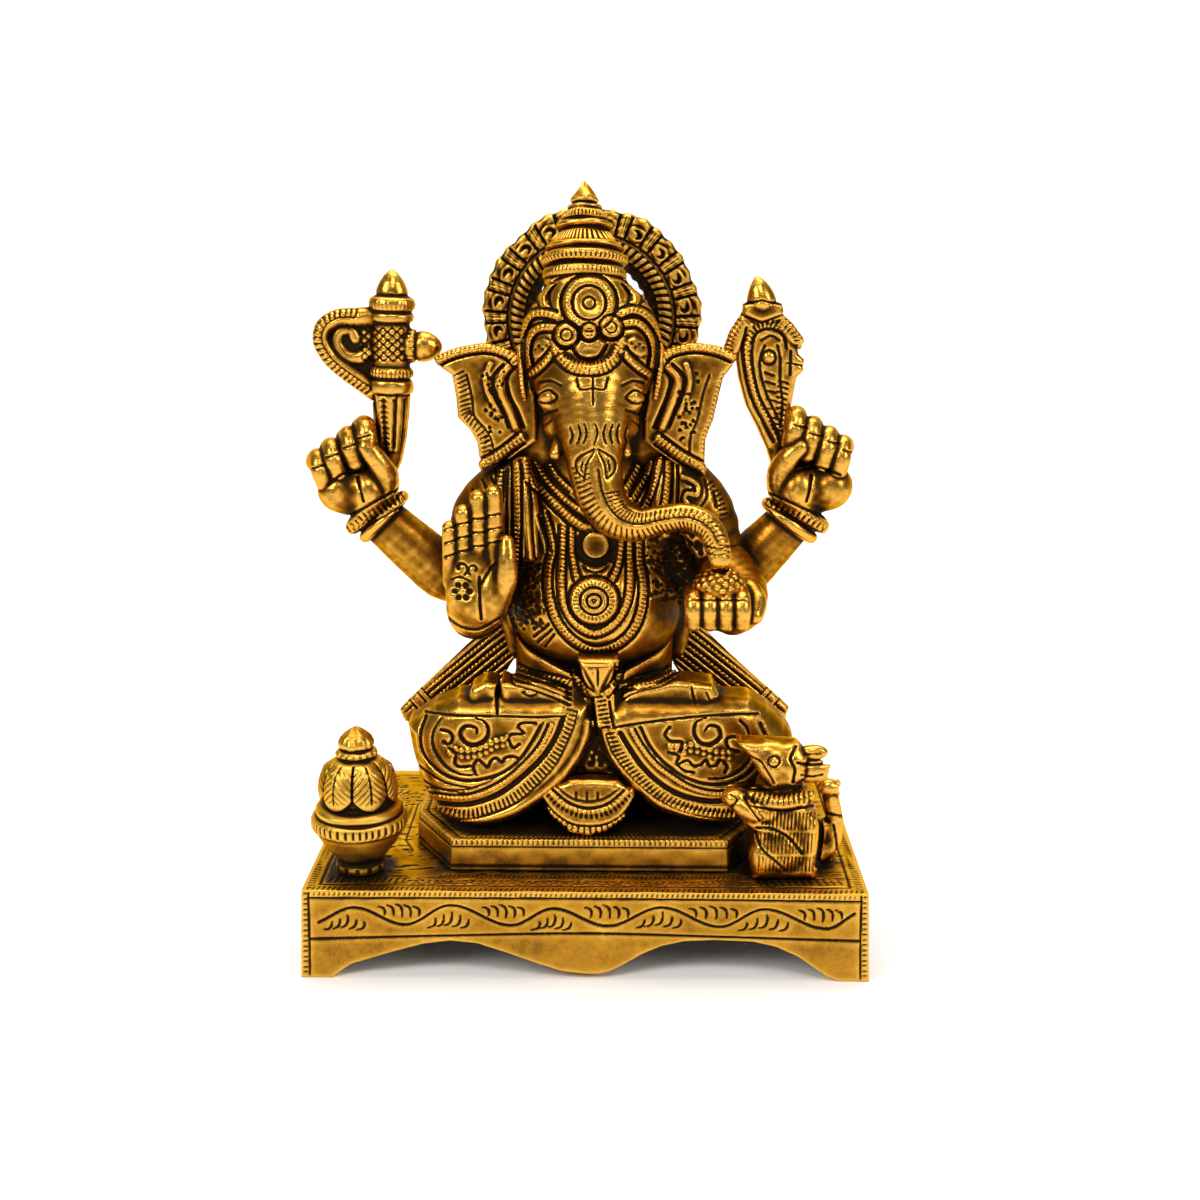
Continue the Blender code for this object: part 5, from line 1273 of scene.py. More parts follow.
def build_halo():
    cx, cz = 0.7, 164.7
    loop = [(29.4, 21.6), (29.8, 22.2), (29.8, 24.6), (29.2, 25.2), (17.0, 25.2), (16.0, 24.6), (15.6, 23.2), (15.9, 22.2), (16.8, 21.4),
            (18.3, 21.4), (18.6, 20.8), (19.2, 20.2), (20.4, 19.9), (21.6, 20.2), (22.2, 20.9), (22.5, 21.5), (23.0, 21.0), (23.6, 20.8), (28.9, 20.9)]
    q, pitch = ring_loop(loop, 132)
    nu = 760
    a = np.linspace(0, 2 * math.pi, nu, endpoint=False)
    A, R_ = np.meshgrid(a, q[:, 0], indexing="ij")
    _, Y_ = np.meshgrid(a, q[:, 1], indexing="ij")
    front = np.clip((22.0 - Y_) / 0.6, 0, 1)
    # outer band: long panels with a punched half-moon, short ticked blocks between
    u = (A / (2 * math.pi) * 20.0 + 0.25) % 1.0
    cut = np.minimum(np.abs(u - 0.0), np.abs(1 - u)) * (2 * math.pi / 20) * R_
    cut2 = np.abs(u - 0.36) * (2 * math.pi / 20) * R_
    g = -0.9 * np.clip(1.5 * (1 - cut / 0.55), 0, 1) - 0.9 * np.clip(1.5 * (1 - cut2 / 0.55), 0, 1)
    short = (u > 0.03) & (u < 0.33)
    g -= np.where(short, 0.4 * np.clip((np.cos(u / 0.36 * 2 * math.pi * 4) - 0.2) * 1.6, 0, 1), 0) * band(R_, 23.6, 28.9)
    pu, pr = (u - 0.68) * (2 * math.pi / 20) * 26.2, R_ - 25.6
    hole = np.hypot(pu / 2.0, pr / 1.35)
    moon = np.clip((1 - hole) * 2.6, 0, 1) * np.clip((np.hypot((pu - 0.9) / 1.5, (pr + 0.25) / 0.95) - 0.8) * 2.4, 0, 1)
    g -= np.where(u > 0.38, 1.0 * moon, 0)
    ring = np.abs(np.hypot(pu / 2.9, (pr - 0.1) / 2.2) - 1.0) * 2.4
    g -= np.where(u > 0.38, 0.3 * np.clip(1.4 * (1 - ring / 0.42), 0, 1), 0)
    g *= band(R_, 22.9, 29.6, 0.4) * front
    # rope ring
    g -= 0.75 * teeth(A + R_ * 0.012, 66, 2.6) * band(R_, 18.6, 22.2, 0.3) * front
    g -= 0.5 * np.clip(1.5 * (1 - np.abs(R_ - 22.9) / 0.4), 0, 1) * front
    g += 0.22 * np.sin(A * 31 + R_) * np.sin(R_ * 1.9 + 2 * np.sin(A * 9)) * band(R_, 23.4, 29.2) * front
    # scalloped inner edge
    g += np.where(R_ < 18.2, 0.22 * np.cos(A * 33) * np.clip((18.2 - R_) / 1.0, 0, 1), 0)
    g += (0.30 * np.sin(A * 7 + 1.0) + 0.22 * np.sin(A * 13) + 0.25 * np.sin(A * 41 + 2)) * band(R_, 29.0, 31, 0.3)
    P = np.stack([cx + R_ * np.cos(A), Y_, cz + R_ * np.sin(A)], -1)
    lean = (P[..., 2] - 150) * 0.0
    P[..., 1] += lean
    extra = -0.10 * band(R_, 22.1, 22.9, 0.2) * front - 0.14 * band(R_, 15.0, 18.5, 0.2)
    # stems behind the head down to the shoulders
    stems_v, stems_f = [], []
    for x in (-12.8, 14.2):
        o = np.array([(x - 3.3, 21.4), (x + 3.3, 21.4), (x + 3.6, 22.0), (x + 3.6, 24.0), (x + 3.3, 24.6), (x - 3.3, 24.6), (x - 3.6, 24.0), (x - 3.6, 22.0)])
        zs = [114.8, 115.2, 118, 122, 126, 130, 134, 138, 142, 143.6]
        k0 = sum(len(w) for w in stems_v)
        ringv = []
        for i, z in enumerate(zs):
            sc = 0.86 if i in (0, len(zs) - 1) else 1.0
            c = o.mean(0)
            pp = c + (o - c) * sc
            ringv.append(np.column_stack([pp[:, 0], pp[:, 1], np.full(8, z)]))
        vv = np.vstack(ringv)
        f = []
        for i in range(len(zs) - 1):
            for j in range(8):
                j2 = (j + 1) % 8
                f.append((k0 + i * 8 + j, k0 + i * 8 + j2, k0 + (i + 1) * 8 + j2, k0 + (i + 1) * 8 + j))
        for b, rev in ((0, True), ((len(zs) - 1) * 8, False)):
            for t in ((0, 1, 2, 3), (0, 3, 4, 7), (4, 5, 6, 7)):
                qd = [k0 + b + k for k in t]
                f.append(tuple(reversed(qd)) if rev else tuple(qd))
        stems_v.append(vv)
        stems_f += f
    skin("halo_cast", P, g, ["halo"], True, True, (2 * math.pi * 23 / nu, pitch), extra, flip=True,
         also=(np.vstack(stems_v), np.array(stems_f)))
    for k in range(0, 360, 2):
        c, s_ = math.cos(math.radians(k)), math.sin(math.radians(k))
        mark_box((cx + 23.5 * c - 6, 20.5, cz + 23.5 * s_ - 6), (cx + 23.5 * c + 6, 25, cz + 23.5 * s_ + 6)) if k % 6 == 0 else None


# ------------------------------------------------------------ emblems
def build_axe():
    v = Vol((-76, 0, 118), (-36, 18, 182))
    prof = [(3.4, 130.6), (4.2, 134), (4.9, 140), (5.2, 145.6), (4.9, 146.0), (5.8, 146.6), (6.0, 148.0), (5.8, 149.4), (5.1, 149.9), (5.0, 150.3), (5.9, 150.8),
            (6.0, 152.0), (5.5, 152.8), (4.9, 153.3), (5.0, 155.2), (5.2, 159.5), (5.0, 163.6), (4.7, 164.5), (4.8, 165.0), (5.8, 165.5), (5.9, 167.0), (5.2, 167.6),
            (5.1, 167.9), (6.0, 168.6), (6.2, 170.0), (5.7, 171.2), (4.4, 171.9), (4.0, 172.2), (4.3, 172.8), (4.0, 173.9), (3.2, 175.6), (2.1, 177.2), (1.0, 178.3), (0.2, 178.8)]
    prof = [(r, z - 131) for r, z in prof]
    tilt = Matrix.Rotation(math.radians(-2.5), 3, "Y")
    R = [[tilt[i][j] for j in range(3)] for i in range(3)]

    def wob(a, h, r):
        z = h + 131
        g = -0.34 * teeth(a, 30) * band(z, 150.6, 152.6)
        g -= 0.16 * teeth(a, 30) * band(z, 168.6, 170.8)
        g -= 0.42 * teeth(a, 10) * band(z, 128, 145.2)
        return g

    v.lathe(prof, (-53.6, 8.6, 131), R, 0, "add", wob, 0.86)
    # cross-hatched barrel
    m = Map(4, -76, -36, 128, 182)
    for k in range(-6, 12):
        m.seg((-59.8, 154.8 + k * 2.2 - 5), (-48.0, 154.8 + k * 2.2 + 5.5), 0.30, 0.30, 0.5)
        m.seg((-59.8, 154.8 + k * 2.2 + 5.5), (-48.0, 154.8 + k * 2.2 - 5), 0.30, 0.30, 0.5)
    keep = np.zeros_like(m.g)
    zz = m.z0 + np.arange(m.nz) * m.res
    keep[:, (zz > 155.0) & (zz < 163.9)] = 1
    xx = m.x0 + np.arange(m.nx) * m.res
    keep[(xx > -48.2) | (xx < -60.0), :] = 0
    m.g *= keep
    # the small side cone and its ticked collar
    turn = Matrix.Rotation(math.radians(-93), 3, "Y")
    R2 = [[turn[i][j] for j in range(3)] for i in range(3)]
    v.lathe([(3.4, -1), (3.9, 4.2), (4.5, 4.8), (4.5, 6.2), (3.5, 6.7), (3.9, 7.2), (4.2, 8.4), (3.8, 10.2), (2.9, 11.8), (1.6, 13.1), (0.4, 13.6)],
            (-52.4, 8.4, 159.0), R2, 0.4, "add",
            lambda a, h, r: -0.28 * teeth(a, 20) * band(h, 4.6, 6.4), 0.9)
    # scroll on the other side
    v.tube([(-56.8, 8.6, 146.4), (-60.0, 8.6, 148.6), (-64.2, 8.6, 151.6), (-68.6, 8.6, 155.4), (-71.0, 8.6, 159.8), (-70.2, 8.6, 163.6),
            (-66.4, 8.6, 166.0), (-61.4, 8.6, 166.2), (-57.2, 8.6, 166.4)], [2.7, 2.6, 2.5, 2.4, 2.4, 2.4, 2.4, 2.5, 2.6], 0.2, squash=(1, 1.15, 1))
    v.tube([(-58.6, 8.6, 157.0), (-61.2, 8.6, 155.6), (-64.6, 8.6, 156.2), (-66.8, 8.6, 159.2), (-66.0, 8.6, 162.2), (-63.2, 8.6, 162.8), (-62.0, 8.6, 160.6)],
           [2.0, 1.9, 1.8, 1.7, 1.6, 1.5, 1.5], 0.2)
    v.plate([(-69.5, 159), (-67, 164.8), (-56, 166.0), (-55, 152), (-57.5, 148.8), (-63, 153.0)], 8.2, 10.6, 0.6, 0.2)
    path = [at(x, z, 8.6, 4)[::2] for x, z in [(-58.4, 147.6), (-64.2, 151.6), (-68.6, 155.4), (-71.0, 159.8), (-70.2, 163.6), (-66.4, 166.0), (-61.6, 166.2)]]
    m.line(path, 0.36, 0.4)
    m.ticks(path, 1.35, 0.3, 2.1, 0.28, 0.5, 0.2)
    m.ticks([(-54.0, 133), (-54.6, 146)], 1.5, -0.9, 0.9, 0.28, 0.35, 0.1)
    m.line([(-52.0, 132), (-50.8, 146)], 0.42, 0.5)
    m.line([(-56.0, 133), (-57.0, 146)], 0.42, 0.5)
    for sx in (-63.2, -61.4):
        m.line([(sx, 164.6), (sx + 0.4, 163.6)], 0.3, 0.3)
    v.tube([(-52.4, 8.8, 135), (-53.6, 9.2, 128), (-57.5, 9.6, 121)], [3.0, 2.8, 2.4], 0.6)
    v.grain(0.05, 7, 12)
    v.relief(m, -2, 9)
    carve(v, "axe_emblem_cast", ["axe_emblem"])


def build_noose():
    v = Vol((34, 2, 118), (62, 16, 180))
    body = [(43.6, 166), (40.6, 161), (39.4, 156), (40.4, 150), (42.4, 143), (45.6, 137), (48.4, 131.0), (51.6, 129.6), (53.6, 134), (54.2, 140),
            (55.2, 146), (55.9, 150.6), (57.6, 152.0), (57.8, 155.2), (56.2, 156.6), (55.4, 160), (51.8, 166)]
    v.plate([at(x, z, 10, 9)[::2] for x, z in body], 6.8, 11.8, 1.6)
    v.plate([at(x, z, 10, 8.4)[::2] for x, z in [(41.0, 167.4), (37.8, 162.6), (36.2, 158.0), (37.0, 155.6), (40.0, 156.6), (41.6, 160.0), (44.5, 164.5)]], 6.2, 11.2, 1.4, 0.3)
    v.plate([at(x, z, 10, 8.4)[::2] for x, z in [(51.4, 167.4), (54.8, 164.4), (57.8, 160.4), (56.6, 157.8), (53.8, 159.4), (50.0, 163.5)]], 6.2, 11.2, 1.4, 0.3)
    v.plate([at(x, z, 10, 8.6)[::2] for x, z in [(40.8, 166.4), (46.0, 164.2), (52.0, 166.2), (51.6, 169.8), (46.4, 171.0), (41.2, 169.8)]], 6.0, 11.6, 1.3, 0.3)
    v.tube([at(46.0, 170.6, 10, 9), at(45.4, 173.4, 10, 9), at(44.7, 176.6, 10, 9)], [3.9, 2.7, 0.5], 0.2)
    v.tube([(50.4, 9.4, 134), (51.8, 9.4, 128), (56, 9.4, 122)], [2.4, 2.4, 2.2], 0.6)
    m = Map(10, 30, 66, 126, 182)
    m.line([(42.2, 163.4), (41.2, 158), (42.0, 151.5), (44.0, 144.5), (47.2, 138.4), (50.4, 133.0)], 0.5, 0.6)
    m.line([(45.0, 162.6), (43.8, 157.6), (44.4, 151.8), (46.2, 145.2), (49.4, 139.4), (51.8, 135)], 0.42, 0.6)
    m.line([(43.6, 163.6), (42.4, 157.8), (43.2, 151.6), (45.2, 144.8), (48.4, 138.8), (51.2, 133.6)], 0.8, -0.4)
    m.ticks([(43.6, 163.6), (42.4, 157.8), (43.2, 151.6), (45.2, 144.8), (48.4, 138.8), (51.2, 133.6)], 1.3, -0.7, 0.7, 0.26, 0.35)
    m.line([(47.2, 158.6), (46.0, 155), (46.6, 150), (48.6, 144.6), (51.4, 139.4)], 0.42, 0.6)
    m.line([(50.6, 158.8), (51.4, 155.0), (51.6, 149.4), (52.4, 143.6), (52.2, 137.0)], 0.45, 0.6)
    m.line([(46.4, 160.2), (48.8, 161.4), (51.0, 160.2)], 0.42, 0.5)
    m.ring((48.4, 155.6), 1.9, 0.42, 0.6)
    m.dome((48.4, 155.6), 1.2, -0.5)
    for k in range(6):
        m.line([(47.4 + k * 0.25, 151.6 - k * 2.4), (50.0 + k * 0.28, 150.8 - k * 2.3)], 0.34, 0.4, sub=0)
    m.line([(54.2, 157.2), (54.2, 151.2)], 0.5, 0.7)
    m.ticks([(53.6, 149.0), (53.2, 143.0), (52.6, 136.0)], 1.5, -2.4, 0.2, 0.34, 0.5, 0.3)
    m.line([(43.8, 159.4), (45.2, 162.2), (48.6, 163.2), (52.0, 161.4), (53.0, 158.0)], 0.5, 0.7)
    m.ticks([(42.8, 160.0), (45.0, 163.6), (49.0, 164.6), (53.0, 162.2)], 1.2, -1.0, 1.0, 0.28, 0.4, 0.2)
    m.line([(53.4, 154.2), (57.8, 153.4)], 0.36, 0.45)
    for a, b in (((40.8, 167.0), (46.2, 164.8)), ((46.2, 164.8), (52.0, 167.0)), ((41.0, 169.4), (46.2, 170.6)), ((46.2, 170.6), (51.8, 169.4))):
        m.seg(a, b, 0.42, 0.42, 0.55)
    m.ticks([(40.2, 165.4), (37.4, 160.4), (37.4, 156.4)], 1.3, -1.3, 1.3, 0.28, 0.4, 0.2)
    m.ticks([(52.6, 165.4), (55.8, 161.8), (56.8, 159.0)], 1.3, -1.3, 1.3, 0.28, 0.4, 0.2)
    v.grain(0.05, 7, 13)
    v.relief(m, -2, 9.4)
    carve(v, "noose_emblem_cast", ["noose_emblem"])


# ------------------------------------------------------------ base, plinth, pot and mouse
BASE_TOP = 24.3
PL0, PL1 = 24.6, 33.4
HXT, HXF, HYT, HYF = 73.0, 74.0, 42.0, 43.0
APRON = [(-66, 0), (-65.0, 0.9), (-63.6, 2.0), (-61, 3.9), (-58, 4.9), (-50, 7.5), (-42, 9.8), (-35, 10.7), (-28, 10.0), (-20, 7.3), (-12, 4.3),
         (-6, 2.3), (0, 1.6), (4, 1.6), (7, 2.5), (11, 4.8), (15, 7.3), (20, 9.6), (26, 11.0), (34, 11.4), (44, 11.0), (50, 9.6), (56, 6.7),
         (60, 3.6), (63, 1.4), (65.0, 0.5), (66, 0)]
SIDE = [(-34, 0), (-33, 0.8), (-30, 3.4), (-24, 6.8), (-15, 9.8), (-7, 11.0), (0, 11.2), (7, 11.0), (15, 9.8), (24, 6.8), (30, 3.4), (33, 0.8), (34, 0)]


def flat(m, u, v):
    fu = np.clip((u - m.x0) / m.res, 0, m.nx - 1.001)
    fv = np.clip((v - m.z0) / m.res, 0, m.nz - 1.001)
    i, j = fu.astype(int), fv.astype(int)
    fu, fv = fu - i, fv - j
    g = m.r - m.g
    return ((g[i, j] * (1 - fu) + g[i + 1, j] * fu) * (1 - fv) + (g[i, j + 1] * (1 - fu) + g[i + 1, j + 1] * fu) * fv)


def front_map():
    m = Map(-42, -76, 76, -2, 26)
    m.line([(-71.4, 22.2), (0, 22.5), (71.4, 22.2)], 0.36, 0.5)
    m.line([(-71.4, 10.8), (-36, 12.0), (0, 12.9), (36, 12.2), (71.4, 11.3)], 0.36, 0.5)
    m.line([(-71.3, 24), (-71.5, 11), (-71.8, 0)], 0.36, 0.5)
    m.line([(71.2, 24), (71.4, 11), (71.8, 0)], 0.36, 0.5)
    knots = [(-72, 14.8), (-59.5, 19.6), (-46.5, 15.0), (-34.5, 20.4), (-19, 15.0), (-8, 19.7), (6, 15.0), (20, 20.2), (35, 15.0), (46.5, 19.9), (62.5, 14.7), (72.0, 19.6)]
    vine = []
    for (xa, za), (xb, zb) in zip(knots, knots[1:]):
        for k in range(8):
            t = k / 8
            vine.append((xa + (xb - xa) * t, za + (zb - za) * (0.5 - 0.5 * math.cos(math.pi * t))))
    vine = [p for p in vine if -70.4 < p[0] < 70.4]
    m.line(vine, 0.42, 0.6)
    for x0, x1, z0, z1 in ((-66.5, -58, 13.6, 17.0), (-39.5, -31, 14.4, 18.2), (-12.5, -4.5, 14.0, 17.4), (14.5, 24, 14.8, 18.4), (41.0, 51.5, 14.2, 17.8)):
        for k in range(5):
            t = k / 4
            x, z, ln = x0 + (x1 - x0) * t, z0 + (1 - abs(2 * t - 1)) * 0.8, (z1 - z0) * (0.65 + 0.35 * (1 - abs(2 * t - 1)))
            m.line([(x - 1.3, z - 0.2), (x + 0.3, z + 0.2), (x + 1.0, z + ln * 0.55), (x + 0.9, z + ln)], 0.36, 0.5, taper=True)
    for x0, x1, z0, z1 in ((-52.5, -43.5, 16.9, 20.8), (-25.5, -16.5, 17.0, 20.8), (1.0, 10.5, 16.9, 20.9), (28, 38.5, 17.0, 20.8), (56.0, 65.5, 16.4, 20.6)):
        for k in range(5):
            t = k / 4
            x, z, ln = x0 + (x1 - x0) * t, z0 + abs(2 * t - 1) * 0.5, (z1 - z0) * (0.7 + 0.3 * (1 - abs(2 * t - 1)))
            m.line([(x - 1.0, z + ln), (x + 0.5, z + ln * 0.8), (x + 0.9, z + ln * 0.4), (x + 0.7, z)], 0.36, 0.5, taper=True)
    for s in (-1, 1):
        m.ticks([(s * 73.2, 1.5), (s * 72.7, 23.4)], 1.5, -0.9, 0.9, 0.3, 0.45, 0.0, sub=0)
    m.ticks([(-71, 23.7), (71, 23.7)], 1.3, -0.55, 0.7, 0.3, 0.35, 0.15, sub=0)
    return m


def side_map():
    m = Map(0, -46, 46, -2, 26)
    m.line([(-40, 22.2), (40, 22.2)], 0.36, 0.45, sub=0)
    m.line([(-40, 12.2), (40, 12.2)], 0.36, 0.45, sub=0)
    vine = [(-38, 15.2), (-32, 19.4), (-25, 17), (-19, 14.9), (-12, 18.2), (-6, 19.8), (1, 16.8), (7, 15), (14, 18.4), (20, 19.8), (27, 16.4), (33, 15.2), (38, 18.6)]
    m.line(vine, 0.42, 0.55)
    for x0 in (-36, -10, 16):
        for k in range(5):
            m.line([(x0 + k * 1.8, 14.0), (x0 + k * 1.8 + 0.9, 16.6)], 0.34, 0.4, taper=True)
    for x0 in (-24, 2, 27):
        for k in range(5):
            m.line([(x0 + k * 1.8, 17.6), (x0 + k * 1.8 + 0.9, 20.4)], 0.34, 0.4, taper=True)
    return m


def top_map():
    """Chasing on the table top, drawn in (x, y)."""
    m = Map(0, -75, 75, -44, 44)
    a, b = 68.8, 38.2
    m.line([(-a, -b), (a, -b), (a, b), (-a, b), (-a, -b)], 0.36, 0.45, sub=0)
    m.ticks([(-71.5, -40.4), (71.5, -40.4)], 1.35, -0.8, 0.8, 0.3, 0.36, 0.2, sub=0)
    for s in (-1, 1):
        m.ticks([(s * 71.2, -40), (s * 71.2, 40)], 1.35, -0.8, 0.8, 0.3, 0.36, 0.2, sub=0)
    m.ticks([(-38, -32.6), (40, -32.6)], 1.2, -0.8, 0.7, 0.28, 0.34, 0.2, sub=0)
    for k in range(52):
        m.dome((-46 + k * 1.85, -35.4), 0.5, 0.34)
    for k in range(34):
        x = -45 + k * 2.75
        m.line([(x, -37.5), (x + 1.3, -36.4), (x + 2.2, -37.2)], 0.28, 0.3)
    # leaf sprays in the corners
    for cx, cy, s in ((-60, -12, -1), (62, -10, 1), (-58, 18, -1), (60, 18, 1)):
        for k in range(7):
            an = math.radians(30 + 20 * k)
            m.line([(cx + 1.5 * math.cos(an), cy + 1.5 * math.sin(an)), (cx + 5 * math.cos(an) + 1, cy + 6.5 * math.sin(an)),
                    (cx + 8 * math.cos(an + 0.2 * s), cy + 9.5 * math.sin(an + 0.2 * s))], 0.34, 0.36, taper=True)
        m.line([(cx - 8, cy - 2), (cx, cy - 3.6), (cx + 8, cy - 2)], 0.36, 0.4)
    for x0, x1 in ((-67, -48), (46, 67)):
        for k in range(12):
            x = x0 + (x1 - x0) * k / 11
            m.line([(x, -37.2), (x + 1.0 * (1 if x < 0 else -1), -33.4)], 0.3, 0.34, taper=True)
    for i in range(900):
        a = math.sin(i * 12.9898 + 0.4) * 43758.5453 % 1.0
        b = math.sin(i * 78.233 + 1.1) * 12543.123 % 1.0
        c = math.sin(i * 39.425 + 2.3) * 24634.633 % 1.0
        x, y = -68 + 136 * a, -38 + 76 * b
        m.line([(x, y), (x + 1.2 + 2.4 * c, y + 1.2 * (c - 0.5))], 0.28, 0.16 + 0.2 * c, sub=0)
    for s in (-1, 1):
        o = [(s * 47.5, -17), (s * 50.5, -10), (s * 50.5, 16)]
        m.line(o, 0.36, 0.36, sub=0)
        m.ticks([(s * 52.6, -12), (s * 52.6, 18)], 1.4, -0.8, 0.8, 0.28, 0.32, 0.2, sub=0)
    return m


def build_base():
    nx = 410
    xs = np.linspace(-1, 1, nx)
    ys = np.concatenate([np.linspace(-1, -1 + 2 * 15 / 84, 42, endpoint=False), np.linspace(-1 + 2 * 15 / 84, 1, 100)])
    nt = 60
    t = np.linspace(0, 1, nt)
    ap, sd = np.array(APRON, float), np.array(SIDE, float)

    def hx(z):
        return HXF + (HXT - HXF) * z / BASE_TOP

    def hy(z):
        return HYF + (HYT - HYF) * z / BASE_TOP

    patches, mm = [], []
    zlo = np.interp(xs * HXF, ap[:, 0], ap[:, 1], left=0, right=0)
    Z = zlo[:, None] + (BASE_TOP - zlo[:, None]) * t[None, :]
    X = xs[:, None] * hx(Z)
    fm = front_map()
    edge = np.minimum(np.minimum(np.arange(nx), np.arange(nx)[::-1])[:, None], np.minimum(np.arange(nt), np.arange(nt)[::-1])[None, :])
    soft = np.clip(edge / 2.0, 0, 1)
    patches.append((np.stack([X, -hy(Z), Z], -1), flat(fm, X, Z) * soft, False))
    patches.append((np.stack([X, hy(Z), Z], -1), np.zeros_like(X), True))
    zs = np.interp(ys * HYF, sd[:, 0], sd[:, 1], left=0, right=0)
    Zs = zs[:, None] + (BASE_TOP - zs[:, None]) * t[None, :]
    Ys = ys[:, None] * hy(Zs)
    sm = side_map()
    edge = np.minimum(np.minimum(np.arange(len(ys)), np.arange(len(ys))[::-1])[:, None], np.minimum(np.arange(nt), np.arange(nt)[::-1])[None, :])
    sof2 = np.clip(edge / 2.0, 0, 1)
    hs = flat(sm, Ys, Zs) * sof2
    patches.append((np.stack([-hx(Zs), Ys, Zs], -1), hs, True))
    patches.append((np.stack([hx(Zs), Ys, Zs], -1), hs, False))
    XX, YY = np.meshgrid(xs * HXT, ys * HYT, indexing="ij")
    tm = top_map()
    edge = np.minimum(np.minimum(np.arange(nx), np.arange(nx)[::-1])[:, None], np.minimum(np.arange(len(ys)), np.arange(len(ys))[::-1])[None, :])
    wav = 0.10 * np.sin(XX * 0.21 + 1) * np.sin(YY * 0.33) + 0.06 * np.sin(XX * 0.6 + YY * 0.5)
    patches.append((np.stack([XX, YY, np.full_like(XX, BASE_TOP)], -1), (flat(tm, XX, YY) + wav) * np.clip(edge / 2.0, 0, 1), False))
    V, Fq, FI, WI = [], [], [], []
    base = 0
    for k, (P, g, flip) in enumerate(patches):
        n = grid_normals(P, False, False)
        if flip:
            n = -n
        Q = P + n * g[..., None]
        f = grid_faces(P.shape[0], P.shape[1], False, False)
        if flip:
            f = f[:, ::-1]
        e = np.minimum(np.minimum(np.arange(P.shape[0]), np.arange(P.shape[0])[::-1])[:, None], np.minimum(np.arange(P.shape[1]), np.arange(P.shape[1])[::-1])[None, :])
        worn = 0.16 * np.exp(-e / 1.6)
        FI.append(((g - blur2(g, (2, 2), False, False)) * 0.6 + worn).ravel())
        WI.append(((g - blur2(g, (5, 5), False, False)) * 0.6 + worn * 1.2).ravel())
        V.append(Q.reshape(-1, 3))
        Fq.append(f + base)
        base += P.shape[0] * P.shape[1]
    # inside: walls up to the underside, joined to the foot rim
    wall = 3.4
    ix, iy = HXT - wall, HYT - wall
    ceil_z = BASE_TOP - 3.6

    def rim(P, lo):
        """Outer foot line, the same line inside the wall, and its top at the underside."""
        a = P[:, 0]
        b = a.copy()
        b[:, 0] = np.clip(a[:, 0], -ix, ix)
        b[:, 1] = np.clip(a[:, 1], -iy, iy)
        c = b.copy()
        c[:, 2] = ceil_z
        return np.stack([a, b, c], 1)

    loops = []
    for k, flip in ((0, True), (1, False), (2, False), (3, True)):
        R_ = rim(patches[k][0], 0)
        f = grid_faces(R_.shape[0], 3, False, False)
        if flip:
            f = f[:, ::-1]
        V.append(R_.reshape(-1, 3))
        Fq.append(f + base)
        FI.append(np.zeros(R_.shape[0] * 3))
        WI.append(np.zeros(R_.shape[0] * 3))
        loops.append((base, R_.shape[0]))
        base += R_.shape[0] * 3
    V, Fq = np.vstack(V), np.vstack(Fq)
    FI, WI = np.concatenate(FI), np.concatenate(WI)
    key = np.round(V, 3)
    _, first, inv = np.unique(key, axis=0, return_index=True, return_inverse=True)
    inv = inv.ravel()
    V2, FI2, WI2 = V[first], np.zeros(len(first)), np.zeros(len(first))
    np.maximum.at(FI2, inv, FI)
    FI2 = np.where(FI2 > 0, FI2, FI[first])
    np.maximum.at(WI2, inv, WI)
    WI2 = np.where(WI2 > 0, WI2, WI[first])
    F2 = inv[Fq]
    # quads that lost a corner in the weld become triangles; slivers go
    tris, quads = [], []
    uniq = (F2[:, 0] != F2[:, 1]) & (F2[:, 1] != F2[:, 2]) & (F2[:, 2] != F2[:, 3]) & (F2[:, 3] != F2[:, 0]) & (F2[:, 0] != F2[:, 2]) & (F2[:, 1] != F2[:, 3])
    quads = F2[uniq]
    for f in F2[~uniq]:
        g = []
        for i in f:
            if i not in g:
                g.append(i)
        if len(g) == 3:
            tris.append(g)
    tris = np.array(tris, int).reshape(-1, 3)
    ob = mixed_object("base_table_cast", V2 + SHIFT, quads, tris if len(tris) else None)
    # close the underside with one face over the inner rim
    import bmesh
    bm = bmesh.new()
    bm.from_mesh(ob.data)
    bmesh.ops.holes_fill(bm, edges=[e for e in bm.edges if len(e.link_faces) == 1], sides=0)
    bm.to_mesh(ob.data)
    bm.free()
    ob.data.polygons.foreach_set("use_smooth", np.ones(len(ob.data.polygons), bool))
    PIECES.append((ob, V2, FI2.astype(F32), WI2.astype(F32)))
    ride_on(ob, ["base_table"])
    mark_box((-73, -42, -2), (73, 42, 24.0))


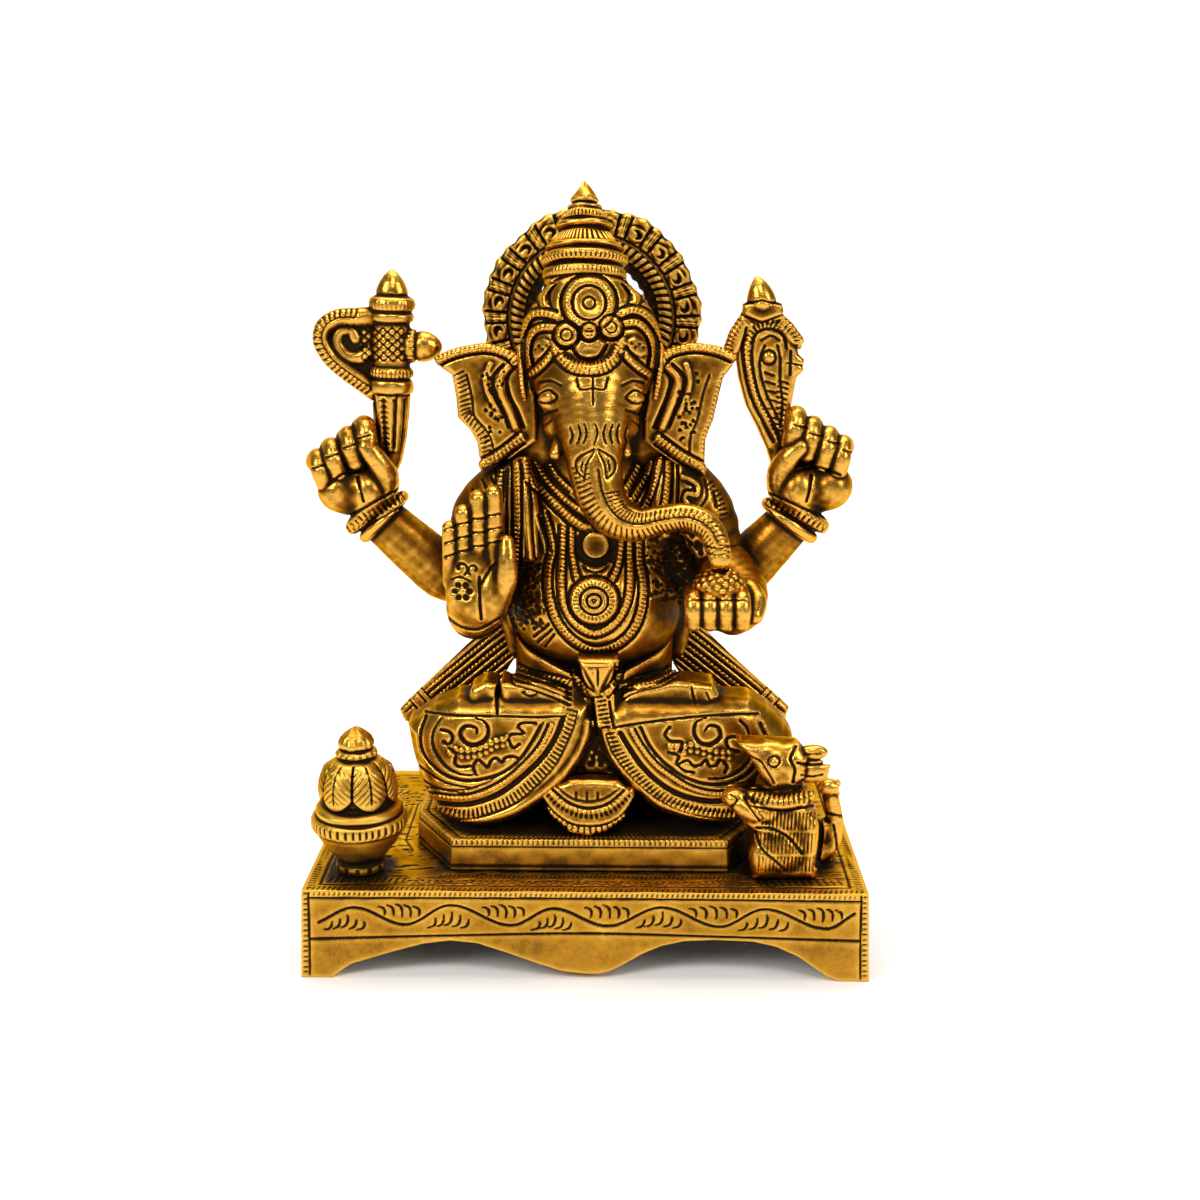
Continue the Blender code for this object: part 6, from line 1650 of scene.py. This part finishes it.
def build_plinth():
    out = np.array([(-35.5, -30), (37.5, -30), (48.8, -11), (48.8, 15), (37.5, 34), (-35.5, 34), (-46.8, 15), (-46.8, -11), (-35.5, -30)], float)
    q, _ = resample(out, 0.4)
    q = q[:-1]
    c = np.array([1.0, 2.0])
    rows = [(1.0, PL0, 0), (1.004, PL0 + 0.3, 0.3)]
    for z in np.arange(PL0 + 0.7, PL1 - 0.5, 0.4):
        rows.append((1.003 - 0.010 * (z - PL0) / 8.8, z, 0))
    rows += [(0.992, PL1 - 0.25, 0), (0.984, PL1 - 0.02, 0)]
    for s in np.arange(0.975, 0.74, -0.009):
        rows.append((s, PL1, 0))
    nu = len(q)
    P = np.zeros((nu, len(rows), 3))
    for j, (s, z, _) in enumerate(rows):
        P[:, j, :2] = c + (q - c) * s
        P[:, j, 2] = z
    d = np.roll(q, -1, 0) - np.roll(q, 1, 0)
    s = np.concatenate([[0], np.cumsum(np.linalg.norm(np.diff(q, axis=0), axis=1))])
    S = s[:, None]
    Z = P[..., 2]
    depth = np.array([(1 - r[0]) for r in rows])[None, :] * 40
    top = Z > PL1 - 0.1
    g = -0.34 * np.clip((np.cos(S * 2 * math.pi / 1.35) - 0.1) * 1.4, 0, 1) * ((Z > PL1 - 1.7) | (top & (depth < 1.9)))
    g -= 0.38 * np.clip(1.5 * (1 - np.abs(Z - (PL1 - 2.1)) / 0.4), 0, 1) * (~top)
    g -= 0.36 * np.clip(1.5 * (1 - np.abs(depth - 2.4) / 0.4), 0, 1) * top
    g -= 0.26 * np.clip(1.5 * (1 - np.abs(Z - (PL0 + 1.3)) / 0.36), 0, 1) * (~top)
    g += 0.07 * np.sin(S * 0.5) * np.sin(Z * 0.9)
    ex = 0.10 * np.exp(-np.abs(Z - PL1) / 0.5) * (depth < 1.2) - 0.12 * np.clip((depth - 3) / 2, 0, 1) * top
    skin("seat_plinth_cast", P, g, ["seat_plinth"], True, False, (0.4, 0.38), ex)
    mark_box((-40, -29, 24), (42, 33, 33))


def build_pot():
    cx, cy = -59.6, -28.6
    prof = [(5.6, 24.6), (6.3, 25.0), (6.5, 26.0), (6.2, 27.0), (5.6, 27.5), (5.7, 27.9), (7.4, 29.8), (9.3, 32.6), (10.8, 35.4), (11.2, 36.4), (11.3, 36.7), (12.0, 37.0),
            (12.4, 37.8), (12.45, 39.4), (12.1, 40.3), (11.3, 40.7), (10.9, 41.0), (11.3, 41.5), (11.2, 42.6), (10.4, 43.2), (8.8, 43.6), (8.3, 44.2), (8.8, 45.4), (9.0, 47.6),
            (8.7, 50.0), (7.8, 52.6), (6.3, 54.8), (5.0, 55.8), (4.4, 56.2), (4.4, 56.5), (5.2, 56.9), (5.3, 57.6), (4.6, 58.2), (3.8, 58.5), (3.8, 58.7), (4.5, 59.3),
            (4.5, 60.3), (3.9, 61.5), (2.9, 62.6), (1.8, 63.4), (0.9, 64.0), (0.1, 64.4)]

    def disp(a, h, r):
        g = -0.5 * teeth(a + 0.03 * np.sin(a * 5), 40) * band(h, 37.3, 40.0)
        # broad leaves wrapped round the sweets, their joints facing front
        t = (a + math.pi / 2) / (2 * math.pi) * 6.0
        u = np.abs(((t + 0.5) % 1.0) - 0.5)
        low = 44.3 + 3.4 * (2 * (0.5 - u)) ** 2 * 0.9
        on = band(h, 44.2, 55.6, 0.5) * np.clip((h - low) / 0.5 + 0.5, 0, 1)
        bulge = np.cos(np.clip(2 * (0.5 - u), 0, 1) * math.pi / 2) ** 0.6
        g += on * (0.35 + 0.95 * bulge) * np.clip((56.0 - h) / 3.0, 0, 1)
        g -= 0.7 * np.clip(1.4 * (1 - u * 2 * math.pi / 6 * r / 0.34), 0, 1) * band(h, 46.5, 55.4)
        g -= 0.5 * np.clip(1.4 * (1 - (0.5 - u) * 2 * math.pi / 6 * r / 0.30), 0, 1) * band(h, 46.0, 55.0)
        v = ((h * 0.62 + np.abs(0.5 - u) * 5.5) % 1.0)
        g -= 0.26 * np.clip(1.4 * (1 - np.abs(v - 0.5) / 0.20), 0, 1) * on * band(h, 46.2, 54.0)
        g -= 0.45 * teeth(a, 16) * band(h, 56.8, 57.9)
        g -= 0.18 * teeth(a, 9) * band(h, 59.0, 62.0)
        g -= 0.30 * teeth(a, 12) * band(h, 24.9, 26.8)
        g += 0.16 * np.sin(a * 2 + 1) + 0.10 * np.sin(a * 5 + h * 0.6)
        return g

    turned_piece("sweet_pot_cast", prof, lambda P: P + np.array([cx, cy, 0.0]), disp, ["sweet_pot"], 0.28, 300)
    mark_box((cx - 8, cy - 8, 25), (cx + 8, cy + 8, 54))


def build_mouse():
    v = Vol((32, -43, 24), (73, -10, 66))
    v.ell((52.4, -27, 34.0), (9.6, 8.6, 11.6))
    v.tube([(51.0, -28, 42), (50.8, -28, 48)], [7.4, 6.4], 3)
    v.plate([(43.6, 24.6), (60.8, 24.6), (61.4, 40.0), (57.0, 46.6), (47.2, 46.8), (44.4, 40.0), (43.4, 31)], -35.6, -20, 3.0, 1.2)
    v.ell((47.2, -32.6, 30.6), (4.6, 4.4, 5.6), 1.2)
    # kite-shaped head with a flat brow
    v.plate([(38.9, 61.5), (46.6, 62.0), (54.8, 61.4), (57.4, 58.4), (57.0, 53.0), (53.4, 50.6), (48.6, 50.2), (45.4, 53.6), (42.2, 57.6)], -34.6, -25.6, 2.6, 0.8,
            bend=lambda x, z: np.maximum(46 - x, 0) * 0.22 + (z - 56) * 0.16)
    v.ell((50.2, -32.6, 55.6), (5.4, 3.4, 4.2), 1.6)
    # two ears laid back
    v.ell((58.8, -31.0, 58.9), (3.9, 2.0, 2.0), 0.25)
    v.ell((58.6, -31.4, 54.0), (4.4, 2.2, 3.4), 0.25)
    v.tube([(60.4, -31.4, 54.6), (62.4, -31.4, 55.2)], [1.7, 0.9], 0.4)
    # collar, and arms round a sweet
    v.tube([(43.6, -31.6, 47.2), (50.6, -34.8, 46.4), (57.6, -31.6, 47.4)], [2.2, 2.4, 2.2], 0.4)
    v.ell((39.0, -31.6, 46.6), (3.6, 3.3, 2.9), 0.3)
    v.tube([(47.5, -33.6, 43.6), (43.6, -34.0, 43.8), (40.2, -33.2, 45.2)], [3.0, 2.9, 2.5], 0.4)
    v.tube([(46.4, -33.8, 39.8), (43.4, -33.6, 41.4), (41.0, -32.6, 43.8)], [2.2, 2.2, 2.0], 0.5)
    # thigh
    v.ell((50.4, -34.2, 32.4), (6.6, 3.0, 5.6), 0.6, )
    # tail up the back, knotted, with a small star tip
    v.tube([(61.6, -24, 27.2), (65.6, -22.6, 30.2), (66.4, -22, 36.0), (65.4, -22, 41.5), (64.6, -22, 45.6)], [2.6, 2.6, 2.4, 2.2, 2.0], 1.0)
    v.ell((64.2, -22.8, 46.0), (3.0, 2.2, 2.3), 0.4)
    v.plate([(63.4, 48.0), (65.2, 46.8), (67.8, 47.6), (66.6, 45.6), (67.6, 43.8), (65.2, 44.6), (63.4, 43.2)], -24.2, -20.2, 0.7, 0.3)
    v.plate([(57, 24.6), (66.8, 24.6), (67.2, 30), (65.0, 36), (59, 38)], -24.5, -19.5, 1.2, 0.8)
    m = Map(-33, 30, 74, 22, 66)
    m.ring((48.6, 57.0), 1.5, 0.36, 0.5)
    m.dome((48.6, 57.0), 0.8, -0.35)
    m.line([(41.4, 58.8), (45.0, 57.2), (47.2, 54.0), (48.8, 51.0)], 0.34, 0.4)
    m.line([(54.2, 61.2), (52.8, 58.0), (54.0, 55.0), (53.6, 51.4)], 0.5, 0.7)
    m.line([(54.6, 56.8), (58.0, 56.2), (62.0, 56.6)], 0.5, 0.7)
    m.line([(56.2, 59.0), (60.6, 59.4)], 0.4, 0.35)
    m.line([(55.6, 53.4), (58.4, 53.0), (61.2, 53.6)], 0.4, 0.35)
    m.line([(42.0, 49.4), (47.0, 49.2), (52.0, 49.6), (58.4, 50.6)], 0.42, 0.6)
    m.line([(42.6, 44.8), (50.6, 43.6), (58.8, 44.8)], 0.42, 0.6)
    m.ticks([(43.6, 47.4), (50.6, 46.6), (58, 47.6)], 1.3, -1.5, 1.5, 0.28, 0.42, 0.2)
    m.line([(41.4, 47.0), (43.2, 43.6), (45.4, 40.6)], 0.42, 0.55)
    m.line([(43.4, 46.4), (44.8, 43.6), (46.4, 41.0)], 0.34, 0.4)
    m.line([(37.6, 48.0), (39.4, 46.4), (38.0, 44.6)], 0.34, 0.4)
    for k in range(16):
        x = 46.2 + k * 0.95
        m.line([(x, 43.0), (x - 0.2, 38.2)], 0.26, 0.30)
        m.line([(x - 0.3, 37.2), (x - 0.5, 31.6)], 0.26, 0.26)
        m.line([(x - 0.6, 30.4), (x - 0.8, 26.4)], 0.26, 0.26)
    m.line([(44.6, 38.6), (48.6, 38.4), (53.0, 36.0), (56.6, 31.6)], 0.5, 0.65)
    m.line([(44.4, 37.6), (46.0, 33.0), (49.2, 29.8), (52.6, 26.6)], 0.42, 0.5)
    m.line([(60.6, 43.4), (61.4, 37.0), (60.6, 28.0)], 0.8, 0.9)
    m.line([(62.6, 42.8), (66.4, 42.2)], 0.4, 0.5, sub=0)
    m.line([(64.6, 39.6), (65.6, 33.4), (64.6, 27.6)], 0.36, 0.35)
    v.grain(0.07, 7, 15)
    v.relief(m, -44, -20)
    v.put(lambda x, y, z: np.broadcast_to(24.6 - z, np.broadcast(x, y, z).shape).astype(F32), (30, -50, 20), (80, 0, 26), op="clip")
    carve(v, "mouse_cast", ["mouse"])


# ------------------------------------------------------------ patina and painted shade measures
def finish_pieces():
    near = box_blur(OCC, 2, 2)
    far = box_blur(OCC, 4, 2)
    for ob, pos, fine, wide in PIECES:
        me = ob.data
        n = np.zeros(len(me.vertices) * 3, F32)
        me.vertex_normals.foreach_get("vector", n)
        n = n.reshape(-1, 3)[:len(pos)]
        p1 = (pos + n * 1.9 - OLO) / OH
        p2 = (pos + n * 4.0 - OLO) / OH
        a = trilerp(near, p1)
        b = trilerp(far, p2)
        nv = len(me.vertices)
        out = [np.zeros(nv, F32) for _ in range(3)]
        out[0][:len(pos)] = fine
        out[1][:len(pos)] = wide
        # shut: how closed in a spot is by the statue's parts; it darkens the colour as patina and as painted shade
        out[2][:len(pos)] = 0.22 * a + 0.78 * b
        # painted highlight on the brow and the top of the trunk, painted shade on the flanks of the torso
        x, z = pos[:, 0], pos[:, 2]
        if ob.name.startswith("head"):
            out[1][:len(pos)] += 0.17 * np.exp(-((x - 2.5) / 8.5) ** 2 - ((z - 145) / 10.5) ** 2)
        # painted shade: the torso's flanks beside the necklaces made darker
        if ob.name.startswith("torso"):
            out[1][:len(pos)] -= 0.15 * np.clip((np.abs(x - 2.4) - 13.5) / 5.0, 0, 1) * np.clip((z - 82) / 6.0, 0, 1)
        attach(me, "fine", out[0])
        attach(me, "wide", out[1])
        attach(me, "shut", out[2])


# ------------------------------------------------------------ materials
def node(nt, kind, x, y, **kw):
    n = nt.nodes.new(kind)
    n.location = (x, y)
    for k, val in kw.items():
        if k.startswith("in_"):
            key = k[3:]
            n.inputs[int(key) if key.isdigit() else key].default_value = val
        else:
            setattr(n, k, val)
    return n


def math_node(nt, op, a, b=None, c=None, clamp=False):
    n = nt.nodes.new("ShaderNodeMath")
    n.operation = op
    n.use_clamp = clamp
    for i, v in enumerate((a, b, c)):
        if v is None:
            continue
        if isinstance(v, (int, float)):
            n.inputs[i].default_value = v
        else:
            nt.links.new(v, n.inputs[i])
    return n.outputs[0]


def brass(name, stops, gain=(4.6, 1.5, 1.25), bias=0.56, rough=(0.58, 0.32, 0.22), grain=1.0, shut0=0.14):
    mat = bpy.data.materials.new(name)
    mat.use_nodes = True
    nt = mat.node_tree
    b = nt.nodes["Principled BSDF"]
    ln = nt.links.new

    def attr(nm):
        n = nt.nodes.new("ShaderNodeAttribute")
        n.attribute_type = "GEOMETRY"
        n.attribute_name = nm
        return n.outputs["Fac"]

    b.inputs["Specular IOR Level"].default_value = 0.22
    b.inputs["Specular Tint"].default_value = (1.0, 0.66, 0.26, 1)
    tc = nt.nodes.new("ShaderNodeTexCoord")
    pos = tc.outputs["Object"]
    big = node(nt, "ShaderNodeTexNoise", 0, 0, in_Scale=85.0, in_Detail=3.0, in_Roughness=0.6)
    mid = node(nt, "ShaderNodeTexNoise", 0, 0, in_Scale=420.0, in_Detail=4.0, in_Roughness=0.62)
    tiny = node(nt, "ShaderNodeTexNoise", 0, 0, in_Scale=2400.0, in_Detail=3.0, in_Roughness=0.7)
    pits = node(nt, "ShaderNodeTexVoronoi", 0, 0, in_Scale=900.0)
    brush = node(nt, "ShaderNodeTexNoise", 0, 0, in_Scale=1.0, in_Detail=2.0, in_Roughness=0.6)
    mp = node(nt, "ShaderNodeMapping", 0, 0)
    mp.inputs["Scale"].default_value = (420.0, 420.0, 3400.0)
    mp.inputs["Rotation"].default_value = (0.3, 0.5, 0.2)
    ln(pos, mp.inputs["Vector"])
    ln(mp.outputs["Vector"], brush.inputs["Vector"])
    for t in (big, mid, tiny, pits):
        ln(pos, t.inputs["Vector"])
    f, w, s = attr("fine"), attr("wide"), attr("shut")
    # how much a rubbing cloth reaches each spot, 0 to 1, with painted shade where other parts close a spot in and the
    # painted brow highlight and flank shade carried in wide
    p = math_node(nt, "MULTIPLY_ADD", f, gain[0], bias)
    p = math_node(nt, "MULTIPLY_ADD", w, gain[1], p)
    # painted shade with patina: darker where other parts close a spot in
    sh = math_node(nt, "SUBTRACT", shut0, s)
    p = math_node(nt, "MULTIPLY_ADD", sh, gain[2], p)
    nb = math_node(nt, "SUBTRACT", big.outputs["Fac"], 0.5)
    p = math_node(nt, "MULTIPLY_ADD", nb, 0.50, p)
    nm = math_node(nt, "SUBTRACT", mid.outputs["Fac"], 0.5)
    p = math_node(nt, "MULTIPLY_ADD", nm, 0.46, p)
    ntn = math_node(nt, "SUBTRACT", tiny.outputs["Fac"], 0.5)
    p = math_node(nt, "MULTIPLY_ADD", ntn, 0.34, p, clamp=True)
    ramp = node(nt, "ShaderNodeValToRGB", 0, 0)
    ramp.color_ramp.interpolation = "B_SPLINE"
    els = ramp.color_ramp.elements
    while len(els) > 1:
        els.remove(els[-1])
    els[0].position, els[0].color = stops[0][0], (*stops[0][1], 1)
    for pos_, col in stops[1:]:
        e = els.new(pos_)
        e.color = (*col, 1)
    ln(p, ramp.inputs["Fac"])
    ln(ramp.outputs["Color"], b.inputs["Base Color"])
    mr = node(nt, "ShaderNodeMapRange", 0, 0)
    mr.inputs["From Min"].default_value, mr.inputs["From Max"].default_value = 0.16, 0.46
    mr.inputs["To Min"].default_value, mr.inputs["To Max"].default_value = 0.15, 1.0
    ln(p, mr.inputs["Value"])
    ln(mr.outputs["Result"], b.inputs["Metallic"])
    rr = node(nt, "ShaderNodeValToRGB", 0, 0)
    e = rr.color_ramp.elements
    e[0].position, e[0].color = 0.15, (rough[0],) * 3 + (1,)
    e[1].position, e[1].color = 0.55, (rough[1],) * 3 + (1,)
    k = e.new(0.9)
    k.color = (rough[2],) * 3 + (1,)
    ln(p, rr.inputs["Fac"])
    rsum = math_node(nt, "MULTIPLY_ADD", nm, 0.22, rr.outputs["Color"])
    ln(rsum, b.inputs["Roughness"])
    # cast grain in the hollows, fine scratches on what is rubbed bright
    inv = math_node(nt, "SUBTRACT", 1.0, p)
    g1 = math_node(nt, "MULTIPLY", mid.outputs["Fac"], inv)
    g2 = math_node(nt, "MULTIPLY_ADD", brush.outputs["Fac"], 0.30, g1)
    g3 = math_node(nt, "MULTIPLY_ADD", tiny.outputs["Fac"], 0.35, g2)
    g4 = math_node(nt, "MULTIPLY_ADD", big.outputs["Fac"], 1.1, g3)
    bump = node(nt, "ShaderNodeBump", 0, 0, in_Strength=0.55 * grain, in_Distance=0.00022)
    ln(g4, bump.inputs["Height"])
    ln(bump.outputs["Normal"], b.inputs["Normal"])
    return mat


def steel_mat():
    mat = bpy.data.materials.new("zinc_plated_steel")
    mat.use_nodes = True
    nt = mat.node_tree
    b = nt.nodes["Principled BSDF"]
    b.inputs["Metallic"].default_value = 1.0
    n = node(nt, "ShaderNodeTexNoise", 0, 0, in_Scale=1400.0, in_Detail=4.0)
    tc = nt.nodes.new("ShaderNodeTexCoord")
    nt.links.new(tc.outputs["Object"], n.inputs["Vector"])
    r = node(nt, "ShaderNodeValToRGB", 0, 0)
    r.color_ramp.elements[0].color = (0.28, 0.27, 0.25, 1)
    r.color_ramp.elements[1].color = (0.60, 0.59, 0.55, 1)
    nt.links.new(n.outputs["Fac"], r.inputs["Fac"])
    nt.links.new(r.outputs["Color"], b.inputs["Base Color"])
    rr = math_node(nt, "MULTIPLY_ADD", n.outputs["Fac"], 0.3, 0.26)
    nt.links.new(rr, b.inputs["Roughness"])
    bump = node(nt, "ShaderNodeBump", 0, 0, in_Strength=0.3, in_Distance=0.0001)
    nt.links.new(n.outputs["Fac"], bump.inputs["Height"])
    nt.links.new(bump.outputs["Normal"], b.inputs["Normal"])
    return mat


DARK = (0.0060, 0.0040, 0.0016)
# both brasses take the painted shade of shut; this one also takes the painted brow highlight and the painted torso
# flank shade
ANTIQUE = brass("antique_brass_rubbed", [(0.0, DARK), (0.16, (0.012, 0.0058, 0.0014)), (0.30, (0.046, 0.0165, 0.0021)), (0.42, (0.125, 0.045, 0.0038)),
                                         (0.58, (0.26, 0.104, 0.0080)), (0.78, (0.46, 0.205, 0.0185)), (1.0, (0.80, 0.43, 0.070))], bias=0.478, gain=(4.8, 1.8, 1.35), rough=(0.62, 0.38, 0.25))
POLISHED = brass("polished_brass_engraved", [(0.0, DARK), (0.16, (0.014, 0.0085, 0.0022)), (0.30, (0.08, 0.038, 0.006)), (0.42, (0.24, 0.115, 0.014)),
                                             (0.58, (0.45, 0.215, 0.018)), (0.78, (0.58, 0.29, 0.028)), (1.0, (0.80, 0.47, 0.08))], bias=0.515, gain=(3.3, 1.5, 1.3), rough=(0.62, 0.42, 0.33))
STEEL_M = steel_mat()


def stage_and_camera():
    floor = bpy.data.meshes.new("sweep_floor")
    w, y0, y1, rad = 9.0, -5.0, 1.3, 0.7
    ring = [(y0, 0.0)] + [(y1 - rad + rad * math.sin(a), rad - rad * math.cos(a)) for a in np.linspace(0, math.pi / 2, 24)] + [(y1, 3.2)]
    vs, fs = [], []
    for y, z in ring:
        vs += [(-w, y, z), (w, y, z)]
    for i in range(len(ring) - 1):
        fs.append((2 * i, 2 * i + 1, 2 * i + 3, 2 * i + 2))
    floor.from_pydata(vs, [], fs)
    floor.update()
    for p in floor.polygons:
        p.use_smooth = True
    fo = bpy.data.objects.new("sweep_floor", floor)
    bpy.context.scene.collection.objects.link(fo)
    mt = bpy.data.materials.new("sweep_white")
    mt.use_nodes = True
    bb = mt.node_tree.nodes["Principled BSDF"]
    bb.inputs["Base Color"].default_value = (0.96, 0.96, 0.96, 1)
    bb.inputs["Roughness"].default_value = 0.9
    bb.inputs["Specular IOR Level"].default_value = 0.1
    floor.materials.append(mt)

    sc = bpy.context.scene
    sc.view_settings.view_transform = "Standard"
    world = bpy.data.worlds.new("studio")
    sc.world = world
    world.use_nodes = True
    bg = world.node_tree.nodes["Background"]
    bg.inputs["Color"].default_value = (1.0, 1.0, 1.0, 1)
    bg.inputs["Strength"].default_value = WORLD
    for name, loc, aim, size, power, col in LIGHTS:
        li = bpy.data.lights.new(name, "AREA")
        li.shape = "RECTANGLE"
        li.size, li.size_y = size
        li.energy = power
        li.color = col
        lo = bpy.data.objects.new(name, li)
        sc.collection.objects.link(lo)
        lo.location = loc
        lo.rotation_euler = (Vector(aim) - Vector(loc)).to_track_quat("-Z", "Y").to_euler()

    cam = bpy.data.cameras.new("camera")
    cam.lens = 45.0
    cam.sensor_width = 36.0
    cam.clip_start, cam.clip_end = 0.01, 20.0
    co = bpy.data.objects.new("camera", cam)
    sc.collection.objects.link(co)
    pitch, yaw = math.radians(15.04), math.radians(0.9)
    fwd = Vector((-math.sin(yaw) * math.cos(pitch), math.cos(yaw) * math.cos(pitch), -math.sin(pitch)))
    co.location = Vector(((EYE + SHIFT) * 0.001).tolist())
    co.rotation_euler = fwd.to_track_quat("-Z", "Y").to_euler()
    sc.camera = co


WORLD = 0.16
LIGHTS = [
    ("key_left", (-0.80, -0.80, 0.85), (0, 0, 0.10), (0.50, 0.50), 8.0, (1.0, 0.98, 0.94)),
    ("key_right", (0.95, -0.60, 0.70), (0, 0, 0.10), (0.40, 0.60), 5.0, (1.0, 0.98, 0.95)),
    ("top", (0.0, 0.10, 1.25), (0, 0, 0.10), (0.9, 0.7), 6.4, (1.0, 1.0, 1.0)),
    ("low_front", (0.05, -1.3, 0.25), (0, 0, 0.10), (0.6, 0.22), 0.8, (1.0, 0.98, 0.95)),
    ("front_high", (0.10, -0.80, 1.15), (0, 0, 0.12), (0.34, 0.26), 3.6, (1.0, 0.97, 0.90)),
    ("backdrop", (0.0, 0.55, 1.7), (0, 1.15, 0.3), (2.6, 0.6), 16.0, (1.0, 1.0, 1.0)),
]

build_base()
build_plinth()
build_pot()
build_legs()
build_sash()
build_scarves()
build_torso()
build_rear_left()
build_rear_right()
build_blessing()
build_offering()
build_head()
build_ears()
build_crown()
build_halo()
build_axe()
build_noose()
build_mouse()
finish_pieces()
for ob, *_ in PIECES:
    ob.data.materials.append(POLISHED if ob.name.startswith(("base_table", "seat_plinth", "halo", "sweet_pot")) else ANTIQUE)
for nm in ("seat_bolt_left", "seat_bolt_right", "seat_washer_left", "seat_washer_right", "pot_screw", "mouse_screw", "halo_screw_left", "halo_screw_right"):
    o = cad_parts[nm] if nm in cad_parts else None
    o = o if isinstance(o, bpy.types.Object) else bpy.data.objects.get(nm)
    for s in o.material_slots:
        s.material = STEEL_M
stage_and_camera()
